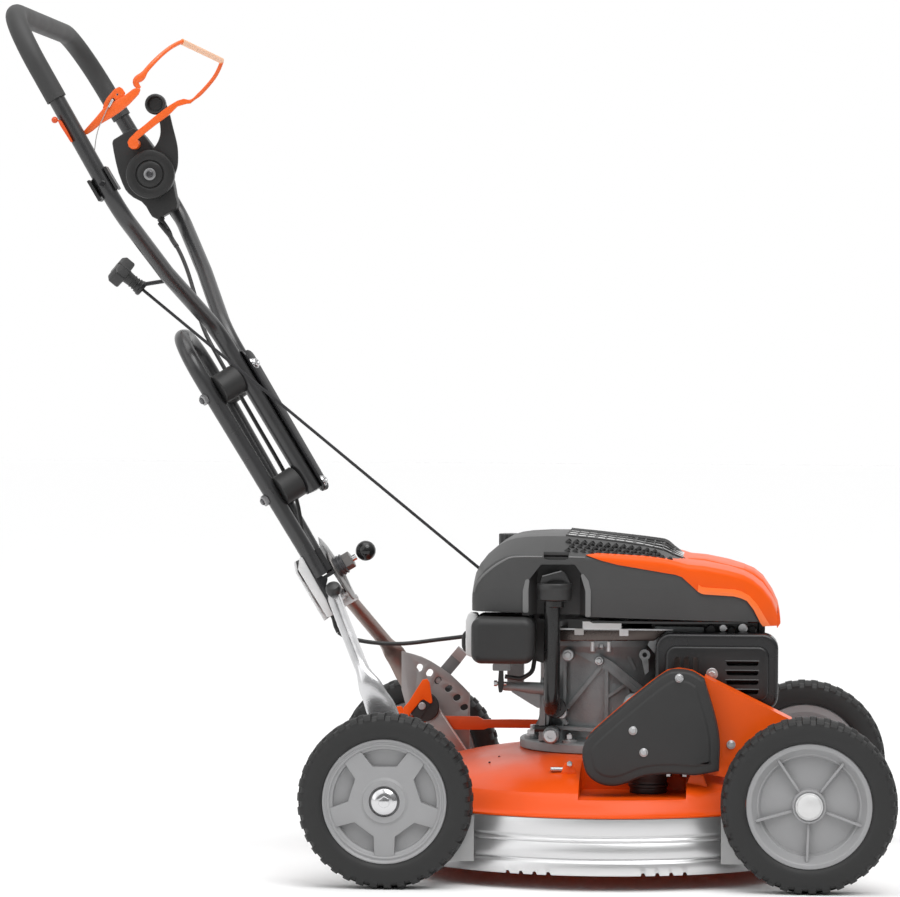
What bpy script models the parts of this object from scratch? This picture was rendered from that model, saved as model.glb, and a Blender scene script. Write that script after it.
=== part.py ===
"""Petrol lawn mower with a round deck, a front belt drive and a central folding handle.

Metres, +X to the front, +Z up. Every shape is drawn about the crankshaft's axis, on the ground,
and one empty moves the whole mower so that its box is centred over the origin.
"""
import math

import bmesh
import bpy
from mathutils import Vector

# Gap kept between pieces that touch
GAP = 0.0003

# Skirt, and the wheels that stand round it
SKIRT_RADIUS = 0.2775
WHEELBASE = 2 * (SKIRT_RADIUS - 0.0252)
TRACK = 2 * (SKIRT_RADIUS - 0.0155)
TYRE_RADIUS = 0.105
TYRE_WIDTH = 0.045
RIM_RADIUS = 0.0747
HUB_RADIUS = 0.0245
HUB_WIDTH = 0.036
AXLE_RADIUS = 0.008
SPOKES = 5
WHEEL_STEPS = 28

# Axles, carried by four brackets beside the deck
NUT_RADIUS = 0.016
NUT_HIGH = 0.0066
PIVOT_BACK = 0.030
PIVOT_RISE = 0.035
ARM_SIDE = TRACK / 2 - 0.042
BRACKET_SIDE = TRACK / 2 - 0.064
BRACKET_PLATE = 0.006
BRACKET_FOOT_LOW = 0.030
BRACKET_FOOT_HIGH = 0.085

# Height adjuster, on the left
SECTOR_SIDE = BRACKET_SIDE - 0.0235
SECTOR_THICK = 0.003
LEVER_SIDE = SECTOR_SIDE + 0.0085
LEVER_PLATE = 0.004
LINK_SIDE = BRACKET_SIDE - 0.048
LINK_PLATE = 0.004
HORN = 0.020
HOLE_RING = 0.104
HOLE_COUNT = 6
HOLE_PITCH = math.radians(9.0)
LEVER_ANGLE = math.radians(50.5)
LEVER_REACH = 0.150
SECTOR_REACH = 0.116
SECTOR_HOLE = 0.0042
SECTOR_FOOT = (0.0363 - WHEELBASE / 2, 0.1385)

# Deck and its skirt
SKIRT_BAND = SKIRT_RADIUS - 0.002
SKIRT_GROOVE = SKIRT_RADIUS - 0.004
SKIRT_WALL = 0.003
SKIRT_LOW = 0.019
SKIRT_HIGH = 0.0865
DECK_WALL = 0.0025
DECK_SKIRT = (SKIRT_RADIUS - 0.0155, 0.100)
DECK_CREASE = (SKIRT_RADIUS - 0.0325, 0.117)
DECK_HIP = (SKIRT_RADIUS - 0.0625, 0.1275)
DECK_SHOULDER = (SKIRT_RADIUS - 0.1025, 0.137)
DECK_TOP = (0.120, 0.146)
POCKET_REAR = -0.0225
POCKET_FRONT = 0.106
POCKET_INSIDE = 0.134
POCKET_FLOOR = 0.107
ROUND_STEPS = 48

# Engine
CRANK_RADIUS = 0.012
CRANK_LOW = 0.030
CRANK_HIGH = 0.366
FLANGE_RADIUS = 0.106
FLANGE_THICK = 0.012
CASE_RADIUS = 0.083
CASE_HIGH = 0.287
CASE_LIP = 0.095
BLADE_LENGTH = 2 * (SKIRT_RADIUS - 0.0175)
BLADE_WIDTH = 0.055
BLADE_THICK = 0.004
BLADE_LOW = 0.036
HOLDER_RADIUS = 0.032
HOLDER_THICK = 0.014
CYLINDER_X = (0.070, 0.178)
CYLINDER_SIDE = -0.082
GUARD_X = (0.066, 0.2155)
GUARD_Z = (0.205, 0.2985)
GUARD_SIDE = (0.100, 0.1425)
FLYWHEEL_RADIUS = 0.084
FLYWHEEL_LOW = 0.332
FLYWHEEL_THICK = 0.022
SHROUD_WALL = 0.003
SHROUD_LOW = 0.313
FILLER_X = -0.057
FILLER_Y = -0.1345
FILLER_RADIUS = 0.0105
FILLER_LOW = 0.203
FILLER_HIGH = 0.341
FILLER_CAP_RADIUS = 0.0205
FILLER_CAP_HIGH = 0.018
FUEL_X = -0.124
FUEL_Y = 0.100
FUEL_NECK = 0.0105
FUEL_CAP_RADIUS = 0.0155
FUEL_CAP_LOW = 0.391
FUEL_CAP_HIGH = 0.4075

# Front drive
COVER_SIDE = 0.190
COVER_DEPTH = 0.044
COVER_WALL = 0.003
BELT_COVER_DEPTH = 0.036
LOWER_PULLEY = (0.040, 0.160)
LOWER_PULLEY_RADIUS = 0.018
UPPER_PULLEY = (0.097, 0.214)
UPPER_PULLEY_RADIUS = 0.026
SHAFT_RADIUS = 0.006
BELT_THICK = 0.004
BELT_CLEAR = 0.0008
BELT_WIDTH = 0.010
BOOT_X = 0.059
BOOT_Y = -0.1625
BOOT_RADIUS = 0.023
BOOT_HIGH = 0.1340
GEARBOX_SIDE = 0.1435

# Handle: the lean of its plane, and the fold axis that it starts from
HANDLE_LEAN = math.radians(59.2)
FOLD_X = -0.0822 - WHEELBASE / 2
FOLD_Z = 0.333
FOLD_AXIS = (FOLD_X, 0, FOLD_Z)
BRACKET_HALF = 0.036
BRACKET_WALL = 0.003
BRACKET_FRONT = 0.0135
BRACKET_REAR = -0.0285
BRACKET_LOW = -0.018
LOCK_PLACE = 0.031
LOCK_PIN = 0.004
LOCK_BALL = 0.0127
LOCK_BALL_PLACE = 0.0575
TUBE_RADIUS = 0.010
SLEEVE_RADIUS = 0.013
STRUT_RADIUS = 0.0085
STRUT_SIDE = BRACKET_SIDE - 0.0033
STRUT_FLAT_WIDTH = 0.036
STRUT_FLAT_THICK = 0.006
SWING_PLACE = 0.050
FRAME_FOOT = 0.032
FRAME_KNEE = 0.064
FRAME_FOOT_SIDE = 0.030
FRAME_SHOULDER = 0.311
FRAME_SIDE = 0.0605
FRAME_TOP = 0.378
HANDLE_OFFSET = 0.0416
HANDLE_FOOT = 0.129
HANDLE_FOOT_SIDE = 0.020
HANDLE_NECK = 0.362
HANDLE_NECK_SIDE = 0.038
HANDLE_WAIST = 0.532
HANDLE_SIDE = 0.250
HANDLE_TOP = 0.808
HANDLE_CORNER = 0.080
SLEEVE_START = 0.685
SLEEVE_CLEAR = 0.0006
DAMPER_RADIUS = 0.019
DAMPER_GAP = 0.0005
DAMPER_PLACES = {"upper": 0.295, "lower": 0.149}
CLAMP_LOW = 0.122
CLAMP_HIGH = 0.326
CLAMP_WIDTH = 0.020
CLAMP_THICK = 0.003

# Starter rope, from its guide on the handle to the shroud
ROPE_EYE = Vector((-0.567, -0.130, 0.7165))
ROPE_EXIT = Vector((-0.15463, -0.030, 0.36866))
ROPE_RADIUS = 0.0019
GRIP_PLACE = 0.034
GUIDE_SIDE = 0.1322
GUIDE_PLACE = HANDLE_NECK + ((HANDLE_WAIST - HANDLE_NECK) * (GUIDE_SIDE - HANDLE_NECK_SIDE)
                             / (HANDLE_SIDE - HANDLE_NECK_SIDE))

# Throttle cable: its top beside the dial, then places (along the handle, in front of it, to the left),
# then points below the handle
CABLE_RADIUS = 0.003
CABLE_TOP = (0.0085, -0.0635)
CABLE_TOP_SIDE = 0.2195
CABLE_UPPER = [(0.502, 0.026, 0.188), (0.467, 0.027, 0.155), (0.424, 0.024, 0.100),
               (0.380, 0.019, 0.040), (0.330, 0.020, 0.006), (0.250, 0.020, 0.0), (0.150, 0.018, 0.0),
               (0.105, 0.006, 0.0),
               (0.085, -0.0030, 0.0), (0.062, -0.0108, 0.0), (0.040, -0.0165, 0.0), (0.020, -0.0185, 0.0),
               (-0.019, -0.0205, 0.0)]
CABLE_LOWER = [(-0.3344, 0.0, 0.2853), (-0.3053, 0.0, 0.2755), (-0.2587, 0.004, 0.2721),
               (-0.205, 0.010, 0.278),
               (-0.160, 0.002, 0.284), (-0.1314, -0.010, 0.284)]

# Controls on the handle
BAIL_PIVOT = 0.642
BAIL_SIDE = 0.2365
BAIL_GRIP_SIDE = 0.176
DIAL_RADIUS = 0.0317
DIAL_PAST_WAIST = 0.063656
DIAL_RISE = 0.002059
BOX_SIDE = 0.2335
BOX_DEPTH = 0.028
LEVER_THICK = 0.0055
DIAL_THICK = 0.012

FRONT_REACH = WHEELBASE / 2 + TYRE_RADIUS


def up_handle(along, offset=0.0, side=0.0):
    """A point of the handle: along its lean from the fold axis, offset to its front, and to the side."""
    lean_x, lean_z = -math.cos(HANDLE_LEAN), math.sin(HANDLE_LEAN)
    return Vector((FOLD_X + along * lean_x + offset * lean_z, side,
                   FOLD_Z + along * lean_z - offset * lean_x))


DIAL_X, _, DIAL_Z = up_handle(HANDLE_WAIST + DIAL_PAST_WAIST, HANDLE_OFFSET + DIAL_RISE)

REAR_REACH = -up_handle(HANDLE_TOP, HANDLE_OFFSET).x + SLEEVE_RADIUS
CENTRE_SHIFT = (REAR_REACH - FRONT_REACH) / 2

for old in list(bpy.data.objects):
    bpy.data.objects.remove(old, do_unlink=True)

ROOT = bpy.data.objects.new("mower_origin", None)
ROOT.location = (CENTRE_SHIFT, 0, 0)
bpy.context.scene.collection.objects.link(ROOT)


def material(name, colour, roughness, metallic):
    mat = bpy.data.materials.new(name)
    mat.use_nodes = True
    shader = mat.node_tree.nodes["Principled BSDF"]
    shader.inputs["Base Color"].default_value = (*colour, 1)
    shader.inputs["Roughness"].default_value = roughness
    shader.inputs["Metallic"].default_value = metallic
    return mat


ORANGE = material("orange_paint", (0.85, 0.10, 0.01), 0.35, 0.0)
BLACK_PAINT = material("black_paint", (0.02, 0.02, 0.022), 0.35, 0.0)
BLACK_PLASTIC = material("black_plastic", (0.025, 0.025, 0.027), 0.5, 0.0)
GREY_PLASTIC = material("grey_plastic", (0.30, 0.30, 0.31), 0.5, 0.0)
RUBBER = material("rubber", (0.012, 0.012, 0.012), 0.75, 0.0)
ALUMINIUM = material("aluminium", (0.55, 0.55, 0.56), 0.35, 1.0)
STEEL = material("steel", (0.50, 0.50, 0.51), 0.3, 1.0)
ZINC = material("zinc_plate", (0.36, 0.36, 0.37), 0.45, 1.0)


def mesh_object(name, verts, faces, mat, pivot=(0, 0, 0), smooth=True):
    """An object whose vertices are given on the mower and whose origin is its pivot."""
    pivot = Vector(pivot)
    mesh = bpy.data.meshes.new(name)
    mesh.from_pydata([Vector(v) - pivot for v in verts], [], faces)
    bm = bmesh.new()
    bm.from_mesh(mesh)
    bmesh.ops.remove_doubles(bm, verts=bm.verts, dist=1e-6)
    bmesh.ops.recalc_face_normals(bm, faces=bm.faces)
    bm.to_mesh(mesh)
    bm.free()
    obj = bpy.data.objects.new(name, mesh)
    bpy.context.scene.collection.objects.link(obj)
    obj.parent = ROOT
    obj.location = pivot
    mesh.materials.append(mat)
    if smooth:
        mesh.shade_smooth()
        mesh.set_sharp_from_angle(angle=math.radians(35))
    return obj


def frame_of(direction, side=None):
    """Two unit vectors square to a direction, the first as near as can be to a side."""
    direction = Vector(direction).normalized()
    side = Vector(side) if side else (Vector((0, 0, 1)) if abs(direction.z) < 0.9 else Vector((1, 0, 0)))
    first = (side - direction * side.dot(direction)).normalized()
    return first, direction.cross(first)


def turned(name, profile, mat, centre=(0, 0, 0), axis=(0, 0, 1), steps=24, closed=False, pivot=None):
    """A solid turned about an axis from (radius, height) points, closed for one with a bore."""
    centre, axis = Vector(centre), Vector(axis).normalized()
    first, second = frame_of(axis)
    verts, rings = [], []
    for radius, height in profile:
        if radius < 1e-7:
            rings.append([len(verts)])
            verts.append(centre + axis * height)
            continue
        rings.append(list(range(len(verts), len(verts) + steps)))
        for step in range(steps):
            angle = 2 * math.pi * step / steps
            verts.append(centre + axis * height
                         + (first * math.cos(angle) + second * math.sin(angle)) * radius)
    pairs = list(zip(rings, rings[1:]))
    if closed:
        pairs.append((rings[-1], rings[0]))
    faces = []
    for low, high in pairs:
        for step in range(steps):
            after = (step + 1) % steps
            corners = [low[step % len(low)], low[after % len(low)], high[after % len(high)],
                       high[step % len(high)]]
            faces.append(list(dict.fromkeys(corners)))
    return mesh_object(name, verts, faces, mat, centre if pivot is None else pivot)


def rounded(points, radius, steps=4, loop=False):
    """Points of a line with its corners turned into arcs. A radius may be given for each corner."""
    points = [Vector(p) for p in points]
    count = len(points)
    radii = radius if isinstance(radius, (list, tuple)) else [radius] * count
    result = []
    for place, corner in enumerate(points):
        if (not loop and place in (0, count - 1)) or radii[place] <= 0:
            result.append(corner)
            continue
        before = (points[place - 1] - corner).normalized()
        after = (points[(place + 1) % count] - corner).normalized()
        half = before.angle(after) / 2
        if half > math.radians(89):
            result.append(corner)
            continue
        reach = radii[place] / math.tan(half)
        middle = corner + (before + after).normalized() * (radii[place] / math.sin(half))
        start, end = corner + before * reach - middle, corner + after * reach - middle
        turn = start.angle(end)
        for step in range(steps + 1):
            share = step / steps
            result.append(middle + (start * math.sin((1 - share) * turn) + end * math.sin(share * turn)) / math.sin(turn))
    return result


def swept(name, path, mat, radius, sides=10, bore=0.0, sections=None, side=None, pivot=(0, 0, 0)):
    """A tube along a path. Sections give half sizes across and along the side, for a flattened one."""
    path = [Vector(p) for p in path]
    count = len(path)
    side = Vector(side) if side else None
    verts, rings = [], []
    first = None
    for place, point in enumerate(path):
        before = (point - path[place - 1]).normalized() if place else None
        after = (path[place + 1] - point).normalized() if place < count - 1 else None
        direction = (before + after).normalized() if before and after else (before or after)
        stretch = 1 / max(0.5, before.dot(direction)) if before and after else 1.0
        first, second = frame_of(direction, first or side)
        wide, high = sections[place] if sections else (radius, radius)
        bend = (after - before) if before and after else None
        for hollow in ((1.0, bore / radius) if bore else (1.0,)):
            ring = []
            for step in range(sides):
                angle = 2 * math.pi * (step + 0.5) / sides
                spoke = first * (math.cos(angle) * wide * hollow) + second * (math.sin(angle) * high * hollow)
                if bend and bend.length > 1e-6:
                    across = bend.normalized()
                    spoke += across * (spoke.dot(across) * (stretch - 1))
                ring.append(len(verts))
                verts.append(point + spoke)
            rings.append(ring)
    layers = 2 if bore else 1
    faces = []
    for place in range(count - 1):
        for layer in range(layers):
            low, high = rings[place * layers + layer], rings[(place + 1) * layers + layer]
            for step in range(sides):
                after = (step + 1) % sides
                faces.append([low[step], low[after], high[after], high[step]])
    for end in (0, count - 1):
        if bore:
            outer, inner = rings[end * 2], rings[end * 2 + 1]
            for step in range(sides):
                after = (step + 1) % sides
                faces.append([outer[step], outer[after], inner[after], inner[step]])
        else:
            faces.append(list(rings[end]))
    return mesh_object(name, verts, faces, mat, pivot)


def slab(name, outline, low, high, mat, origin=(0, 0, 0), across=(1, 0, 0), up=(0, 0, 1), pivot=(0, 0, 0)):
    """A flat outline made solid between two places along up x across, which is +Y for a side view."""
    origin, across, up = Vector(origin), Vector(across).normalized(), Vector(up).normalized()
    normal = up.cross(across)
    verts = [origin + across * a + up * b + normal * place for place in (low, high) for a, b in outline]
    count = len(outline)
    faces = [list(range(count)), list(range(count, 2 * count))]
    for step in range(count):
        after = (step + 1) % count
        faces.append([step, after, count + after, count + step])
    return mesh_object(name, verts, faces, mat, pivot)


def plan(name, outline, low, high, mat, pivot=(0, 0, 0)):
    """An outline seen from above, made solid between two heights."""
    return slab(name, outline, -high, -low, mat, across=(1, 0, 0), up=(0, 1, 0), pivot=pivot)


def outline(points, radius, steps=3):
    """A flat closed outline with rounded corners."""
    return [(p.x, p.y) for p in rounded([(x, y, 0) for x, y in points], radius, steps, loop=True)]


def rectangle(x0, x1, z0, z1, radius=0.0, steps=3):
    corners = [(x0, z0), (x1, z0), (x1, z1), (x0, z1)]
    return outline(corners, radius, steps) if radius else corners


def loft(name, stations, mat, pivot=(0, 0, 0)):
    """A solid through closed sections, each a list of points with the same count."""
    count = len(stations[0])
    verts = [p for section in stations for p in section]
    faces = [list(range(count)), list(range(len(verts) - count, len(verts)))]
    for place in range(len(stations) - 1):
        for step in range(count):
            after = (step + 1) % count
            base = place * count
            faces.append([base + step, base + after, base + count + after, base + count + step])
    return mesh_object(name, verts, faces, mat, pivot)


def hidden(obj):
    obj.hide_render = True
    obj.display_type = "WIRE"
    return obj


def shape(obj, tool, operation):
    """Cut or fuse an object with a hidden tool."""
    mod = obj.modifiers.new(operation.lower(), "BOOLEAN")
    mod.operation = operation
    mod.solver = "EXACT"
    mod.object = hidden(tool)
    return obj


def cut(obj, *tools):
    for tool in tools:
        shape(obj, tool, "DIFFERENCE")
    return obj


def fuse(obj, *tools):
    for tool in tools:
        shape(obj, tool, "UNION")
    return obj


def soften(obj, width, segments=2):
    mod = obj.modifiers.new("soften", "BEVEL")
    mod.width = width
    mod.segments = segments
    mod.limit_method = "ANGLE"
    mod.angle_limit = math.radians(40)
    return obj


def round_bar(name, start, end, radius, mat, steps=16, bore=0.0, pivot=None):
    """A round bar between two points, with a bore if one is given."""
    start, end = Vector(start), Vector(end)
    length = (end - start).length
    if bore:
        profile = [(bore, 0), (radius, 0), (radius, length), (bore, length)]
    else:
        profile = [(0, 0), (radius, 0), (radius, length), (0, length)]
    return turned(name, profile, mat, start, end - start, steps, bool(bore), pivot)


# Wheels

def wheel_place(end, side):
    """The hub's centre: end is 1 at the front and -1 at the rear, side is 1 on the left and -1 on the right."""
    return Vector((end * WHEELBASE / 2, side * TRACK / 2, TYRE_RADIUS))


def make_wheel(end, side):
    label = f"{'front' if end > 0 else 'rear'}_{'left' if side > 0 else 'right'}"
    centre, axis = wheel_place(end, side), (0, side, 0)
    half = TYRE_WIDTH / 2
    bead = RIM_RADIUS + GAP
    turned(f"tyre_{label}", [
        (bead, -half + 0.004), (0.084, -half), (0.098, -half + 0.002), (TYRE_RADIUS, -half + 0.009),
        (TYRE_RADIUS, half - 0.009), (0.098, half - 0.002), (0.084, half), (bead, half - 0.004),
    ], RUBBER, centre, axis, WHEEL_STEPS, True)
    hub_half = HUB_WIDTH / 2
    bore = AXLE_RADIUS + GAP
    barrel = RIM_RADIUS - 0.0075
    web_low, web_high = 0.0, 0.006
    rim = turned(f"rim_{label}", [
        (bore, -hub_half), (HUB_RADIUS, -hub_half), (HUB_RADIUS, web_low), (barrel - 0.002, web_low),
        (barrel, -hub_half), (RIM_RADIUS, -hub_half), (RIM_RADIUS, hub_half), (barrel, hub_half),
        (barrel - 0.002, web_high), (HUB_RADIUS, web_high), (HUB_RADIUS - 0.002, hub_half - 0.001),
        (bore, hub_half - 0.001),
    ], GREY_PLASTIC, centre, axis, WHEEL_STEPS, True)
    root = HUB_RADIUS - 0.003
    tip = barrel + 0.002
    spoke_half = 0.0115 if end < 0 else 0.0018
    spoke_high = web_high + (0.003 if end < 0 else 0.007)
    star = []
    for spoke in range(SPOKES):
        middle = math.radians(-90 + 360 * spoke / SPOKES)
        for radius, half_width in ((root, spoke_half), (tip, spoke_half * 1.2), (tip, -spoke_half * 1.2),
                                   (root, -spoke_half)):
            bend = math.atan2(half_width, radius)
            star.append((math.hypot(radius, half_width) * math.cos(middle - bend),
                         math.hypot(radius, half_width) * math.sin(middle - bend)))
    spokes = slab(f"spokes_{label}", star, side * (web_high - 0.002), side * spoke_high, GREY_PLASTIC,
                  centre)
    bore_tool = round_bar(f"spoke_bore_{label}", centre - Vector((0, 0.03, 0)),
                          centre + Vector((0, 0.03, 0)),
                          HUB_RADIUS - 0.008, GREY_PLASTIC)
    cut(spokes, bore_tool)
    fuse(rim, spokes)


def pivot_place(end):
    """Where an axle's cross bar turns, behind and above the hub that it carries."""
    return Vector((end * WHEELBASE / 2 - PIVOT_BACK, 0, TYRE_RADIUS + PIVOT_RISE))


def make_axle(end):
    """A bent round bar with a nut on each stub, arms, a cross bar in its brackets, and the link's horn."""
    pivot = pivot_place(end)
    stub = TRACK / 2 + HUB_WIDTH / 2 + NUT_HIGH / 2
    points = []
    for side in (-1, 1):
        hub = wheel_place(end, side)
        leg = [Vector((hub.x, side * stub, hub.z)), Vector((hub.x, side * (ARM_SIDE + 0.006), hub.z)),
               Vector((pivot.x, side * (ARM_SIDE - 0.006), pivot.z))]
        points += leg if side < 0 else leg[::-1]
    name = "front" if end > 0 else "rear"
    axle = swept(f"axle_{name}", rounded(points, 0.009, 3), STEEL, AXLE_RADIUS, 12, pivot=pivot)
    dome = NUT_RADIUS if end < 0 else NUT_RADIUS - 0.0017
    for side in (-1, 1):
        face = wheel_place(end, side) + Vector((0, side * (HUB_WIDTH / 2 - 0.001 + GAP), 0))
        fuse(axle, turned(f"hub_nut_{name}_{side}",
                          [(0, 0), (dome, 0), (dome, 0.003), (dome * 0.72, NUT_HIGH - 0.0008),
                                                     (0, NUT_HIGH)], STEEL, face, (0, side, 0), 16))
    side = LINK_SIDE + LINK_PLATE + GAP
    horn = outline([(-0.013, -0.013), (0.013, -0.013), (0.007, HORN + 0.007), (-0.007, HORN + 0.007)],
                   0.005, 2)
    fuse(axle, slab(f"link_horn_{name}", horn, side, side + LINK_PLATE, STEEL, pivot))


def make_bracket(end, side):
    """A bracket beside the deck: a foot that follows the skirt and a plate that the cross bar turns in."""
    label = f"{'front' if end > 0 else 'rear'}_{'left' if side > 0 else 'right'}"
    pivot = pivot_place(end)
    clear = SKIRT_RADIUS + GAP * 2
    far_side = TRACK / 2 - TYRE_WIDTH / 2 - 0.004
    near_side = BRACKET_SIDE
    foot = []
    for step in range(7):
        y = near_side + (far_side - near_side) * step / 6
        foot.append((end * math.sqrt(clear ** 2 - y ** 2), side * y))
    outer = end * (math.sqrt(clear ** 2 - near_side ** 2) + 0.012)
    foot += [(outer - end * 0.008, side * far_side), (outer, side * (far_side - 0.008)),
             (outer, side * near_side)]
    body = plan(f"axle_bracket_{label}", foot, BRACKET_FOOT_LOW, BRACKET_FOOT_HIGH, ZINC)
    inner_x = end * (math.sqrt(clear ** 2 - near_side ** 2) + 0.002)
    if end < 0:
        plate = [(inner_x, BRACKET_FOOT_LOW + 0.01), (inner_x, 0.120), (pivot.x + 0.0623, 0.150),
                 (pivot.x + 0.0323, 0.162),
                 (pivot.x - 0.004, pivot.z + 0.018), (pivot.x - 0.018, pivot.z + 0.004),
                 (pivot.x - 0.014, pivot.z - 0.014)]
    else:
        plate = [(inner_x, BRACKET_FOOT_LOW + 0.01), (inner_x + 0.030, 0.110), (pivot.x + 0.016, pivot.z),
                 (pivot.x + 0.006, pivot.z + 0.016), (pivot.x - 0.014, pivot.z + 0.014), (inner_x, 0.115)]
    low, high = sorted((side * BRACKET_SIDE, side * (BRACKET_SIDE + BRACKET_PLATE)))
    fuse(body, slab(f"bracket_plate_{label}", plate, low, high, ZINC))
    hole = round_bar(f"bracket_hole_{label}", (pivot.x, side * (BRACKET_SIDE - 0.018), pivot.z),
                     (pivot.x, side * (BRACKET_SIDE + 0.032), pivot.z),
                     AXLE_RADIUS + GAP, ZINC)
    cut(body, hole)


for END in (-1, 1):
    make_axle(END)
    for SIDE in (-1, 1):
        make_wheel(END, SIDE)
        make_bracket(END, SIDE)

# Height adjuster: a lever on the rear cross bar, its sector plate, and the link to the front bar
def around(pivot, radius, angle):
    return (pivot.x + radius * math.cos(angle), pivot.z + radius * math.sin(angle))


def make_height_adjuster():
    pivot = pivot_place(-1)
    first_hole = LEVER_ANGLE + 2 * HOLE_PITCH
    sector = [around(pivot, SECTOR_REACH, first_hole + HOLE_PITCH * (0.8 - step)) for step in range(7)]
    sector += [(sector[-1][0], SECTOR_FOOT[1] - 0.0045), (SECTOR_FOOT[0] - 0.003, SECTOR_FOOT[1] - 0.0045),
               (pivot.x + 0.016, pivot.z + 0.030)]
    plate = slab("height_sector", sector, SECTOR_SIDE, SECTOR_SIDE + SECTOR_THICK, ZINC)
    for hole in range(HOLE_COUNT):
        x, z = around(pivot, HOLE_RING, first_hole - hole * HOLE_PITCH)
        cut(plate, round_bar(f"sector_hole_{hole}", (x, SECTOR_SIDE - 0.02, z), (x, SECTOR_SIDE + 0.02, z),
                             SECTOR_HOLE, ZINC, 10))
    foot = round_bar("sector_foot", (SECTOR_FOOT[0], SECTOR_SIDE + 0.001, SECTOR_FOOT[1]),
                     (SECTOR_FOOT[0], BRACKET_SIDE + 0.003, SECTOR_FOOT[1]), 0.003, ZINC, 10)
    fuse(bpy.data.objects["axle_bracket_rear_left"], plate, foot)
    along = Vector((math.cos(LEVER_ANGLE), 0, math.sin(LEVER_ANGLE)))
    across = Vector((-along.z, 0, along.x))
    boss = 0.016
    arm = [(boss * math.cos(a), boss * math.sin(a)) for a in [math.radians(60 + 30 * s) for s in range(9)]]
    arm += [(0.030, -0.008), (LEVER_REACH - 0.004, -0.008), (LEVER_REACH, -0.004), (LEVER_REACH, 0.004),
            (LEVER_REACH - 0.004, 0.008), (0.030, 0.008)]
    lever = slab("height_lever", arm, LEVER_SIDE, LEVER_SIDE + LEVER_PLATE, ZINC, (pivot.x, 0, pivot.z),
                 along, across, pivot)
    tools = round_bar("lever_bore", (pivot.x, LEVER_SIDE - 0.02, pivot.z),
                      (pivot.x, LEVER_SIDE + 0.02, pivot.z),
                      AXLE_RADIUS + GAP, ZINC)
    cut(lever, tools)


make_height_adjuster()


def make_link():
    """The bar that makes both axles turn together."""
    rear = pivot_place(-1) + Vector((0, 0, HORN))
    front = pivot_place(1) + Vector((0, 0, HORN))
    bar = [(rear.x - 0.010, rear.z - 0.006), (rear.x - 0.004, rear.z - 0.0085),
           (rear.x + 0.0923, rear.z - 0.0085),
           (rear.x + 0.1123, rear.z - 0.004), (front.x + 0.006, front.z - 0.004),
           (front.x + 0.006, front.z + 0.004),
           (rear.x + 0.1323, rear.z + 0.006), (rear.x - 0.004, rear.z + 0.008),
           (rear.x - 0.010, rear.z + 0.005)]
    slab("link_bar", bar, LINK_SIDE, LINK_SIDE + LINK_PLATE, ORANGE, pivot=rear)


make_link()


# Deck, skirt, blade and crankshaft

def make_deck():
    """A domed shell with a pocket on the right, which the drive's belt cover reaches down into."""
    edge = SKIRT_GROOVE
    low = SKIRT_HIGH + GAP
    inner = [(r, z - DECK_WALL) for r, z in (DECK_TOP, DECK_SHOULDER)]
    dome = [DECK_TOP, DECK_SHOULDER, DECK_HIP, DECK_CREASE, DECK_SKIRT, (edge, low + 0.004), (edge, low)]
    deck = turned("deck_shell", [
        (CRANK_RADIUS + 0.002, DECK_TOP[1]), *dome, (edge - DECK_WALL, low),
        (DECK_SKIRT[0] - DECK_WALL, DECK_SKIRT[1] - 0.0015),
        (DECK_CREASE[0] - 0.002, DECK_CREASE[1] - 0.0025),
        (DECK_HIP[0] - 0.001, DECK_HIP[1] - DECK_WALL), inner[1], inner[0],
        (CRANK_RADIUS + 0.002, DECK_TOP[1] - DECK_WALL),
    ], ORANGE, steps=ROUND_STEPS, closed=True)
    full = turned("pocket_dome", [(0, DECK_TOP[1]), *dome, (0, low)], ORANGE, steps=ROUND_STEPS)
    rear, front, inside = POCKET_REAR, POCKET_FRONT, POCKET_INSIDE
    outside = DECK_CREASE[0] + (DECK_CREASE[1] - POCKET_FLOOR) + 0.001
    arc = []
    for step in range(7):
        x = rear - DECK_WALL + (front - rear + 2 * DECK_WALL) * step / 6
        arc.append((x, -math.sqrt(outside ** 2 - x ** 2)))
    tray = plan("pocket_tray", arc + [(front + DECK_WALL, -inside + DECK_WALL),
                                      (rear - DECK_WALL, -inside + DECK_WALL)],
                POCKET_FLOOR - DECK_WALL, DECK_TOP[1] + 0.01, ORANGE)
    shape(tray, full, "INTERSECT")
    room = plan("pocket_room", [(rear, -0.30), (front, -0.30), (front, -inside), (rear, -inside)],
                POCKET_FLOOR, DECK_TOP[1] + 0.02, ORANGE)
    fuse(deck, tray)
    cut(deck, room)
    turned("skirt_ring", [
        (SKIRT_BAND, SKIRT_HIGH), (SKIRT_BAND, 0.066), (SKIRT_GROOVE, 0.0635), (SKIRT_GROOVE, 0.0585),
        (SKIRT_BAND, 0.056), (SKIRT_BAND, 0.038), (SKIRT_GROOVE, 0.0365), (SKIRT_RADIUS, 0.034),
        (SKIRT_RADIUS, SKIRT_LOW),
        (SKIRT_RADIUS - SKIRT_WALL, SKIRT_LOW), (SKIRT_GROOVE - SKIRT_WALL, 0.036),
        (SKIRT_GROOVE - SKIRT_WALL, SKIRT_HIGH),
    ], ALUMINIUM, steps=ROUND_STEPS, closed=True)


make_deck()


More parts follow.
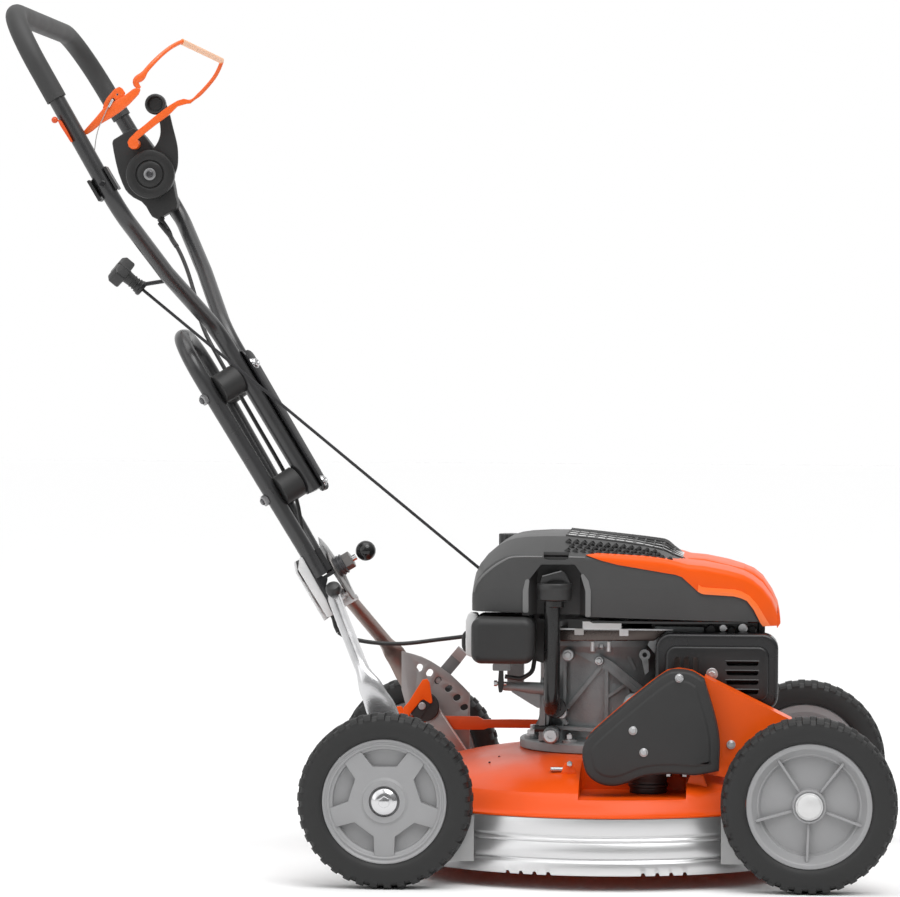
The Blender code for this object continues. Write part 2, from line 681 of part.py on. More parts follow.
def make_crank():
    bore = CRANK_RADIUS + GAP
    low = BLADE_LOW + BLADE_THICK + GAP
    turned("crankshaft", [
        (0, CRANK_LOW), (CRANK_RADIUS, CRANK_LOW), (CRANK_RADIUS, low), (HOLDER_RADIUS, low),
        (HOLDER_RADIUS, low + HOLDER_THICK * 0.5), (0.020, low + HOLDER_THICK),
        (CRANK_RADIUS, low + HOLDER_THICK),
        (CRANK_RADIUS, CRANK_HIGH), (0, CRANK_HIGH),
    ], STEEL, steps=20)
    half = BLADE_LENGTH / 2
    width = BLADE_WIDTH / 2
    blade = plan("blade", [(-half, -width * 0.7), (-half + 0.09, -width), (half, -width),
                           (half, width * 0.7),
                           (half - 0.09, width), (-half, width)], BLADE_LOW, BLADE_LOW + BLADE_THICK, STEEL)
    cut(blade, round_bar("blade_bore", (0, 0, 0), (0, 0, 0.08), bore, STEEL, 20))
    turned("flywheel", [(bore, FLYWHEEL_LOW), (FLYWHEEL_RADIUS, FLYWHEEL_LOW),
                        (FLYWHEEL_RADIUS, FLYWHEEL_LOW + FLYWHEEL_THICK),
                        (0.040, FLYWHEEL_LOW + FLYWHEEL_THICK), (0.034, FLYWHEEL_LOW + 0.028),
                        (bore, FLYWHEEL_LOW + 0.028)],
           ALUMINIUM, steps=24, closed=True)


make_crank()


# Engine

def make_case():
    """The crankcase with its cylinder and the plate that carries the shroud."""
    low = DECK_TOP[1] + GAP
    bore = CRANK_RADIUS + 0.001
    case = turned("crankcase", [
        (bore, low), (FLANGE_RADIUS, low), (FLANGE_RADIUS, low + FLANGE_THICK),
        (0.074, low + FLANGE_THICK + 0.003),
        (CASE_RADIUS, 0.190), (CASE_RADIUS, 0.262), (CASE_LIP, CASE_HIGH - 0.008), (CASE_LIP, CASE_HIGH),
        (bore, CASE_HIGH),
    ], ALUMINIUM, steps=36, closed=True)
    cylinder = slab("cylinder", rectangle(*CYLINDER_X, 0.178, 0.284, 0.012), CYLINDER_SIDE, 0.055,
                    ALUMINIUM)
    for fin in range(4):
        x = CASE_LIP + 0.012 + 0.014 * fin
        cut(cylinder, slab(f"fin_gap_{fin}", rectangle(x, x + 0.006, 0.15, 0.30), -0.11, -0.070, ALUMINIUM))
    plate_high = SHROUD_LOW - GAP
    half = [(-0.0780, 0.108), (-0.0155, 0.108), (-0.0100, 0.137), (0.095, 0.136), (0.150, 0.129),
            (0.178, 0.120)]
    blower = plan("blower_plate", [(x, -y) for x, y in half] + half[:1:-1] + [(-0.0780, 0.136)],
                  plate_high - 0.0025, plate_high, ALUMINIUM)
    spacer = turned("plate_spacer", [(0.016, CASE_HIGH - 0.004), (0.060, CASE_HIGH - 0.004),
                                     (0.060, plate_high - 0.001),
                                     (0.016, plate_high - 0.001)], ALUMINIUM, steps=24, closed=True)
    fuse(blower, spacer)
    cut(blower, round_bar("plate_bore", (0, 0, 0.30), (0, 0, 0.33), 0.016, ALUMINIUM, 24))
    fuse(case, cylinder, blower)


make_case()


def make_muffler():
    """The silencer on the cylinder's port, and its guard on two bosses."""
    wall = 0.0025
    silencer = slab("muffler", rectangle(GUARD_X[0] + 0.014, GUARD_X[1] - 0.014, GUARD_Z[0] + 0.012,
                                         GUARD_Z[1] - 0.012, 0.014),
                    -0.1320, -0.0945, STEEL)
    fuse(silencer, round_bar("exhaust_port", (0.1655, CYLINDER_SIDE - GAP, 0.240), (0.1655, -0.0960, 0.240),
                             0.0095, STEEL))
    for boss, x in enumerate((0.095, 0.188)):
        fuse(silencer, round_bar(f"guard_boss_{boss}", (x, -0.1300, 0.275),
                                 (x, -GUARD_SIDE[1] + wall + GAP, 0.275), 0.004,
                                 STEEL, 12))
    guard = slab("muffler_guard", rectangle(*GUARD_X, *GUARD_Z, 0.016), -GUARD_SIDE[1], -GUARD_SIDE[0],
                 BLACK_PLASTIC)
    soften(guard, 0.004, 2)
    cut(guard, slab("guard_inside", rectangle(GUARD_X[0] + wall, GUARD_X[1] - wall, GUARD_Z[0] + wall,
                                              GUARD_Z[1] - wall, 0.014),
                    -GUARD_SIDE[1] + wall, -GUARD_SIDE[0] + 0.02, BLACK_PLASTIC))
    for slot in range(4):
        z = 0.2245 + 0.0125 * slot
        cut(guard, slab(f"guard_slot_{slot}", rectangle(0.154, 0.191, z, z + 0.006, 0.0028, 2), -0.16,
                        -0.12, BLACK_PLASTIC))


make_muffler()

AIRBOX = ((-0.158, -0.080), (-0.160, -0.0755), (0.2605, 0.3195))
# Shroud stations: place, half widths and shoulder heights and top half widths (right, left), top, underside
SHROUD = [
    (-0.160, 0.104, 0.100, 0.343, 0.335, 0.058, 0.045, 0.360, AIRBOX[2][1] + GAP),
    (-0.142, 0.130, 0.124, 0.372, 0.356, 0.072, 0.048, 0.389, AIRBOX[2][1] + GAP),
    (-0.119, 0.139, 0.134, 0.388, 0.366, 0.080, 0.050, 0.4085, AIRBOX[2][1] + GAP),
    (-0.0945, 0.140, 0.138, 0.3915, 0.374, 0.084, 0.054, 0.416, AIRBOX[2][1] + GAP),
    (-0.0885, 0.1115, 0.139, 0.3915, 0.378, 0.085, 0.060, 0.4175, AIRBOX[2][1] + GAP),
    (-0.0790, 0.1115, 0.139, 0.3915, 0.380, 0.085, 0.063, 0.4178, AIRBOX[2][1] + GAP),
    (-0.0785, 0.1115, 0.139, 0.3915, 0.380, 0.085, 0.063, 0.4178, SHROUD_LOW),
    (-0.046, 0.1115, 0.140, 0.3915, 0.390, 0.087, 0.087, 0.4185, SHROUD_LOW),
    (-0.0225, 0.1115, 0.140, 0.3905, 0.390, 0.087, 0.087, 0.4165, SHROUD_LOW),
    (-0.0165, 0.1400, 0.140, 0.390, 0.390, 0.087, 0.087, 0.4155, SHROUD_LOW),
    (0.074, 0.1400, 0.140, 0.376, 0.376, 0.085, 0.085, 0.4065, SHROUD_LOW),
    (0.0985, 0.1390, 0.139, 0.368, 0.368, 0.082, 0.082, 0.3885, SHROUD_LOW),
]
# Orange cap stations: place, half width, underside, shoulder height, top half width, top height
CAP = [
    (0.1005, 0.1385, 0.3635, 0.372, 0.084, 0.3905),
    (0.120, 0.1375, 0.3475, 0.367, 0.082, 0.3895),
    (0.154, 0.1330, 0.3445, 0.360, 0.078, 0.3830),
    (0.173, 0.1280, 0.3385, 0.354, 0.074, 0.3775),
    (0.184, 0.1240, 0.3275, 0.348, 0.070, 0.3725),
    (0.196, 0.1180, 0.3110, 0.338, 0.066, 0.3630),
    (0.207, 0.1100, 0.3110, 0.328, 0.062, 0.3480),
    (0.2165, 0.1000, 0.3110, 0.319, 0.056, 0.3270),
]


def shroud_section(place, right, left, right_high, left_high, top_right, top_left, top, low, inset=0.0,
                   corner=0.008):
    low = low - (0.05 if inset else 0.0)
    right, left, right_high, left_high, top = (value - inset for value in (right, left, right_high,
                                                                           left_high, top))
    return [(place, -right, low), (place, -right, right_high - corner),
            (place, -right + corner, right_high),
            (place, -top_right + inset, top), (place, top_left - inset, top),
            (place, left - corner, left_high),
            (place, left, left_high - corner), (place, left, low)]


def cap_section(place, half, low, high, top_half, top, inset=0.0):
    return shroud_section(place, half, half, high, high, top_half, top_half, top, low, inset)


def make_shroud():
    """A moulded hood, open below, that steps down at the front under the orange cap."""
    stations = [shroud_section(*row) for row in SHROUD]
    inner = [shroud_section(*row, inset=SHROUD_WALL) for row in SHROUD]
    for place, half, low, high, top_half, top in CAP:
        shelf = low - GAP
        if shelf - 0.010 > SHROUD_LOW:
            flat = (place, half, half, shelf - 0.0005, shelf - 0.0005, top_half, top_half, shelf,
                    SHROUD_LOW)
            stations.append(shroud_section(*flat, corner=0.001))
            inner.append(shroud_section(*flat, inset=SHROUD_WALL, corner=0.001))
    for section, shift in ((0, SHROUD_WALL), (-1, -SHROUD_WALL)):
        inner[section] = [(x + shift, y, z) for x, y, z in inner[section]]
    shroud = loft("engine_shroud", stations, BLACK_PLASTIC)
    cut(shroud, loft("shroud_inside", inner, BLACK_PLASTIC))
    cut(shroud, round_bar("fuel_neck_hole", (FUEL_X, FUEL_Y, 0.345), (FUEL_X, FUEL_Y, 0.43),
                          FUEL_NECK + GAP,
                          BLACK_PLASTIC))


def make_cap():
    cap = loft("top_cap", [cap_section(*row) for row in CAP], ORANGE)
    inner = [cap_section(*row, inset=0.003) for row in CAP]
    inner[0] = [(x + 0.003, y, z) for x, y, z in inner[0]]
    inner[-1] = [(x - 0.003, y, z) for x, y, z in inner[-1]]
    cut(cap, loft("cap_inside", inner, ORANGE))


def make_vent():
    lift, thick = GAP, 0.0045
    rows = [(row[0], row[7]) for row in SHROUD[7:]]
    low = [(x, z + lift) for x, z in rows]
    high = [(x, z + lift + thick) for x, z in rows]
    slab("vent_grille", low + high[::-1], -0.062, 0.062, BLACK_PLASTIC)


def make_air_filter():
    xs, ys, zs = AIRBOX
    box = slab("air_filter_box", rectangle(*xs, *zs, 0.010), *ys, BLACK_PLASTIC)
    soften(box, 0.005, 2)
    carburettor = plan("carburettor", rectangle(-0.130, -CASE_LIP - GAP, ys[1] + GAP, 0.004), 0.262, 0.300,
                       ALUMINIUM)
    fuse(carburettor, plan("intake_body", rectangle(-0.120, -0.100, -0.042, -0.018), 0.222, 0.270,
                           ALUMINIUM),
         round_bar("intake_arm", (-0.138, -0.030, 0.229), (-0.0805, -0.030, 0.229), 0.0072, ALUMINIUM, 12))


def make_filler():
    inner_y = -math.sqrt(CASE_RADIUS ** 2 - (abs(FILLER_X) - FILLER_RADIUS) ** 2) - GAP
    path = rounded([(FILLER_X, inner_y, FILLER_LOW), (FILLER_X, FILLER_Y, FILLER_LOW),
                    (FILLER_X, FILLER_Y, FILLER_HIGH)], 0.022, 5)
    swept("oil_filler_tube", path, BLACK_PLASTIC, FILLER_RADIUS, 14)
    low, high = FILLER_HIGH + GAP, FILLER_HIGH + GAP + FILLER_CAP_HIGH
    cap = turned("oil_filler_cap", [(0, low), (FILLER_CAP_RADIUS, low), (FILLER_CAP_RADIUS, high - 0.002),
                                    (FILLER_CAP_RADIUS - 0.003, high), (0, high)], BLACK_PLASTIC,
                 (FILLER_X, FILLER_Y, 0), steps=18)
    fin = [(-0.016, -0.004), (0.016, -0.004), (0.018, 0.006), (0.010, 0.014), (-0.008, 0.019),
           (-0.014, 0.012)]
    fuse(cap, slab("filler_cap_fin", fin, -0.0035, 0.0035, BLACK_PLASTIC, (FILLER_X, FILLER_Y, high)))


def make_fuel():
    tank = plan("fuel_tank", rectangle(-0.1385, -0.086, 0.062, 0.1175, 0.006), 0.322, 0.340, BLACK_PLASTIC)
    fuse(tank, round_bar("fuel_neck", (FUEL_X, FUEL_Y, 0.330), (FUEL_X, FUEL_Y, FUEL_CAP_LOW), FUEL_NECK,
                         BLACK_PLASTIC))
    turned("fuel_cap", [(0, FUEL_CAP_LOW + GAP), (FUEL_CAP_RADIUS, FUEL_CAP_LOW + GAP),
                        (FUEL_CAP_RADIUS, FUEL_CAP_HIGH - 0.003),
                        (FUEL_CAP_RADIUS - 0.003, FUEL_CAP_HIGH), (0, FUEL_CAP_HIGH)], BLACK_PLASTIC,
                        (FUEL_X, FUEL_Y, 0), steps=16)


make_shroud()
make_cap()
make_vent()
make_air_filter()
make_filler()
make_fuel()


# Front drive: a bevel box on the deck, a belt under its cover, and the orange guard behind it

BELT_OUTLINE = [
    (-0.019, 0.160), (-0.015, 0.174), (-0.005, 0.186), (0.033, 0.2195), (0.062, 0.2435), (0.082, 0.2575),
    (0.096, 0.2600), (0.112, 0.2575), (0.1265, 0.2490), (0.140, 0.205), (0.1455, 0.175), (0.145, 0.140),
    (0.116, 0.1345), (0.090, 0.1360), (0.057, 0.1330), (0.033, 0.1235), (0.016, 0.1205), (-0.001, 0.1245),
    (-0.0145, 0.137),
]


def shrunk(points, wall):
    """A closed outline drawn in by a wall, each corner along its own bisector."""
    count = len(points)
    area = sum(points[i][0] * points[(i + 1) % count][1] - points[(i + 1) % count][0] * points[i][1] for i in range(count))
    turn = 1 if area > 0 else -1
    result = []
    for place in range(count):
        before, here, after = (Vector(points[place - 1]), Vector(points[place]),
                               Vector(points[(place + 1) % count]))
        one, two = (here - before).normalized(), (after - here).normalized()
        inward = Vector((-(one.y + two.y), one.x + two.x)).normalized() * turn
        cosine = max(0.5, math.sqrt((1 + one.dot(two)) / 2))
        result.append(tuple(here + inward * (wall / cosine)))
    return result


def belt_loop(grow, steps=10):
    """The line round both pulleys at a distance outside them."""
    low, high = Vector(LOWER_PULLEY), Vector(UPPER_PULLEY)
    low_radius, high_radius = LOWER_PULLEY_RADIUS + grow, UPPER_PULLEY_RADIUS + grow
    line = high - low
    lean = math.atan2(line.y, line.x)
    spread = math.acos((low_radius - high_radius) / line.length)
    points = []
    for step in range(steps + 1):
        angle = lean - spread + 2 * spread * step / steps
        points.append((high.x + high_radius * math.cos(angle), high.y + high_radius * math.sin(angle)))
    for step in range(steps + 1):
        angle = lean + spread + (2 * math.pi - 2 * spread) * step / steps
        points.append((low.x + low_radius * math.cos(angle), low.y + low_radius * math.sin(angle)))
    return points


def make_drive():
    outer = COVER_SIDE + GAP
    cover = slab("belt_cover", BELT_OUTLINE, -outer - BELT_COVER_DEPTH, -outer, BLACK_PLASTIC)
    cut(cover, slab("belt_cover_inside", shrunk(BELT_OUTLINE, COVER_WALL),
                    -outer - BELT_COVER_DEPTH + COVER_WALL,
                    -outer + 0.01, BLACK_PLASTIC))
    guard_points = [(x, z + 0.0012) for x, z in BELT_OUTLINE[1:8]] + [
        (0.1275, 0.2502), (0.232, 0.199), (0.205, 0.165), (0.192, 0.122),
        (0.128, 0.1338)] + BELT_OUTLINE[12:] + [(-0.0195, 0.160)]
    guard = slab("drive_guard", guard_points, -COVER_SIDE, -COVER_SIDE + COVER_WALL, ORANGE)
    flange = [(0.1275, 0.2502), (0.232, 0.199), (0.2305, 0.1955), (0.1265, 0.2465)]
    fuse(guard, slab("guard_flange", flange, -COVER_SIDE, -COVER_SIDE + COVER_DEPTH, ORANGE))
    middle = -outer - 0.016
    shaft = middle + COVER_SIDE - COVER_WALL
    for name, place, radius in (("lower", LOWER_PULLEY, LOWER_PULLEY_RADIUS),
                                ("upper", UPPER_PULLEY, UPPER_PULLEY_RADIUS)):
        cut(guard, round_bar(f"shaft_hole_{name}", (place[0], -0.20, place[1]), (place[0], -0.18, place[1]),
                             SHAFT_RADIUS + 2 * GAP, ORANGE, 20))
        half = BELT_WIDTH / 2 + GAP
        rim = radius + 0.003
        turned(f"drive_pulley_{name}", [
            (0, shaft), (SHAFT_RADIUS, shaft), (SHAFT_RADIUS, -half - 0.0025), (rim, -half - 0.0025),
            (rim, -half), (radius, -half),
            (radius, half), (rim, half), (rim, half + 0.0025), (0, half + 0.0025),
        ], STEEL, (place[0], middle, place[1]), (0, -1, 0), 20)
    outside, inside = belt_loop(BELT_THICK), belt_loop(BELT_CLEAR)
    count = len(outside)
    verts = [(x, middle + side, z) for side in (-BELT_WIDTH / 2, BELT_WIDTH / 2) for x,
             z in outside + inside]
    faces = []
    for step in range(count):
        after = (step + 1) % count
        a, b, c, d = step, after, count + after, count + step
        faces += [[a, b, c, d], [2 * count + a, 2 * count + b, 2 * count + c, 2 * count + d],
                  [a, b, 2 * count + b, 2 * count + a], [d, c, 2 * count + c, 2 * count + d]]
    mesh_object("drive_belt", verts, faces, RUBBER, (0, 0, 0))
    boot = turned("spindle_boot", [(0, POCKET_FLOOR + GAP), (BOOT_RADIUS - 0.001, POCKET_FLOOR + GAP),
                                   (BOOT_RADIUS, 0.119),
                                   (BOOT_RADIUS + 0.0015, 0.121), (BOOT_RADIUS + 0.0015, BOOT_HIGH + 0.006),
                                   (0, BOOT_HIGH + 0.006)],
                  ALUMINIUM, (BOOT_X, BOOT_Y, 0), steps=20)
    box = slab("drive_gearbox", rectangle(0.028, 0.112, BOOT_HIGH, 0.226, 0.012),
               -COVER_SIDE + COVER_WALL + GAP,
               -GEARBOX_SIDE, ALUMINIUM)
    soften(box, 0.003, 2)
    fuse(box, boot)


make_drive()


# Struts, handle bracket and lock

def make_struts():
    """Each strut is a round tube, flat at its foot, that ends on the fold axis."""
    for side, label in ((-1, "right"), (1, "left")):
        inner = STRUT_SIDE * side
        foot = 0.0158 - WHEELBASE / 2
        corner_points = [(foot, inner, 0.128), (foot - 0.0285, inner, 0.205), (foot - 0.0385, inner, 0.228),
                         (foot - 0.0490, inner, 0.251),
                         (FOLD_X, side * 0.060, FOLD_Z), (FOLD_X, side * GAP / 2, FOLD_Z)]
        path = rounded(corner_points, [0, 0, 0, 0.03, 0.022, 0], 3)
        flat = (STRUT_FLAT_THICK / 2, STRUT_FLAT_WIDTH / 2)
        half_way = (0.0062, 0.0125)
        sections = [flat, flat, half_way] + [(STRUT_RADIUS, STRUT_RADIUS)] * (len(path) - 3)
        swept(f"strut_{label}", path, ZINC, STRUT_RADIUS, 12, sections=sections, side=(0, 1, 0))


def handle_slab(name, points, low, high, mat, pivot=(0, 0, 0)):
    """An outline of places along the handle and in front of it, made solid between two sides."""
    verts = [up_handle(along, offset, side) for side in (low, high) for along, offset in points]
    count = len(points)
    faces = [list(range(count)), list(range(count, 2 * count))]
    for step in range(count):
        after = (step + 1) % count
        faces.append([step, after, count + after, count + step])
    return mesh_object(name, verts, faces, mat, pivot)


def make_handle_bracket():
    """Two plates and two cheeks that turn on the struts' ends, with the housing of the lock's pin."""
    front = BRACKET_FRONT + BRACKET_WALL
    body = handle_slab("handle_bracket", [
        (BRACKET_LOW, BRACKET_REAR), (0.051, BRACKET_REAR), (0.064, BRACKET_REAR + 0.0080),
        (0.064, BRACKET_REAR + 0.0118),
        (0.050, BRACKET_REAR + BRACKET_WALL), (BRACKET_LOW, BRACKET_REAR + BRACKET_WALL),
    ], -BRACKET_HALF, BRACKET_HALF, ZINC, FOLD_AXIS)
    plate = handle_slab("bracket_front", [(BRACKET_LOW, BRACKET_FRONT), (0.076, BRACKET_FRONT),
                                          (0.076, front),
                                          (BRACKET_LOW, front)], -BRACKET_HALF, BRACKET_HALF, ZINC)
    cheeks = []
    for side in (-1, 1):
        low, high = sorted((side * (BRACKET_HALF - 0.001), side * (BRACKET_HALF + BRACKET_WALL)))
        cheek = [(BRACKET_LOW + 0.001, BRACKET_REAR + 0.001), (0.019, BRACKET_REAR + 0.001),
                 (0.019, front - 0.001),
                 (BRACKET_LOW + 0.001, front - 0.001)]
        cheeks.append(handle_slab(f"bracket_cheek_{side}", cheek, low, high, ZINC))
    fuse(body, *cheeks, plate)
    axis = up_handle(0, 1) - up_handle(0, 0)
    bore = LOCK_PIN + GAP
    housing = turned("lock_housing", [(bore, front - 0.001), (0.0150, front - 0.001),
                                      (0.0150, front + 0.004),
                                      (0.0112, front + 0.005), (0.0112, front + 0.020),
                                      (bore, front + 0.020)],
                     ZINC, up_handle(LOCK_PLACE), axis, 12, True)
    fuse(body, housing)
    cut(body, round_bar("bracket_tube_hole", (FOLD_X, -0.05, FOLD_Z), (FOLD_X, 0.05, FOLD_Z),
                        STRUT_RADIUS + GAP, ZINC, 20))
    cut(body, round_bar("bracket_pin_hole", up_handle(LOCK_PLACE, 0.010), up_handle(LOCK_PLACE, 0.020),
                        bore, ZINC, 12))
    profile = [(0, 0.001), (LOCK_PIN, 0.003), (LOCK_PIN,
                                               LOCK_BALL_PLACE - math.sqrt(LOCK_BALL ** 2 - LOCK_PIN ** 2))]
    profile += [(LOCK_BALL * math.sin(math.radians(a)),
                 LOCK_BALL_PLACE - LOCK_BALL * math.cos(math.radians(a)))
                for a in range(40, 180, 20)]
    turned("lock_plunger", profile + [(0, LOCK_BALL_PLACE + LOCK_BALL)], BLACK_PLASTIC,
           up_handle(LOCK_PLACE), axis, 14)


make_struts()
make_handle_bracket()


# Handle: lower frame, rubber mounts, clamp plates, upper handle and its grip

def handle_path(points, radius, offset, steps=4):
    """A symmetric bent tube from (along, side) places of its right half, foot first."""
    half = [up_handle(along, offset, -side) for along, side in points]
    other = [up_handle(along, offset, side) for along, side in reversed(points)]
    radii = list(radius) + list(reversed(radius))
    return rounded(half + other, radii, steps)


def frame_side(along):
    share = (along - FRAME_KNEE) / (FRAME_SHOULDER - FRAME_KNEE)
    return FRAME_FOOT_SIDE + (FRAME_SIDE - FRAME_FOOT_SIDE) * share


def neck_side(along):
    share = (along - HANDLE_FOOT) / (HANDLE_NECK - HANDLE_FOOT)
    return HANDLE_FOOT_SIDE + (HANDLE_NECK_SIDE - HANDLE_FOOT_SIDE) * share


def make_handle():
    frame = handle_path([(FRAME_FOOT, FRAME_FOOT_SIDE), (FRAME_KNEE, FRAME_FOOT_SIDE),
                         (FRAME_SHOULDER, FRAME_SIDE),
                         (FRAME_TOP, FRAME_SIDE)], [0, 0.2, 0, 0.052], 0, 5)
    lower = swept("lower_frame", frame, BLACK_PAINT, TUBE_RADIUS, 10, pivot=up_handle(SWING_PLACE))
    fuse(lower, handle_slab("frame_block", [(SWING_PLACE - 0.0125, -0.006), (SWING_PLACE + 0.012, -0.006),
                                            (SWING_PLACE + 0.012, BRACKET_FRONT - GAP),
                                            (SWING_PLACE - 0.0125, BRACKET_FRONT - GAP)],
                            -FRAME_FOOT_SIDE, FRAME_FOOT_SIDE, BLACK_PAINT))
    path = handle_path([(HANDLE_FOOT, HANDLE_FOOT_SIDE), (HANDLE_NECK, HANDLE_NECK_SIDE),
                        (HANDLE_WAIST, HANDLE_SIDE),
                        (HANDLE_TOP, HANDLE_SIDE)], [0, 0.060, 0.055, HANDLE_CORNER], HANDLE_OFFSET, 5)
    upper = swept("upper_handle", path, BLACK_PAINT, TUBE_RADIUS, 10, pivot=up_handle(SWING_PLACE))
    pull = (ROPE_EXIT - ROPE_EYE).normalized()
    fuse(upper, turned("rope_guide", [(ROPE_RADIUS + 0.0007, -0.0018), (0.0095, -0.0018), (0.0095, 0.0018),
                                      (ROPE_RADIUS + 0.0007, 0.0018)], BLACK_PAINT, ROPE_EYE, pull, 16,
                                      True))
    leg = up_handle(GUIDE_PLACE, HANDLE_OFFSET, -GUIDE_SIDE)
    radial = leg - ROPE_EYE
    radial = (radial - pull * radial.dot(pull)).normalized()
    fuse(upper, round_bar("guide_rod", ROPE_EYE + radial * 0.0065, leg, 0.0026, BLACK_PAINT, 8))
    grip = handle_path([(SLEEVE_START, HANDLE_SIDE), (HANDLE_TOP, HANDLE_SIDE)], [0, HANDLE_CORNER],
                       HANDLE_OFFSET, 5)
    swept("grip_sleeve", grip, RUBBER, SLEEVE_RADIUS, 10, bore=TUBE_RADIUS + SLEEVE_CLEAR,
          pivot=up_handle(SWING_PLACE))
    for side, label in ((-1, "right"), (1, "left")):
        rear_line = up_handle(FRAME_SHOULDER, 0, side * FRAME_SIDE) - up_handle(FRAME_KNEE, 0,
                                                                                side * FRAME_FOOT_SIDE)
        front_line = up_handle(HANDLE_NECK, 0, side * HANDLE_NECK_SIDE) - up_handle(HANDLE_FOOT, 0,
                                                                                    side * HANDLE_FOOT_SIDE)
        mean = (rear_line.normalized() + front_line.normalized()).normalized()
        for name, along in DAMPER_PLACES.items():
            rear = up_handle(along, 0, side * frame_side(along))
            across = up_handle(along, HANDLE_OFFSET, side * neck_side(along)) - rear
            across = across - mean * across.dot(mean)
            margin = across.normalized() * (TUBE_RADIUS + DAMPER_GAP)
            round_bar(f"rubber_mount_{name}_{label}", rear + margin, rear + across - margin, DAMPER_RADIUS,
                      RUBBER, 16)
        line = front_line.normalized()
        ahead = (across - line * across.dot(line)).normalized()
        length = CLAMP_HIGH - CLAMP_LOW
        start = up_handle(CLAMP_LOW, HANDLE_OFFSET, side * neck_side(CLAMP_LOW))
        half = CLAMP_WIDTH / 2
        reach = TUBE_RADIUS + GAP
        slab(f"clamp_plate_{label}", outline([(0, -half), (length, -half), (length, half), (0, half)],
                                             half * 0.95, 4),
             reach, reach + CLAMP_THICK, BLACK_PAINT, start, line, line.cross(ahead))


make_handle()


# Controls

def make_controls():
    box_points = [(-0.0515, 0.045), (-0.05, 0.03), (-0.042, -0.005), (-0.034, -0.023),
                  (-0.024, -0.032), (-0.006, -0.041), (0.002, -0.054), (0.008, -0.059),
                  (0.015, -0.055), (0.031, -0.045), (0.034, -0.035), (0.029, -0.015),
                  (0.004, 0.036), (-0.017, 0.057), (-0.026, 0.062), (-0.038, 0.054)]
    slab("control_box", box_points, BOX_SIDE - BOX_DEPTH, BOX_SIDE, BLACK_PLASTIC, (DIAL_X, 0, DIAL_Z))
    face = BOX_SIDE - BOX_DEPTH - GAP
    hub = 0.016
    arm = [(hub * math.cos(math.radians(a)), hub * math.sin(math.radians(a))) for a in range(120, 340, 20)]
    arm += [(0.034, 0.004), (0.036, 0.030), (0.030, 0.058), (0.018, 0.080), (0.012, 0.100), (0.002, 0.106),
            (-0.008, 0.097),
            (-0.006, 0.084), (0.004, 0.078), (0.010, 0.060), (0.013, 0.042), (0.008, 0.028)]
    lever = slab("throttle_lever", arm, face - LEVER_THICK, face, BLACK_PLASTIC, (DIAL_X, 0, DIAL_Z),
                 pivot=(DIAL_X, face, DIAL_Z))
    knob = round_bar("throttle_knob", (DIAL_X + 0.0035, face - 0.016, DIAL_Z + 0.0925),
                     (DIAL_X + 0.0035, face, DIAL_Z + 0.0925),
                     0.0138, BLACK_PLASTIC, 16)
    high = DIAL_THICK
    dial = turned("throttle_dial", [
        (0, -0.001), (DIAL_RADIUS, -0.001), (DIAL_RADIUS, high - 0.002), (DIAL_RADIUS - 0.002, high),
        (0.016, high),
        (0.0145, high - 0.002), (0.008, high - 0.002), (0.007, high + 0.003), (0, high + 0.003),
    ], BLACK_PLASTIC, (DIAL_X, face - LEVER_THICK, DIAL_Z), (0, -1, 0), 24)
    fuse(lever, knob, dial)


def make_bail():
    """A bent flat bar hinged inside both legs, with its grip in front of the handle's."""
    pivot = up_handle(BAIL_PIVOT, HANDLE_OFFSET)
    side_view = [(0, 0), (0.022, 0.018), (0.064, 0.052), (0.071, 0.050), (0.096, 0.076), (0.116, 0.109)]
    sides = [BAIL_SIDE, BAIL_SIDE, 0.212, 0.207, 0.190, BAIL_GRIP_SIDE]
    half = [Vector((pivot.x + x, -side, pivot.z + z)) for (x, z), side in zip(side_view, sides)]
    start = half[0] + Vector((-0.004, 0, -0.003))
    arm = [start] + half[1:]
    path = rounded(arm + [Vector((p.x, -p.y, p.z)) for p in reversed(arm)],
                   [0, 0.02, 0.006, 0.006, 0.03, 0.014, 0.014, 0.03, 0.006, 0.006, 0.02, 0], 2)
    wide, narrow = (0.0018, 0.0052), (0.0048, 0.0020)
    sections = []
    for point in path:
        rise = (point.x - pivot.x) / 0.116
        share = min(1, max(0, (rise - 0.5) / 0.2))
        sections.append(tuple(w + (n - w) * share for w, n in zip(wide, narrow)))
    bail = swept("brake_bail", path, ORANGE, 0.004, 8, sections=sections, side=(0, 1, 0), pivot=pivot)
    for side, label in ((-1, "right"), (1, "left")):
        fuse(bail, round_bar(f"bail_pin_{label}", (pivot.x, side * BAIL_SIDE, pivot.z),
                             (pivot.x, side * (HANDLE_SIDE - TUBE_RADIUS - GAP), pivot.z), 0.0045, ORANGE,
                             12))


def smooth(route, spacing):
    """Points at an even spacing on a smooth curve through a route."""
    route = [Vector(p) for p in route]
    padded = [route[0] * 2 - route[1]] + route + [route[-1] * 2 - route[-2]]
    fine = []
    for place in range(len(route) - 1):
        a, b, c, d = padded[place:place + 4]
        for step in range(24):
            t = step / 24
            fine.append(((b * 2) + (c - a) * t + (a * 2 - b * 5 + c * 4 - d) * t ** 2 + (b * 3 - a - c * 3 + d) * t ** 3) / 2)
    fine.append(route[-1])
    total = sum((q - p).length for p, q in zip(fine, fine[1:]))
    pieces = max(2, round(total / spacing))
    result, walked, target = [fine[0]], 0.0, total / pieces
    for p, q in zip(fine, fine[1:]):
        length = (q - p).length
        while walked + length >= target * len(result) and len(result) < pieces:
            result.append(p.lerp(q, (target * len(result) - walked) / length))
        walked += length
    return result + [fine[-1]]


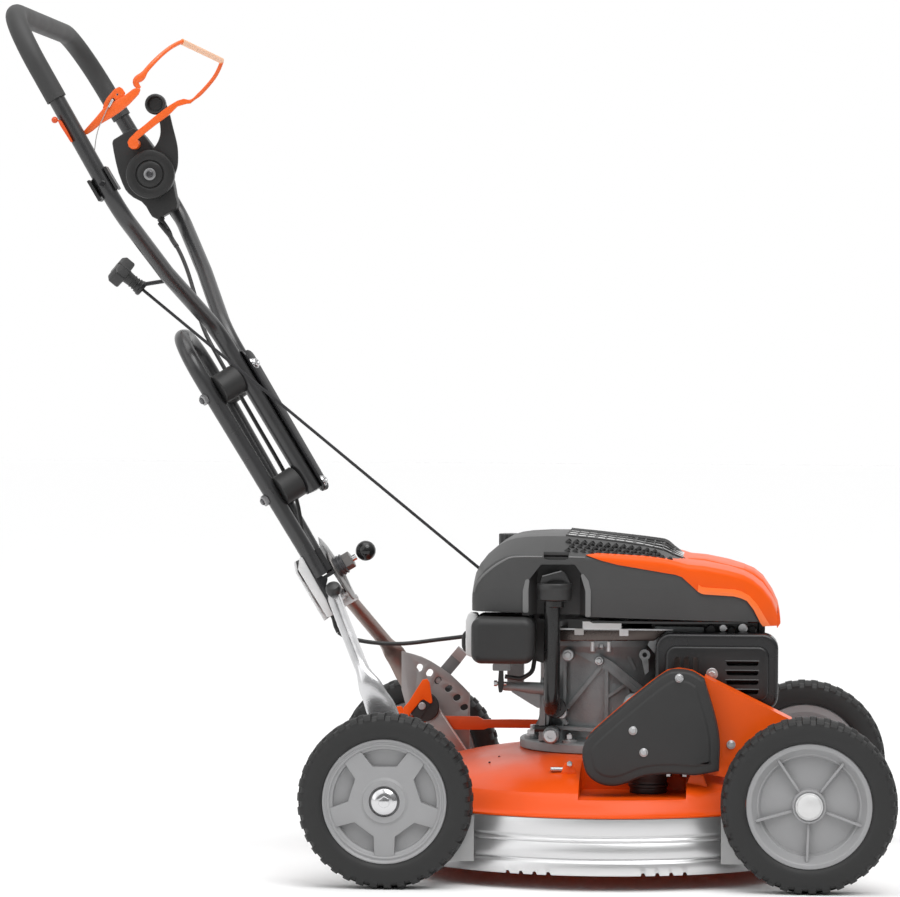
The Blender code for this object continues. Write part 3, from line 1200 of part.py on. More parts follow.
def cord(name, points, radius, mat, resolution=2, pivot=(0, 0, 0)):
    curve = bpy.data.curves.new(name, "CURVE")
    curve.dimensions = "3D"
    curve.bevel_depth = radius
    curve.bevel_resolution = resolution
    curve.use_fill_caps = True
    spline = curve.splines.new("POLY")
    spline.points.add(len(points) - 1)
    for place, point in enumerate(points):
        spline.points[place].co = (*(Vector(point) - Vector(pivot)), 1)
    obj = bpy.data.objects.new(name, curve)
    bpy.context.scene.collection.objects.link(obj)
    obj.parent = ROOT
    obj.location = pivot
    curve.materials.append(mat)
    return obj


def make_starter():
    """The pull grip behind its guide, and the rope that runs taut to the engine."""
    pull = (ROPE_EXIT - ROPE_EYE).normalized()
    sideways = Vector((-pull.z, 0, pull.x)).normalized()
    grip_place = ROPE_EYE - pull * GRIP_PLACE
    grip = round_bar("starter_grip", grip_place, ROPE_EYE - pull * 0.0022, 0.0078, BLACK_PLASTIC, 14)
    fuse(grip, slab("grip_bar", rectangle(-0.021, 0.021, -0.009, 0.009, 0.007), -0.010, 0.010,
                    BLACK_PLASTIC,
                    grip_place, sideways, sideways.cross(pull).cross(sideways)))
    start, end = ROPE_EYE - pull * 0.0019, ROPE_EXIT - pull * 0.0010
    cord("starter_rope", [start.lerp(end, step / 50) for step in range(51)], ROPE_RADIUS, BLACK_PAINT, 1)


def make_cable():
    """The throttle's cable, down the handle and between the bracket's plates to the carburettor."""
    upper = [up_handle(*place) for place in CABLE_UPPER]
    top = (DIAL_X + CABLE_TOP[0], CABLE_TOP_SIDE, DIAL_Z + CABLE_TOP[1])
    cord("throttle_cable", smooth([top] + upper + CABLE_LOWER, CABLE_RADIUS * 5), CABLE_RADIUS,
         BLACK_PLASTIC, 2)


def make_clip():
    round_bar("cable_clip", up_handle(0.560, HANDLE_OFFSET, -HANDLE_SIDE),
              up_handle(0.587, HANDLE_OFFSET, -HANDLE_SIDE),
              0.0135, BLACK_PLASTIC, 12, TUBE_RADIUS + SLEEVE_CLEAR)


make_controls()
make_bail()
make_starter()
make_cable()
make_clip()
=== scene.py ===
"""The looks of the petrol lawn mower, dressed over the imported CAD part.

Shapes are drawn in metres about the crankshaft's axis, as in the CAD source, and moved to the
part's own frame when their meshes are made. The right side, at -Y, faces the camera.
"""
import math
import random

import bmesh
import bpy
from mathutils import Matrix, Vector


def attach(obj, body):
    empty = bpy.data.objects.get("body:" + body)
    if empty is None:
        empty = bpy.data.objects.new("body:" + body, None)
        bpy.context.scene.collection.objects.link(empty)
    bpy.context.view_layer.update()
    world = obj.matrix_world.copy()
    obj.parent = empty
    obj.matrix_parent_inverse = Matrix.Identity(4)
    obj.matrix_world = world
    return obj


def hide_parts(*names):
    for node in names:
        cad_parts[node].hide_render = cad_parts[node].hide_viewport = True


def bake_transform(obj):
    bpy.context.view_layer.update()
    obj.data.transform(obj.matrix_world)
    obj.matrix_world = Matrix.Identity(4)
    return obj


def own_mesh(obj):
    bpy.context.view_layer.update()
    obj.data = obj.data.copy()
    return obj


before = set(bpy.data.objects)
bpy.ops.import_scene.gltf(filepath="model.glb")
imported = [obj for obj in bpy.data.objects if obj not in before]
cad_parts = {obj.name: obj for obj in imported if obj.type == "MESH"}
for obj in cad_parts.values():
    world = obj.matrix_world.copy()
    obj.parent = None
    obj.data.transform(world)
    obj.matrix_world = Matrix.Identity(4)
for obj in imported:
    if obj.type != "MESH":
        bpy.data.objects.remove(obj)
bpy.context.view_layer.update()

# The crankshaft's place in the part's frame
SHIFT = Vector((0.184099, 0, 0))

# Camera, fitted to the wheels and the handle in the photograph
CAMERA_PLACE = Vector((0.373519, -5.3198, 0.67792))
CAMERA_YAW = math.radians(4.138)
CAMERA_PITCH = math.radians(1.717)
CAMERA_ROLL = math.radians(0.222)
CAMERA_LENS = 170.42


def make_camera():
    toward = Vector((-math.sin(CAMERA_YAW) * math.cos(CAMERA_PITCH),
        math.cos(CAMERA_YAW) * math.cos(CAMERA_PITCH), -math.sin(CAMERA_PITCH)))
    right = toward.cross(Vector((0, 0, 1))).normalized()
    up = right.cross(toward)
    cosine, sine = math.cos(CAMERA_ROLL), math.sin(CAMERA_ROLL)
    right, up = right * cosine + up * sine, up * cosine - right * sine
    camera = bpy.data.objects.new("camera", bpy.data.cameras.new("camera"))
    bpy.context.scene.collection.objects.link(camera)
    camera.data.lens = CAMERA_LENS
    camera.data.sensor_width = 36
    camera.data.clip_end = 100
    camera.matrix_world = Matrix.Translation(CAMERA_PLACE) @ Matrix((right, up,
        -toward)).transposed().to_4x4()
    bpy.context.scene.camera = camera


make_camera()
bpy.context.scene.view_settings.view_transform = "Standard"


# Materials


def surface(name, colour, roughness, metallic=0.0, coat=0.0, mottle=0.0, mottle_scale=30.0,
        grain=0.0, grain_scale=1500.0, stretch=(1, 1, 1), uneven=0.0, depth=0.0002, specular=0.5):
    """A finish for a slot, with uneven colour, uneven roughness and a fine grain, each left out at 0.

    One number as the colour is a grey.
    """
    colour = colour if isinstance(colour, tuple) else (colour,) * 3
    mat = bpy.data.materials.new(name)
    mat.use_nodes = True
    nodes, links = mat.node_tree.nodes, mat.node_tree.links
    shader = nodes["Principled BSDF"]
    shader.inputs["Base Color"].default_value = (*colour, 1)
    shader.inputs["Roughness"].default_value = roughness
    shader.inputs["Metallic"].default_value = metallic
    shader.inputs["Coat Weight"].default_value = coat
    shader.inputs["Coat Roughness"].default_value = 0.08
    shader.inputs["Specular IOR Level"].default_value = specular
    place = nodes.new("ShaderNodeTexCoord")
    mapping = nodes.new("ShaderNodeMapping")
    mapping.inputs["Scale"].default_value = stretch
    links.new(place.outputs["Object"], mapping.inputs["Vector"])

    def noise(scale, detail):
        node = nodes.new("ShaderNodeTexNoise")
        node.inputs["Scale"].default_value = scale
        node.inputs["Detail"].default_value = detail
        links.new(mapping.outputs["Vector"], node.inputs["Vector"])
        return node

    if mottle or uneven:
        patches = noise(mottle_scale, 4)
    if mottle:
        ramp = nodes.new("ShaderNodeValToRGB")
        ramp.color_ramp.elements[0].position = 0.3
        ramp.color_ramp.elements[1].position = 0.7
        ramp.color_ramp.elements[0].color = (*[c * (1 - mottle) for c in colour], 1)
        ramp.color_ramp.elements[1].color = (*[min(1, c * (1 + mottle)) for c in colour], 1)
        links.new(patches.outputs["Fac"], ramp.inputs["Fac"])
        links.new(ramp.outputs["Color"], shader.inputs["Base Color"])
    if uneven:
        span = nodes.new("ShaderNodeMapRange")
        span.inputs["From Min"].default_value = 0.3
        span.inputs["From Max"].default_value = 0.7
        span.inputs["To Min"].default_value = roughness - uneven
        span.inputs["To Max"].default_value = roughness + uneven
        links.new(patches.outputs["Fac"], span.inputs["Value"])
        links.new(span.outputs["Result"], shader.inputs["Roughness"])
    if grain:
        fine = noise(grain_scale, 2)
        bump = nodes.new("ShaderNodeBump")
        bump.inputs["Strength"].default_value = grain
        bump.inputs["Distance"].default_value = depth
        links.new(fine.outputs["Fac"], bump.inputs["Height"])
        links.new(bump.outputs["Normal"], shader.inputs["Normal"])
    return mat


ORANGE = surface("orange_lacquer", (0.85, 0.1, 0.004), 0.36, coat=0.05, mottle=0.03,
    grain=0.05, grain_scale=700, uneven=0.04, specular=0.22)
ORANGE_PLASTIC = surface("orange_plastic", (0.85, 0.098, 0.004), 0.38, mottle=0.02,
    uneven=0.03, specular=0.2)
DECK_ORANGE = surface("deck_orange", (0.76, 0.078, 0.003), 0.36, coat=0.05, mottle=0.05,
    mottle_scale=14, grain=0.12, grain_scale=160, uneven=0.07, depth=0.0006, specular=0.24)
TUBE_PAINT = surface("tube_paint", (0.022, 0.022, 0.023), 0.3, grain=0.1,
    grain_scale=900, uneven=0.04, specular=0.7)
BLACK_PAINT = surface("black_lacquer", (0.012, 0.012, 0.013), 0.28, grain=0.08,
    grain_scale=900, uneven=0.03)
SHROUD_PLASTIC = surface("shroud_plastic", 0.064, 0.46, mottle=0.03, grain=0.25,
    grain_scale=1600, uneven=0.03, specular=0.25)
COVER_PLASTIC = surface("cover_plastic", 0.035, 0.52, mottle=0.04, grain=0.3,
    grain_scale=1400, uneven=0.03, specular=0.25)
BLACK_PLASTIC = surface("black_moulding", 0.022, 0.42, mottle=0.05, grain=0.2,
    grain_scale=1400, uneven=0.04)
GRIP_RUBBER = surface("grip_rubber", 0.035, 0.6, mottle=0.05, grain=0.35, grain_scale=1200,
    uneven=0.04)
TYRE_RUBBER = surface("tyre_rubber", 0.013, 0.62, mottle=0.1, mottle_scale=40, grain=0.3,
    grain_scale=900, uneven=0.05)
MOUNT_RUBBER = surface("mount_rubber", 0.016, 0.55, mottle=0.06, grain=0.2, uneven=0.04)
RIM_PLASTIC = surface("rim_plastic", (0.3, 0.3, 0.305), 0.4, mottle=0.02, grain=0.12,
    grain_scale=1600, uneven=0.03)
CHROME = surface("chrome", (0.62, 0.62, 0.63), 0.16, metallic=1.0, uneven=0.03)
SPUN = surface("spun_aluminium", (0.66, 0.66, 0.665), 0.34, metallic=0.85, mottle=0.02,
    grain=0.25, grain_scale=40, stretch=(1, 1, 60), uneven=0.05, depth=0.0001)
ALUMINIUM = surface("bright_aluminium", (0.55, 0.55, 0.555), 0.38, metallic=0.9,
    mottle=0.05, grain=0.3, grain_scale=600, uneven=0.06)
CAST = surface("cast_aluminium", (0.26, 0.275, 0.28), 0.45, metallic=0.3, mottle=0.1,
    mottle_scale=60, grain=0.55, grain_scale=420, uneven=0.08, depth=0.0005)
STEEL = surface("bright_steel", (0.5, 0.5, 0.505), 0.3, metallic=1.0, mottle=0.05, grain=0.12,
    grain_scale=700, uneven=0.05)
STRUT_STEEL = surface("strut_steel", (0.66, 0.66, 0.67), 0.24, metallic=0.9, mottle=0.06,
    mottle_scale=40, grain=0.2, grain_scale=400, uneven=0.06, depth=0.0003)
PLATE_STEEL = surface("plate_steel", (0.36, 0.335, 0.33), 0.42, metallic=0.7, mottle=0.06,
    mottle_scale=50, grain=0.2, grain_scale=500, uneven=0.06)
CORNER_STEEL = surface("corner_steel", 0.4, 0.45, metallic=0.6, mottle=0.05, grain=0.2,
    uneven=0.05)
CABLE_BLACK = surface("cable_black", 0.016, 0.45, grain=0.1, uneven=0.03)
ROPE_BLACK = surface("rope_black", (0.02, 0.02, 0.022), 0.75, mottle=0.2,
    mottle_scale=900, grain=0.6, grain_scale=900)
EXHAUST_STEEL = surface("exhaust_steel", (0.2, 0.19, 0.18), 0.45, metallic=0.8, mottle=0.2,
    mottle_scale=40, uneven=0.1)

# Pale grey plastic for the hood's edges: a painted highlight where rolled and chamfered edges catch the
# light.
SHROUD_EDGE_HIGHLIGHT = surface("shroud_edge_painted_highlight", 0.165, 0.4, mottle=0.03, grain=0.15,
    grain_scale=1600, uneven=0.03)
# Near-black plastic for the recess's back wall: painted shade inside the recess.
RECESS_PAINTED_SHADE = surface("recess_plastic_painted_shade", 0.016, 0.5, mottle=0.04, grain=0.2,
    grain_scale=1400, uneven=0.03)
FILTER_PLASTIC = surface("filter_plastic", 0.034, 0.42, mottle=0.03, grain=0.25,
    grain_scale=1600, uneven=0.03, specular=0.25)
# Lighter orange for the cap's band: a painted highlight where the band's chamfer catches the light.
CAP_BAND_HIGHLIGHT = surface("cap_band_painted_highlight", (0.95, 0.175, 0.022), 0.34, coat=0.15,
    mottle=0.02, uneven=0.03)
# Darker orange for lines along the cap's creases: painted shade.
CAP_SHADE = surface("cap_shade_plastic", (0.42, 0.05, 0.004), 0.4, mottle=0.02,
    uneven=0.03)
# Darker, browner steel for the far strut: painted shade.
STRUT_SHADE = surface("strut_shade", (0.26, 0.2, 0.18), 0.36, metallic=0.75, mottle=0.06,
    mottle_scale=40, grain=0.2, grain_scale=500, uneven=0.06)

CORNERS = ("rear_right", "rear_left", "front_right", "front_left")
LOOKS = [
    (DECK_ORANGE, "deck_shell"),
    (ORANGE, "drive_guard link_bar brake_bail"),
    (ORANGE_PLASTIC, "top_cap"),
    (SPUN, "skirt_ring"),
    (CAST, "crankcase carburettor"),
    (STEEL, "axle_rear axle_front crankshaft blade drive_pulley_lower drive_pulley_upper"),
    (EXHAUST_STEEL, "muffler"),
    (ALUMINIUM, "flywheel"),
    (STRUT_STEEL, "strut_right strut_left handle_bracket"),
    (CORNER_STEEL, "axle_bracket_rear_right axle_bracket_front_right axle_bracket_front_left"),
    (PLATE_STEEL, "axle_bracket_rear_left height_lever"),
    (SHROUD_PLASTIC, "engine_shroud air_filter_box"),
    (COVER_PLASTIC, "belt_cover"),
    (BLACK_PLASTIC, "vent_grille oil_filler_tube oil_filler_cap fuel_tank fuel_cap drive_gearbox"),
    (BLACK_PLASTIC, "lock_plunger control_box cable_clip throttle_lever starter_grip"),
    (BLACK_PAINT, "muffler_guard clamp_plate_right clamp_plate_left"),
    (TUBE_PAINT, "lower_frame upper_handle"),
    (GRIP_RUBBER, "grip_sleeve"),
    (MOUNT_RUBBER, "rubber_mount_upper_right rubber_mount_lower_right"),
    (MOUNT_RUBBER, "rubber_mount_upper_left rubber_mount_lower_left"),
    (CABLE_BLACK, "throttle_cable"),
    (ROPE_BLACK, "starter_rope"),
    (RIM_PLASTIC, " ".join(f"rim_{corner}" for corner in CORNERS)),
    (TYRE_RUBBER, " ".join(f"tyre_{corner}" for corner in CORNERS) + " drive_belt"),
]
for LOOK, NODES in LOOKS:
    for NODE in NODES.split():
        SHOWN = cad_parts[NODE]
        SHOWN.data.materials.clear()
        SHOWN.data.materials.append(LOOK)


# Meshes

def mm(text):
    """Points written in millimetres, their numbers apart by spaces and they by commas."""
    return [tuple(float(number) / 1000 for number in point.split()) for point in text.split(",")]


def tidy_mesh(mesh, sharp=35.0):
    bm = bmesh.new()
    bm.from_mesh(mesh)
    bmesh.ops.remove_doubles(bm, verts=bm.verts, dist=1e-6)
    bmesh.ops.recalc_face_normals(bm, faces=bm.faces)
    bm.to_mesh(mesh)
    bm.free()
    mesh.shade_smooth()
    mesh.set_sharp_from_angle(angle=math.radians(sharp))


def solid(verts, faces, mat, sharp=35.0):
    """An object from vertices given about the crankshaft's axis."""
    mesh = bpy.data.meshes.new("solid")
    mesh.from_pydata([Vector(v) + SHIFT for v in verts], [], faces)
    tidy_mesh(mesh, sharp)
    obj = bpy.data.objects.new("solid", mesh)
    bpy.context.scene.collection.objects.link(obj)
    mesh.materials.append(mat)
    return obj


def square_to(direction, side=None):
    direction = Vector(direction).normalized()
    side = Vector(side) if side else (Vector((0, 0, 1)) if abs(direction.z) < 0.9 else Vector((1, 0, 0)))
    first = (side - direction * side.dot(direction)).normalized()
    return first, direction.cross(first)


def turned(profile, mat, centre=(0, 0, 0), axis=(0, 0, 1), steps=48, closed=False, sharp=35.0):
    """A solid turned about an axis from (radius, height) points."""
    centre, axis = Vector(centre), Vector(axis).normalized()
    first, second = square_to(axis)
    verts, rings = [], []
    for radius, height in profile:
        if radius < 1e-7:
            rings.append([len(verts)])
            verts.append(centre + axis * height)
            continue
        rings.append(list(range(len(verts), len(verts) + steps)))
        for step in range(steps):
            angle = 2 * math.pi * step / steps
            verts.append(centre + axis * height + (first * math.cos(angle) + second * math.sin(angle))
                * radius)
    pairs = list(zip(rings, rings[1:]))
    if closed:
        pairs.append((rings[-1], rings[0]))
    faces = []
    for low, high in pairs:
        for step in range(steps):
            after = (step + 1) % steps
            corners = [low[step % len(low)], low[after % len(low)], high[after % len(high)],
                high[step % len(high)]]
            faces.append(list(dict.fromkeys(corners)))
    return solid(verts, faces, mat, sharp)


def rounded(points, radius, steps=6, loop=False):
    """Points of a line with its corners turned into arcs."""
    points = [Vector(p) for p in points]
    count = len(points)
    radii = radius if isinstance(radius, (list, tuple)) else [radius] * count
    result = []
    for place, corner in enumerate(points):
        if (not loop and place in (0, count - 1)) or radii[place] <= 0:
            result.append(corner)
            continue
        before = (points[place - 1] - corner).normalized()
        after = (points[(place + 1) % count] - corner).normalized()
        half = before.angle(after) / 2
        if half > math.radians(89):
            result.append(corner)
            continue
        reach = radii[place] / math.tan(half)
        middle = corner + (before + after).normalized() * (radii[place] / math.sin(half))
        start, end = corner + before * reach - middle, corner + after * reach - middle
        turn = start.angle(end)
        for step in range(steps + 1):
            share = step / steps
            spoke = start * math.sin((1 - share) * turn) + end * math.sin(share * turn)
            result.append(middle + spoke / math.sin(turn))
    return result


def swept(path, mat, radius, sides=20, bore=0.0, sections=None, side=None):
    """A tube along a path. Sections give half sizes across and along the side, for a flattened one."""
    path = [Vector(p) for p in path]
    count = len(path)
    side = Vector(side) if side else None
    verts, rings = [], []
    first = None
    for place, point in enumerate(path):
        before = (point - path[place - 1]).normalized() if place else None
        after = (path[place + 1] - point).normalized() if place < count - 1 else None
        direction = (before + after).normalized() if before and after else (before or after)
        first, second = square_to(direction, first or side)
        wide, high = sections[place] if sections else (radius, radius)
        for hollow in ((1.0, bore / radius) if bore else (1.0,)):
            rings.append(list(range(len(verts), len(verts) + sides)))
            for step in range(sides):
                angle = 2 * math.pi * (step + 0.5) / sides
                verts.append(point + first * (math.cos(angle) * wide * hollow) + second
                    * (math.sin(angle) * high * hollow))
    layers = 2 if bore else 1
    faces = []
    for place in range(count - 1):
        for layer in range(layers):
            low, high = rings[place * layers + layer], rings[(place + 1) * layers + layer]
            for step in range(sides):
                after = (step + 1) % sides
                faces.append([low[step], low[after], high[after], high[step]])
    for end in (0, count - 1):
        if bore:
            outer, inner = rings[end * 2], rings[end * 2 + 1]
            for step in range(sides):
                after = (step + 1) % sides
                faces.append([outer[step], outer[after], inner[after], inner[step]])
        else:
            faces.append(list(rings[end]))
    return solid(verts, faces, mat, 45)


def slab(outline, low, high, mat, origin=(0, 0, 0), across=(1, 0, 0), up=(0, 0, 1)):
    """A flat outline made solid between two places along up x across, which is +Y for a side view."""
    origin, across, up = Vector(origin), Vector(across).normalized(), Vector(up).normalized()
    normal = up.cross(across)
    verts = [origin + across * a + up * b + normal * place for place in (low, high) for a, b in outline]
    count = len(outline)
    faces = [list(range(count)), list(range(count, 2 * count))]
    for step in range(count):
        after = (step + 1) % count
        faces.append([step, after, count + after, count + step])
    return solid(verts, faces, mat)


def plan(outline, low, high, mat):
    """An outline seen from above, made solid between two heights."""
    return slab(outline, -high, -low, mat, up=(0, 1, 0))


def outline(points, radius, steps=5):
    return [(p.x, p.y) for p in rounded([(x, y, 0) for x, y in points], radius, steps, loop=True)]


def rectangle(x0, x1, z0, z1, radius=0.0, steps=5):
    corners = [(x0, z0), (x1, z0), (x1, z1), (x0, z1)]
    return outline(corners, radius, steps) if radius else corners


def loft(stations, mat, sharp=35.0):
    """A solid through closed sections, each a list of points with the same count."""
    count = len(stations[0])
    verts = [p for section in stations for p in section]
    faces = [list(range(count)), list(range(len(verts) - count, len(verts)))]
    for place in range(len(stations) - 1):
        for step in range(count):
            after = (step + 1) % count
            base = place * count
            faces.append([base + step, base + after, base + count + after, base + count + step])
    return solid(verts, faces, mat, sharp)


def bar(start, end, radius, mat, steps=24, bore=0.0, edge=0.0):
    """A round bar between two points, with a bore or eased ends if they are given."""
    start, end = Vector(start), Vector(end)
    length = (end - start).length
    if bore:
        profile = [(bore, 0), (radius, 0), (radius, length), (bore, length)]
    elif edge:
        profile = [(0, 0), (radius - edge, 0), (radius, edge), (radius, length - edge),
            (radius - edge, length), (0, length)]
    else:
        profile = [(0, 0), (radius, 0), (radius, length), (0, length)]
    return turned(profile, mat, start, end - start, steps, bool(bore))


def settle(obj, sharp=35.0):
    """Make an object's modifiers part of its mesh."""
    depsgraph = bpy.context.evaluated_depsgraph_get()
    mesh = bpy.data.meshes.new_from_object(obj.evaluated_get(depsgraph))
    obj.modifiers.clear()
    obj.data = mesh
    mesh.shade_smooth()
    mesh.set_sharp_from_angle(angle=math.radians(sharp))
    return obj


def shape(obj, operation, *tools):
    """Cut an object with tools or fuse them to it, for good."""
    for tool in tools:
        mod = obj.modifiers.new(operation.lower(), "BOOLEAN")
        mod.operation = operation
        mod.solver = "MANIFOLD"
        mod.object = tool
    settle(obj)
    for tool in tools:
        bpy.data.objects.remove(tool, do_unlink=True)
    return obj


def cut(obj, *tools):
    return shape(obj, "DIFFERENCE", *tools)


def fuse(obj, *tools):
    return shape(obj, "UNION", *tools)


def soften(obj, width, segments=3, angle=30.0):
    """Round off an object's edges."""
    mod = obj.modifiers.new("soften", "BEVEL")
    mod.width = width
    mod.segments = segments
    mod.limit_method = "ANGLE"
    mod.angle_limit = math.radians(angle)
    return settle(obj, 30)


def named(name, obj):
    obj.name = name
    return obj


def join(name, objs):
    """Put several meshes into one object, with their own materials."""
    mats = []
    bm = bmesh.new()
    for obj in objs:
        mesh = obj.data
        start = len(bm.faces)
        bm.from_mesh(mesh)
        bm.faces.ensure_lookup_table()
        remap = []
        for mat in mesh.materials:
            if mat not in mats:
                mats.append(mat)
            remap.append(mats.index(mat))
        for face in bm.faces[start:]:
            face.material_index = remap[min(face.material_index, len(remap) - 1)] if remap else 0
    mesh = bpy.data.meshes.new(name)
    bm.to_mesh(mesh)
    bm.free()
    for mat in mats:
        mesh.materials.append(mat)
    for obj in objs:
        bpy.data.objects.remove(obj, do_unlink=True)
    joined = bpy.data.objects.new(name, mesh)
    bpy.context.scene.collection.objects.link(joined)
    return joined


def dress(obj, body, *nodes):
    """The object rides on a body, and stands for CAD nodes if they are given."""
    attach(obj, body)
    if nodes:
        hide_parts(*nodes)
    return obj


# Wheels

SPOKES = 5
WHEELBASE = 0.5046
TRACK = 0.524
TYRE_RADIUS = 0.105
TYRE_HALF = 0.0225
RIM_RADIUS = 0.0747
TREAD_BLOCKS = 38


def hub_place(end, side):
    return Vector((end * WHEELBASE / 2, side * TRACK / 2, TYRE_RADIUS))


def make_tyre(centre, side):
    """A tyre whose tread blocks stand in two staggered rows and run over its shoulders."""
    bead = RIM_RADIUS + 0.0003
    half = TYRE_HALF
    wall = [(bead, -half + 0.0045, 0), (bead + 0.0022, -half + 0.0018, 0), (0.08, -half + 0.0006, 0),
        (0.085, -half, 0), (0.0905, -half + 0.0002, 0), (0.095, -half + 0.0008, 0),
        (0.0975, -half + 0.0014, 0.15), (0.099, -half + 0.0012, 0.75), (0.1018, -half + 0.0026, 1),
        (0.104, -half + 0.0062, 1), (0.1048, -half + 0.01, 1), (TYRE_RADIUS, -half + 0.015, 1),
        (TYRE_RADIUS, -0.0022, 1), (0.1046, -0.0012, 1)]
    profile = [(r, y, raised, 0) for r, y, raised in wall] + [(r, -y, raised, 1)
        for r, y, raised in reversed(wall)]
    groove = 0.0034
    steps = TREAD_BLOCKS * 8
    pitch = 2 * math.pi / TREAD_BLOCKS
    shares = [0.0, 0.06, 0.25, 0.44, 0.5, 0.56, 0.75, 0.94]
    verts, faces = [], []
    for step in range(steps):
        block, part = divmod(step, 8)
        angle = pitch * (block + shares[part])
        for radius, y, raised, row in profile:
            sunk = part in ((1, 2, 3) if row else (5, 6, 7))
            r = radius - raised * groove * sunk
            verts.append(centre + Vector((r * math.sin(angle), y * side, r * math.cos(angle))))
    count = len(profile)
    for step in range(steps):
        after = (step + 1) % steps
        for place in range(count):
            nxt = (place + 1) % count
            faces.append([step * count + place, after * count + place, after * count + nxt,
                step * count + nxt])
    return solid(verts, faces, TYRE_RUBBER, 30)


def wheel_disc(profile, centre, side):
    return turned(profile, RIM_PLASTIC, centre, (0, side, 0), 96, True, 28)


def make_rear_rim(name, centre, side):
    """A rim with a flat star cap of five arms over a sunk floor."""
    rim = wheel_disc([*mm("8.5 -18, 22.5 -18, 24.5 -4, 60 -2, 65.5 -16.5, 73.5 -18"),
        (RIM_RADIUS, -0.0165), (RIM_RADIUS, 0.017), *mm("74.2 17.9, 72.8 18, 71.5 17.2, 70.5 16,"
        "69.2 16, 68.4 16.8, 67.2 16.8, 66 15.8, 65.5 14, 62.5 12.5, 61.2 6.2, 58.5 5, 26 6, 25.5 12,"
        "8.5 12")], centre, side)
    star = []
    root, tip = 0.0372 / math.cos(math.pi / SPOKES) * 0.93 * 0.98, 0.066
    root_half, tip_half = 0.0128, 0.0118
    for arm in range(SPOKES):
        middle = math.radians(-90 + 360 / SPOKES * arm)
        out = Vector((math.cos(middle), math.sin(middle)))
        left = Vector((-out.y, out.x))
        for reach, half in ((root, -root_half), (tip, -tip_half), (tip, tip_half), (root, root_half)):
            point = out * reach + left * half
            star.append((point.x, point.y))
    cap = soften(slab(star, side * 0.005, side * 0.015, RIM_PLASTIC, centre), 0.0009, 2)
    hub = turned(mm("30 6, 30 14.5, 26.8 15.8, 26.2 16.4, 25.5 17.2, 20.5 17.2, 18.5 16.8, 18 12,"
        "18 6"), RIM_PLASTIC, centre, (0, side, 0), 64, True)
    cut(cap, bar(centre - Vector((0, 0.03, 0)), centre + Vector((0, 0.03, 0)), 0.027, RIM_PLASTIC, 64))
    marks = []
    for mark in range(9):
        angle = math.radians(40 * mark + 12)
        spot = centre + Vector((0.0222 * math.cos(angle), side * 0.0169, 0.0222 * math.sin(angle)))
        marks.append(bar(spot, spot + Vector((0, side * 0.002, 0)), 0.00055, RIM_PLASTIC, 8))
    cut(hub, *marks)
    return join(name, [rim, cap, hub])


def make_front_rim(name, centre, side):
    """A dished rim with five thin ribs."""
    rim = wheel_disc([*mm("8.5 -18, 19.5 -18, 20.5 -6, 56 -8, 65 -16.5, 73.5 -18"),
        (RIM_RADIUS, -0.0165), (RIM_RADIUS, 0.0172), *mm("74 18, 69.5 18, 68.2 17.2, 67.2 15.2, 61.8 9,"
        "60 8.4, 58.8 5.2, 57 3, 21 7.5, 20.4 9, 20.2 16.5, 19.2 17.6, 18 17.6, 17.2 16, 8.5 16")],
        centre, side)
    parts = [rim]
    for rib in range(SPOKES):
        middle = math.radians(-92 + 360 / SPOKES * rib)
        out = Vector((math.cos(middle), 0, math.sin(middle)))
        profile = mm("19 4, 19 13.5, 64 15.2, 67.2 14, 64 7, 58 1")
        piece = slab(profile, -0.0015, 0.0015, RIM_PLASTIC, centre, out, (0, side, 0))
        parts.append(soften(piece, 0.0005, 2))
    return join(name, parts)


for END in (-1, 1):
    for SIDE in (-1, 1):
        LABEL = f"{'front' if END > 0 else 'rear'}_{'left' if SIDE > 0 else 'right'}"
        CENTRE = hub_place(END, SIDE)
        dress(named(f"tyre_tread_{LABEL}", make_tyre(CENTRE, SIDE)), f"wheel_{LABEL}", f"tyre_{LABEL}")
        MAKER = make_front_rim if END > 0 else make_rear_rim
        dress(MAKER(f"rim_moulding_{LABEL}", CENTRE, SIDE), f"wheel_{LABEL}", f"rim_{LABEL}")


# Axles

ARM_SIDE = 0.22
PIVOT_BACK = 0.03
PIVOT_RISE = 0.035
LINK_SIDE = 0.15


def pivot_place(end):
    return Vector((end * WHEELBASE / 2 - PIVOT_BACK, 0, TYRE_RADIUS + PIVOT_RISE))


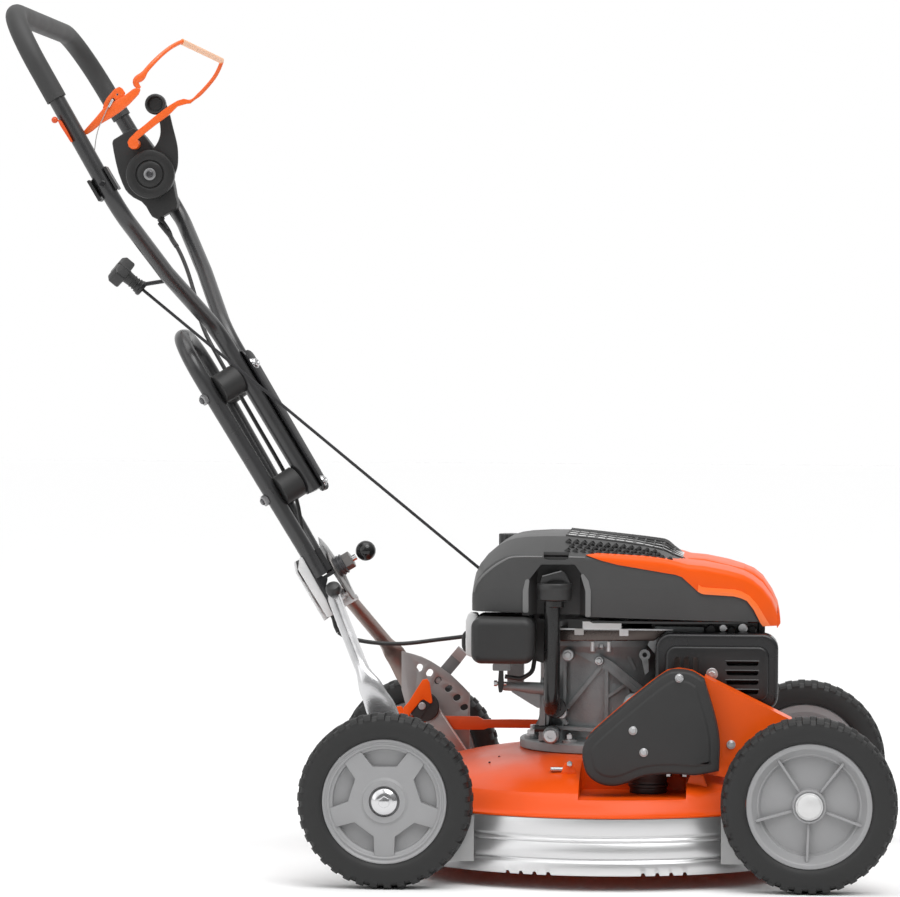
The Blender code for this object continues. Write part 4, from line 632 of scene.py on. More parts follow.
def make_axle(end):
    pivot = pivot_place(end)
    stub = TRACK / 2 + 0.0185
    points = []
    for side in (-1, 1):
        hub = hub_place(end, side)
        leg = [Vector((hub.x, side * stub, hub.z)), Vector((hub.x, side * (ARM_SIDE + 0.006), hub.z)),
            Vector((pivot.x, side * (ARM_SIDE - 0.006), pivot.z))]
        points += leg if side < 0 else leg[::-1]
    name = "front" if end > 0 else "rear"
    axle = swept(rounded(points, 0.009, 6), STEEL, 0.008, 20)
    parts = [axle]
    for side in (-1, 1):
        hub = hub_place(end, side)
        if end < 0:
            nut = mm("0 16.5, 15.8 16.5, 16 17.6, 15.8 18.4, 15 19, 11.5 21.2, 9.5 21.8, 0 22")
            parts.append(turned(nut, CHROME, hub, (0, side, 0), 64, False, 50))
            hexagon = [(0.0074 * math.cos(math.radians(60 * k + 30)),
                0.0074 * math.sin(math.radians(60 * k + 30))) for k in range(6)]
            head = slab(hexagon, side * 0.019, side * 0.0232, CHROME, hub)
            parts.append(soften(head, 0.0008, 2))
        else:
            nut = mm("0 14, 16 14, 16.3 15, 16.3 17.5, 15.7 18.2, 14.8 18.2, 14.3 19, 14.3 20.4,"
                "13.6 21, 0 21.2")
            parts.append(turned(nut, CAP_METAL, hub, (0, side, 0), 64, False, 50))
    horn = outline(mm("-13 -13, 13 -13, 7 27, -7 27"), 0.005, 4)
    side = LINK_SIDE + 0.0043
    parts.append(slab(horn, side, side + 0.004, STEEL, pivot))
    return join(f"axle_bar_{name}", parts)


CAP_METAL = surface("cap_metal", 0.66, 0.42, metallic=0.35, grain=0.1, uneven=0.03)
dress(make_axle(-1), "rear_axle", "axle_rear")
dress(make_axle(1), "front_axle", "axle_front")


# Deck and skirt

POCKET_FLOOR = 0.107


def make_deck():
    """The pressed dome, with its pocket."""
    wall = 0.0025
    low = 0.0868
    upper = [*mm("14 146, 108 146, 118 145.8, 124 145, 132 143.6, 152 140.8, 174 137.1, 196 132,"
        "215 127.5, 230 122.6, 240 118.6, 245 116.6, 248.2 115, 250 114.2, 251.2 113.6, 256 108.5,"
        "262 100.5, 266.5 93.8, 270 90.5, 272.2 89.8, 273.5 89"), (0.2735, low)]
    under = [(0.271, low), *mm("270.5 88, 263 92.5, 259 98.5, 249 110.5, 243 114.5, 213 125, 173 134.5,"
        "120 143, 14 143")]
    deck = turned(upper + under, DECK_ORANGE, steps=160, closed=True, sharp=32)
    full = turned([(0, 0.146), *upper[1:], (0, low)], DECK_ORANGE, steps=96)
    rear, front, inside = -0.0225, 0.106, 0.134
    outside = 0.2555
    arc = []
    for step in range(25):
        x = rear - wall + (front - rear + 2 * wall) * step / 24
        arc.append((x, -math.sqrt(outside ** 2 - x ** 2)))
    tray = plan(arc + [(front + wall, wall - inside), (rear - wall, wall - inside)],
        POCKET_FLOOR - wall, 0.155, DECK_ORANGE)
    shape(tray, "INTERSECT", full)
    room = plan(outline([(rear, -0.3), (front, -0.3), (front, -inside), (rear, -inside)], 0.007, 4),
        POCKET_FLOOR, 0.165, DECK_ORANGE)
    fuse(deck, tray)
    cut(deck, room)
    soften(deck, 0.0012, 2, 38)
    return deck


dress(named("deck", make_deck()), "mower", "deck_shell")


def on_ring(angle, radius, z):
    return Vector((radius * math.sin(angle), -radius * math.cos(angle), z))


def make_ring():
    """The bare skirt ring: two flat bands, a rolled groove, a foot, and notches along its lower edge."""
    profile = mm("275.2 86.2, 275.5 85, 275.5 68, 275.2 66.8, 273.8 65.5, 273.3 64, 273.8 62.6,"
        "275.2 61.4, 275.6 60.4, 275 59.2, 274.2 58.2, 274.5 57, 275.5 56, 275.5 40.2, 275 39,"
        "273.8 37.8, 274 36.6, 275.6 35.4, 276.8 34.5, 277.5 33, 277.5 20, 277 19, 275.2 19, 274.8 20,"
        "274.5 33.5, 271 36.5, 271 86.2")
    ring = turned(profile, SPUN, steps=240, closed=True, sharp=50)
    notches = []
    for group in (0.205, -0.205, 0.205 + math.pi / 2, math.pi / 2 - 0.205, math.pi - 0.205,
            math.pi + 0.205, 1.5 * math.pi - 0.205, 1.5 * math.pi + 0.205):
        for step in range(4):
            angle = group + (0.062 * step) * (1 if group > 0 and group < math.pi else -1)
            radial = on_ring(angle, 1, 0)
            along = Vector((-radial.y, radial.x, 0))
            base = on_ring(angle, 0.27, 0)
            corners = mm("-3.4 17, 3.4 17, 2.2 21.2, 0.4 22.8, -2.4 22.2")
            verts = [base + radial * reach + along * a + Vector((0, 0, b)) for reach in (0, 0.012)
                for a, b in corners]
            faces = [[0, 1, 2, 3, 4], [9, 8, 7, 6, 5]] + [[k, (k + 1) % 5, 5 + (k + 1) % 5, 5 + k]
                for k in range(5)]
            notches.append(solid(verts, faces, SPUN))
    cut(ring, *notches)
    settle(ring, 50)
    return ring


dress(named("ring", make_ring()), "mower", "skirt_ring")


def hex_head(place, direction, radius, depth, mat):
    """A bolt's six-sided head with eased edges."""
    place, direction = Vector(place), Vector(direction)
    first, second = square_to(direction)
    hexagon = [(radius * math.cos(math.radians(60 * k)), radius * math.sin(math.radians(60 * k)))
        for k in range(6)]
    verts = [place + first * a + second * b + direction * h for h in (-0.0005, depth) for a, b in hexagon]
    faces = [[0, 1, 2, 3, 4, 5], [11, 10, 9, 8, 7, 6]] + [[k, (k + 1) % 6, 6 + (k + 1) % 6, 6 + k]
        for k in range(6)]
    return soften(solid(verts, faces, mat), radius * 0.14, 2)


def make_tabs():
    """The two folded tabs on the deck."""
    parts = []
    for x, y, low, high, half in ((-0.0365, -0.19, 0.124, 0.1445, 0.0095),
            (0.118, -0.2, 0.12, 0.139, 0.01)):
        wide = half + 0.0025
        points = [(-wide, low), (wide, low), (half * 0.55, high), (-half * 0.55, high)]
        tab = slab(outline(points, 0.0016, 2), -0.0015, 0.0015, ORANGE, (x, y, 0))
        foot = slab(rectangle(-wide, wide, -0.0012, 0.0015), -0.001, 0.02, ORANGE, (x, y, low + 0.0005))
        parts += [soften(tab, 0.0006, 2), foot]
    return parts


dress(join("deck_tabs", make_tabs()), "mower")
PIN = [
    bar((-0.0585, -0.186, 0.1362), (-0.033, -0.186, 0.1362), 0.003, STEEL, 16, 0, 0.0006),
    hex_head((-0.0352, -0.1915, 0.144), (0, -1, 0), 0.0036, 0.005, STEEL),
]
dress(join("deck_tab_pin", PIN), "mower")
DOTS = []
for X, Y in ((-0.127, -0.085), (-0.137, -0.115)):
    SURFACE_Z = 0.146 - max(0, math.hypot(X, Y) - 0.118) * 0.16
    DOTS.append(bar((X, Y, SURFACE_Z - 0.002), (X, Y, SURFACE_Z + 0.0012), 0.0014, BLACK_PAINT, 12, 0,
        0.0004))
dress(join("deck_rivets", DOTS), "mower")


# Engine hood: black shroud, orange cap and the vents

# Stations from the rear: place, half width, shoulder height, top half width, top height
HOOD = mm("-160 104 342 55 359, -158 113 351 60 366, -152 122 362 66 378, -142 130 374 72 390.5,"
    "-130 135.5 383 77 400.5, -119 138.5 389 80 407, -108 139.8 392 82.5 410.5, -94.5 140 392.5 84 412.5,"
    "-70 140 392.5 85.5 413.8, -46 140 392.5 87 413.8, -16.5 140 391.5 87 410.8, 25 140 390 86 406,"
    "50 140 389 85.5 402.2, 74 140 387 85 396.5, 90 139.5 385 84 389, 105 138.5 381.2 83 383.5,"
    "125 137 379.6 81.5 381.8, 154 133 374 78 376.2, 173 128 368.5 74 370.8, 184 124 362.5 70 365.2,"
    "196 118 352 66 356, 207 110 338.5 62 341.2, 214 103 323 58 327.5")


def lengths_along(path):
    lengths = [0.0]
    for one, two in zip(path, path[1:]):
        lengths.append(lengths[-1] + (two - one).length)
    return lengths


def blended(path, sections):
    """Half sizes for each point of a path, between those given at shares of its length."""
    lengths = lengths_along(path)
    result = []
    for length in lengths:
        share = length / lengths[-1]
        for (s0, a0, b0), (s1, a1, b1) in zip(sections, sections[1:]):
            if s0 <= share <= s1:
                t = (share - s0) / (s1 - s0)
                t = t * t * (3 - 2 * t)
                result.append((a0 + (a1 - a0) * t, b0 + (b1 - b0) * t))
                break
        else:
            result.append(sections[-1][1:])
    return result


def resampled(path, count):
    """A path again, with a number of points at equal steps along it."""
    lengths = lengths_along(path)
    result = []
    for step in range(count):
        target = lengths[-1] * step / (count - 1)
        for place in range(len(path) - 1):
            if lengths[place + 1] >= target or place == len(path) - 2:
                span = lengths[place + 1] - lengths[place]
                share = (target - lengths[place]) / span if span else 0
                result.append(path[place].lerp(path[place + 1], min(1, share)))
                break
    return result


def smooth_way(points, steps=12):
    """A smooth line through places."""
    points = [Vector(p) for p in points]
    points = [points[0] * 2 - points[1]] + points + [points[-1] * 2 - points[-2]]
    fine = []
    for a, b, c, d in zip(points, points[1:], points[2:], points[3:]):
        for step in range(steps):
            t = step / steps
            fine.append(0.5 * ((2 * b) + (c - a) * t + (2 * a - 5 * b + 4 * c - d) * t ** 2 + (3 * b - a
                - 3 * c + d) * t ** 3))
    return fine + [points[-2]]


def copy_of(obj):
    twin = obj.copy()
    twin.data = obj.data.copy()
    bpy.context.scene.collection.objects.link(twin)
    return twin


def hood_at(x):
    """Half width, shoulder height, top half width and top height of the hood at a place."""
    for one, two in zip(HOOD, HOOD[1:]):
        if one[0] <= x <= two[0]:
            share = (x - one[0]) / (two[0] - one[0])
            return [a + (b - a) * share for a, b in zip(one[1:], two[1:])]
    return HOOD[-1][1:]


def hood_section(place, half, shoulder, top_half, top, low, grow):
    """A closed section of the hood, wider by an amount, with round shoulders and a foot drawn in."""
    half, shoulder, top, top_half = half + grow, shoulder + grow, top + grow, top_half + grow * 0.5
    shoulder = min(shoulder, top - 0.002)
    crease = min(0.352, low + (shoulder - low) * 0.5)
    foot = half - 0.003 * min(1, (crease - low) / 0.03)
    points = [(-foot, low), (-half, crease), (-half, shoulder), (-top_half, top), (top_half, top),
        (half, shoulder), (half, crease), (foot, low)]
    radii = [0, 0.002, 0.0075, 0.012, 0.012, 0.0075, 0.002, 0]
    flat = rounded([(y, z, 0) for y, z in points], radii, 5, True)
    return [Vector((place, p.x, p.y)) for p in flat]


def hood_loft(mat, low, grow=0.0, first=0, ends=(0.0, 0.0)):
    """The hood's form above a low edge, a number or a function of the place, wider by an amount."""
    rows = HOOD[first:]
    stations = []
    for row, (place, half, shoulder, top_half, top) in enumerate(rows):
        shift = ends[0] if row == 0 else ends[1] if row == len(rows) - 1 else 0.0
        base = low(place) if callable(low) else low
        stations.append(hood_section(place + shift, half, shoulder, top_half, top, base, grow))
    return loft(stations, mat, 40)


HOOD_REACH = 0.2
CAP_EDGE = mm("-19 393.5, 0 386.8, 19.4 381.9, 90 370.3, 98 367.5, 117.3 350, 121.5 347.4, 125.5 346.6,"
    "160.7 344.2, 169 342, 176.9 338.4, 185.1 327.6, 193.4 311.2")


def make_shroud():
    """The black moulding: a side panel whose edges carry painted highlights in pale plastic, and a recess
    for the oil filler whose back wall is darker plastic as painted shade.
    """
    def low(x):
        return 0.3225 if x < -0.079 else 0.3179 - (x + 0.0184) * 0.0261

    shroud = hood_loft(SHROUD_PLASTIC, low)
    inside = hood_loft(SHROUD_PLASTIC, 0.25, -0.003, 1, (0.004, -0.003))
    cut(shroud, inside)
    recess = mm("-92 -150, -82 -113.5, -79.5 -111, -27.3 -111, -24.6 -113.5, -16.3 -150")
    room = plan(recess, 0.28, 0.386, SHROUD_PLASTIC)
    clip = mm("-105 270, -10 270, -10 348.9, -32.2 381.8, -73.6 381.5, -105 341.1")
    shape(room, "INTERSECT", slab(outline(clip, 0.003, 3), -0.155, -0.1, SHROUD_PLASTIC))
    # The recess's back wall, in darker plastic as painted shade.
    back = plan(mm("-96.5 -137, -85 -110.8, -81.5 -107.8, -25 -107.8, -21.6 -110.8, -12 -137"), 0.319,
        0.3905, RECESS_PAINTED_SHADE)
    limit = hood_loft(SHROUD_PLASTIC, 0.3, -0.0012, 1)
    shape(back, "INTERSECT", limit)
    cut(back, copy_of(room))
    cut(shroud, room)
    notch = slab(mm("-70 388.5, -65.5 387.2, -45 387.2, -40.5 388.5, -39 400, -71.5 400"), -0.15, -0.13,
        SHROUD_PLASTIC)
    cut(shroud, notch)
    fuel_hole = bar((-0.124, 0.1, 0.345), (-0.124, 0.1, 0.43), 0.0112, SHROUD_PLASTIC, 32)
    front = slab([(0.0995, 0.45), (0.0995, 0.367), *CAP_EDGE[5:], *mm("194.5 300, 260 300, 260 450")],
        -HOOD_REACH, HOOD_REACH, SHROUD_PLASTIC)
    cut(shroud, fuel_hole, front)
    soften(shroud, 0.0014, 3, 32)
    # The recess's side rims in pale plastic: painted highlights on their chamfers.
    left = mm("-95.8 322.5, -95.8 349, -92.5 362.5, -87.3 365, -88.8 350, -88.5 322.5")
    right = mm("-19.2 318, -19.2 349, -23 362, -26.8 374.5, -21.5 370, -15.5 362, -12.8 350, -12.8 318")
    parts = [shroud, back]
    for points in (left, right):
        rim = slab(outline(points, 0.002, 2), -0.1406, -0.137, SHROUD_EDGE_HIGHLIGHT)
        parts.append(soften(rim, 0.0004, 2, 40))
    # A pale bead along each side panel's top edge, and a short pale dash: painted highlights on the
    # rounded edge.
    for side in (-1, 1):
        line = mm("-156 346, -152 357, -142 369, -130 379, -119 385.8, -110 389.8, -94.5 390.8,"
            "-72 390.8")
        bead = []
        for x, z in line:
            half = hood_at(x)[0]
            bead.append(Vector((x, side * (half - 0.001), z)))
        sizes = blended(resampled(smooth_way(bead), 50), [(0, 0.0014, 0.0022), (0.45, 0.0014, 0.0018),
            (0.7, 0.0012, 0.001), (1, 0.001, 0.0008)])
        parts += [
            swept(resampled(smooth_way(bead), 50), SHROUD_EDGE_HIGHLIGHT, 0.001, 10, sections=sizes,
                side=(0, 1, 0)),
            bar((-0.04, side * 0.1392, 0.3908), (-0.02, side * 0.1392, 0.3904), 0.0009, SHROUD_EDGE_HIGHLIGHT, 12,
                0, 0.0002),
        ]
    return join("hood_moulding", parts)


dress(make_shroud(), "mower", "engine_shroud")


def make_cap():
    """The orange cap: a front with a raised middle, a thin wing along each shoulder, a proud band in
    lighter orange as a painted highlight.
    """
    low = 0.3068
    cap = hood_loft(ORANGE_PLASTIC, 0.3, 0.0012)
    upper = [*mm("-19 394, -5 395.5, 52 392.5, 81.7 389, 97.9 386.8, 100 388, 100 450, 260 450"),
        (0.26, low), (0.1965, low)]
    prism = slab([CAP_EDGE[0]] + upper[1:] + CAP_EDGE[::-1][:-1], -HOOD_REACH, HOOD_REACH, ORANGE_PLASTIC)
    shape(cap, "INTERSECT", prism)
    cut(cap, hood_loft(ORANGE_PLASTIC, 0.28, -0.0016, 0, (-0.01, -0.0015)))
    ridge_rows = mm("101 44 385.7, 125 50 384.5, 154 55 378.2, 173 56 373.7, 185 56 369, 196.5 55 360,"
        "208 53 343.2, 215 50 328, 217.6 48 316, 218.4 47 307.6")
    stations = []
    for x, half, top in ridge_rows:
        drop = 0.01
        section = [(x, -half - 0.006, top - drop), (x, -half, top - 0.002), (x, -half + 0.004, top),
            (x, half - 0.004, top), (x, half, top - 0.002), (x, half + 0.006, top - drop)]
        if x > 0.2:
            section = [(a - 0.006 * (top - c > 0.004), b, c) for a, b, c in section]
        stations.append([Vector(p) for p in section])
    ridge = loft(stations, ORANGE_PLASTIC, 30)
    cut(ridge, hood_loft(ORANGE_PLASTIC, 0.28, -0.0006, 8))
    # Thin darker lines along the ridge's sides: painted shade in the creases.
    crease_shade_lines = []
    for side in (-1, 1):
        path = [(x, side * (half + 0.0058), min(hood_at(x)[3] + 0.0012, top - 0.0085))
            for x, half, top in ridge_rows[:8]]
        crease_shade_lines.append(swept(resampled(smooth_way(path), 60), CAP_SHADE, 0.0007, 8))
    line = CAP_EDGE[5:]
    above = [(x + 0.0006, z + 0.0085) for x, z in line[:5]] + [*mm("179.5 345, 189.5 334, 199 318"),
        (0.206, low)]
    # The band along the cap's lower edge, lighter as a painted highlight.
    band = hood_loft(CAP_BAND_HIGHLIGHT, 0.3, 0.0021)
    shape(band, "INTERSECT", slab(line + [(0.1965, low)] + above[::-1], -HOOD_REACH, HOOD_REACH,
        CAP_BAND_HIGHLIGHT))
    cut(band, hood_loft(CAP_BAND_HIGHLIGHT, 0.28, 0.0008, 0, (-0.01, -0.0015)))
    soften(cap, 0.0009, 2, 30)
    soften(band, 0.0008, 2, 30)
    soften(ridge, 0.0009, 2, 25)
    return join("front_cap", [cap, ridge, band, *crease_shade_lines])


dress(make_cap(), "mower", "top_cap")


def make_vents():
    """Low rails and cross ribs over a pale bed on the hood's top, the bed a painted highlight of the top
    between them, and the honeycomb on each slope.
    """
    parts = []
    places = [-0.046, -0.03, -0.0165, 0.005, 0.025, 0.0446, 0.06, 0.0742, 0.0841, 0.094, 0.1]
    heights = [0.4162, 0.4146, 0.4134, 0.4112, 0.4091, 0.407, 0.4052, 0.4029, 0.3955, 0.3882, 0.3848]
    for y, radius in mm("-83.5 1.8, -35 1.4, 8 1.4, 50 1.6, 79 2.2"):
        share = (y + 0.0835) / 0.1625
        path = []
        for x, z in zip(places, heights):
            near = hood_at(x)[3] + 0.0004
            path.append(Vector((x, y * (1 - 0.2 * max(0, x - 0.05) / 0.05),
                near + (z - radius - near) * share)))
        parts.append(swept(resampled(smooth_way(path), 60), BLACK_PLASTIC, radius, 12))
    # A pale bed under the rails: painted highlight where the hood's top shows between them.
    bed = [(x, hood_at(x)[3] - 0.002) for x in places]
    parts.append(slab(bed + [(x, z + 0.0026) for x, z in reversed(bed)], -0.062, 0.064, SLOT_PAINTED_HIGHLIGHT))
    for cross in range(13):
        x = -0.045 + 0.0118 * cross
        if x > 0.099:
            continue
        high = next(z0 + (z1 - z0) * (x - x0) / (x1 - x0)
            for (x0, z0), (x1, z1) in zip(zip(places, heights), zip(places[1:], heights[1:]))
            if x0 <= x <= x1)
        low = hood_at(x)[3] + 0.0006
        thick = 0.0042 if cross % 4 == 3 else 0.002
        parts.append(slab([(-0.082, low - 0.004), (0.078, low - 0.004), (0.078, high - 0.0016),
            (-0.082, low + 0.0004)], -thick / 2, thick / 2, BLACK_PLASTIC, (x, 0, 0), (0, 1, 0),
            (0, 0, 1)))
    for side in (-1, 1):
        for row in range(3):
            for column in range(15):
                x = -0.04 + 0.0096 * column + (0.0048 if row % 2 else 0)
                if x > 0.086 - 0.008 * row:
                    continue
                share = (row + 0.7) / 3.6
                near = hood_at(x)
                y0, z0 = near[0] - 0.006, near[1] + 0.0024
                y1, z1 = near[2] + 0.006, near[3] - 0.0006
                y, z = y0 + (y1 - y0) * share, z0 + (z1 - z0) * share
                normal = Vector((0.05, side * (z1 - z0), y0 - y1)).normalized()
                spot = Vector((x, side * y, z))
                parts.append(turned(mm("4.2 -4, 4.2 0.9, 3.6 1.2, 3.1 0.2, 0 0.1"), DARK_PLASTIC, spot,
                    normal, 16, False, 20))
    return join("vent_rails", parts)


# Pale grey for the vent bed: painted highlight.
SLOT_PAINTED_HIGHLIGHT = surface("vent_slot_painted_highlight", 0.62, 0.35, mottle=0.03, uneven=0.03)
DARK_PLASTIC = surface("dark_plastic", 0.01, 0.38, mottle=0.05, grain=0.2, uneven=0.05)
dress(make_vents(), "mower", "vent_grille")


def make_fuel_cap():
    """The fuel tank's cap, a ribbed knob behind the hood."""
    ribs = []
    for step in range(48):
        angle = 2 * math.pi * step / 48
        radius = 0.0155 if step % 4 in (0, 1) else 0.0143
        ribs.append((radius * math.cos(angle), radius * math.sin(angle)))
    centre = Vector((-0.124, 0.1, 0))
    return soften(plan([(centre.x + a, centre.y + b) for a, b in ribs], 0.3915, 0.407, BLACK_PLASTIC),
        0.001, 2, 50)


dress(named("fuel_cap_ribbed", make_fuel_cap()), "tank_cap", "fuel_cap")


def make_filler():
    """The oil filler's bent tube in its cast socket, and its cap with a finger loop."""
    x, y = -0.057, -0.1345
    path = rounded([(x - 0.003, -0.066, 0.203), (x - 0.003, y, 0.203), (x - 0.003, y, 0.3375)], 0.022, 10)
    tube = swept(path, GLOSS_BLACK, 0.01, 36)
    collar = bar((x, y, 0.329), (x, y, 0.3375), 0.0116, GLOSS_BLACK, 36, 0, 0.001)
    lip = bar((x, y + 0.035, 0.203), (x, y + 0.04, 0.203), 0.013, GLOSS_BLACK, 32, 0, 0.001)
    dress(join("filler_pipe", [tube, collar, lip]), "mower", "oil_filler_tube")
    low = 0.337
    cap = turned([(0, low - 0.001), (0.015, low), (0.0196, low + 0.0008), (0.0206, low + 0.002),
        (0.0212, low + 0.013), (0.0217, low + 0.014), (0.0217, low + 0.02), (0.0208, low + 0.0214),
        (0.018, low + 0.0218), (0.0168, low + 0.02), (0, low + 0.0198)], BLACK_PLASTIC, (x, y, 0),
        steps=72)
    top = low + 0.0205
    outer = outline(mm("-17 -3, 18 -3, 18.5 3, 12 15, 8.5 16, -15 9, -17.2 4"), 0.003, 4)
    fin = slab(outer, -0.0042, 0.0042, BLACK_PLASTIC, (x, y, top))
    window = slab(outline(mm("-12.5 -1, 13 -1, 12 4, 2 5.2, -8 3"), 0.002, 3), -0.008, -0.0022,
        BLACK_PLASTIC, (x, y, top))
    cut(fin, window)
    # A pale line along the fin's top edge: painted highlight.
    edge = swept([(x - 0.015, y - 0.004, top + 0.0094), (x + 0.0083, y - 0.004, top + 0.016)],
        SHROUD_EDGE_HIGHLIGHT, 0.0008, 10)
    soften(fin, 0.001, 2, 35)
    dress(join("filler_cap_moulding", [cap, fin, edge]), "filler_cap", "oil_filler_cap")


GLOSS_BLACK = surface("gloss_black", 0.012, 0.26, mottle=0.05, grain=0.05, uneven=0.05)
make_filler()


def make_filter_box():
    xs, ys, zs = (-0.158, -0.08), (-0.16, -0.0755), (0.2605, 0.3195)
    cover = soften(slab(outline([(xs[0], zs[0]), (xs[1] - 0.001, zs[0]), (xs[1] - 0.001,
        zs[1] - 0.0025), (xs[0], zs[1] - 0.0025)], 0.0125, 7), ys[0], ys[1] - 0.02, FILTER_PLASTIC),
        0.011, 7, 40)
    back = soften(slab(outline([(xs[0] + 0.002, zs[0] + 0.002), (xs[1] - 0.003, zs[0] + 0.002),
        (xs[1] - 0.003, zs[1] - 0.001), (xs[0] + 0.002, zs[1] - 0.001)], 0.011, 5), ys[1] - 0.022,
        ys[1], BLACK_PLASTIC), 0.0012, 2, 40)
    plate = soften(slab(outline(mm("-167.2 268, -152 262, -152 319.5, -164 319.5, -167.2 310"), 0.004,
        4), -0.112, -0.088, CAP_METAL), 0.002, 2, 40)
    elbow = swept(rounded(mm("-154 -95 296, -170.5 -100 296, -170.5 -100 274, -156 -95 268"), 0.008, 6),
        BLACK_PLASTIC, 0.0024, 16)
    return join("air_filter_cover", [cover, back, plate, elbow])


dress(make_filter_box(), "mower", "air_filter_box")


def ring_bolt(place, radius, mat, depth=0.005, hexagon=True, washer=0.0, direction=(0, -1, 0)):
    """A bolt head on a place, with a washer of a given radius if there is one."""
    place, direction = Vector(place), Vector(direction).normalized()
    parts = []
    base = 0.0
    if washer:
        parts.append(turned([(0, -0.001), (washer, -0.001), (washer, 0.0008), (washer - 0.0004, 0.0012),
            (0, 0.0012)], mat, place, direction, 32))
        base = 0.0011
    if hexagon:
        head = turned([(0, base - 0.001), (radius, base - 0.001), (radius, base + depth - 0.0006),
            (radius - 0.0008, base + depth), (radius * 0.45, base + depth),
            (radius * 0.4, base + depth - 0.0004), (0, base + depth - 0.0004)], mat, place, direction,
            6, False, 20)
    else:
        socket = radius * 0.42
        head = turned([(0, base - 0.001), (radius, base - 0.001), (radius, base + depth - 0.0007),
            (radius - 0.0007, base + depth), (socket, base + depth), (socket, base + depth * 0.35),
            (0, base + depth * 0.35)], mat, place, direction, 24)
    parts.append(head)
    return join("bolt", parts) if washer else head


def proud_band(line, half_width, inner, outer):
    """A rib that follows a side-view line over the crankcase's round wall."""
    line = [Vector((x, 0, z)) for x, z in line]
    left, right = [], []
    for place, point in enumerate(line):
        before = (point - line[place - 1]).normalized() if place else None
        after = (line[place + 1] - point).normalized() if place < len(line) - 1 else None
        along = (before + after).normalized() if before and after else (before or after)
        across = Vector((-along.z, 0, along.x)) * half_width
        left.append(((point + across).x, (point + across).z))
        right.append(((point - across).x, (point - across).z))
    band = slab(left + right[::-1], -0.2, 0, CAST)
    wall = turned([(inner, 0.1), (outer, 0.1), (outer, 0.32), (inner, 0.32)], CAST, steps=96, closed=True)
    return shape(band, "INTERSECT", wall)


def make_crankcase():
    """The cast case: round flange, waist, split flange, ribs, bosses, cylinder fins and studs."""
    low = 0.1463
    wall = 0.0805
    parts = [
        turned([(0.013, low), (0.1045, low), (0.106, low + 0.0012), (0.106, low + 0.0105),
            (0.1045, low + 0.012), (0.09, low + 0.0125), (0.08, low + 0.0135), (0.0765, low + 0.018),
            (0.0765, 0.176), (wall, 0.19), (wall, 0.25), *mm("82.5 262, 88.5 272, 93.5 277, 94.5 279,"
            "94.5 287, 13 287")], CAST, steps=96, closed=True),
    ]
    split = mm("-56 290, -42.4 281, -12 265.5, 2 257.5, 9.3 253.5, 33 234, 64.9 206, 80 193")
    parts += [
        proud_band([(x, z + 0.0036) for x, z in split], 0.0034, 0.07, 0.0868),
        proud_band([(x, z - 0.0036) for x, z in split], 0.0034, 0.07, 0.0874),
    ]
    for line, width, reach in ((mm("0 256, -17 234, -44 200"), 0.0024, 0.0868), ([(0.005, 0.254),
            (0.005, 0.176)], 0.0022, 0.0858), (mm("-44 280, -47 250, -47 185"), 0.002, 0.0852),
            ([(0.03, 0.236), (0.036, 0.18)], 0.0018, 0.085), (mm("-70 225, -56 195, -44 180"), 0.0022,
            0.087), ([(-0.06, 0.176), (0.05, 0.174)], 0.0022, 0.088), ([(0.022, 0.286), (0.04, 0.248)],
            0.0018, 0.0845), ([(0.005, 0.215), (0.033, 0.234)], 0.0018, 0.0845)):
        parts.append(proud_band(line, width, 0.068, reach))
    for x, z, radius, front in mm("-42.5 267.2 7.8 90.5, -4 261 6 93.5, 56 211 6.5 91, -50 195 6.8 89"):
        parts += [
            bar((x, -0.06, z), (x, -front, z), radius, CAST, 24, 0, 0.0008),
            ring_bolt((x, -front, z), radius * 0.62, STEEL, 0.0045, True, radius * 0.86),
        ]
    for number in range(20):
        angle = math.radians(-90 + 18 * number)
        if abs(math.sin(angle) + 1) < 0.12:
            continue
        x, y = math.cos(angle), math.sin(angle)
        parts.append(slab(mm("74 157, 94 157, 93 161, 83 180, 79 198, 74 200"), -0.0014, 0.0014, CAST,
            (0, 0, 0), (x, y, 0), (0, 0, 1)))
    for angle in (200, 245, 305, 340, 25, 70, 115, 160):
        x, y = 0.095 * math.cos(math.radians(angle)), 0.095 * math.sin(math.radians(angle))
        parts += [
            bar((x, y, 0.15), (x, y, 0.1625), 0.0095, CAST, 24, 0, 0.001),
            ring_bolt((x, y, 0.1625), 0.0058, STEEL, 0.006, True, 0.0078, (0, 0, 1)),
        ]
    parts += [
        bar((-0.063, -0.06, 0.1685), (-0.063, -0.101, 0.1685), 0.01, CAST, 32, 0, 0.001),
        ring_bolt((-0.063, -0.101, 0.1685), 0.008, STEEL, 0.0055, False),
        slab(mm("-79 160, -71.5 160, -70 235, -77 235"), -0.075, -0.04, CAST),
        bar((-0.084, -0.072, 0.1748), (-0.064, -0.074, 0.1748), 0.0045, BLACK_PLASTIC, 16, 0, 0.0006),
        turned([(0.074, low - 0.0001), (0.1035, low - 0.0001), (0.1035, low + 0.0001),
            (0.074, low + 0.0001)], CAST, steps=64, closed=True),
        soften(slab(rectangle(0.07, 0.178, 0.178, 0.284, 0.012), -0.079, 0.055, CAST), 0.002, 2, 30),
    ]
    for fin in range(9):
        z = 0.188 + 0.011 * fin
        parts.append(slab(rectangle(0.094, 0.181, -0.09, 0.066, 0.012), -z - 0.0022, -z, CAST,
            up=(0, 1, 0)))
    half = mm("-78 108, -15.5 108, -10 137, 95 136, 150 129, 178 120")
    blower = plan([(x, -y) for x, y in half] + half[:1:-1] + [(-0.078, 0.136)], 0.3102, 0.3127,
        BLACK_PLASTIC)
    spacer = turned(mm("16 283, 60 283, 60 311.7, 16 311.7"), BLACK_PLASTIC, steps=48, closed=True)
    parts += [blower, spacer]
    return join("engine_block", parts)


dress(make_crankcase(), "mower", "crankcase")


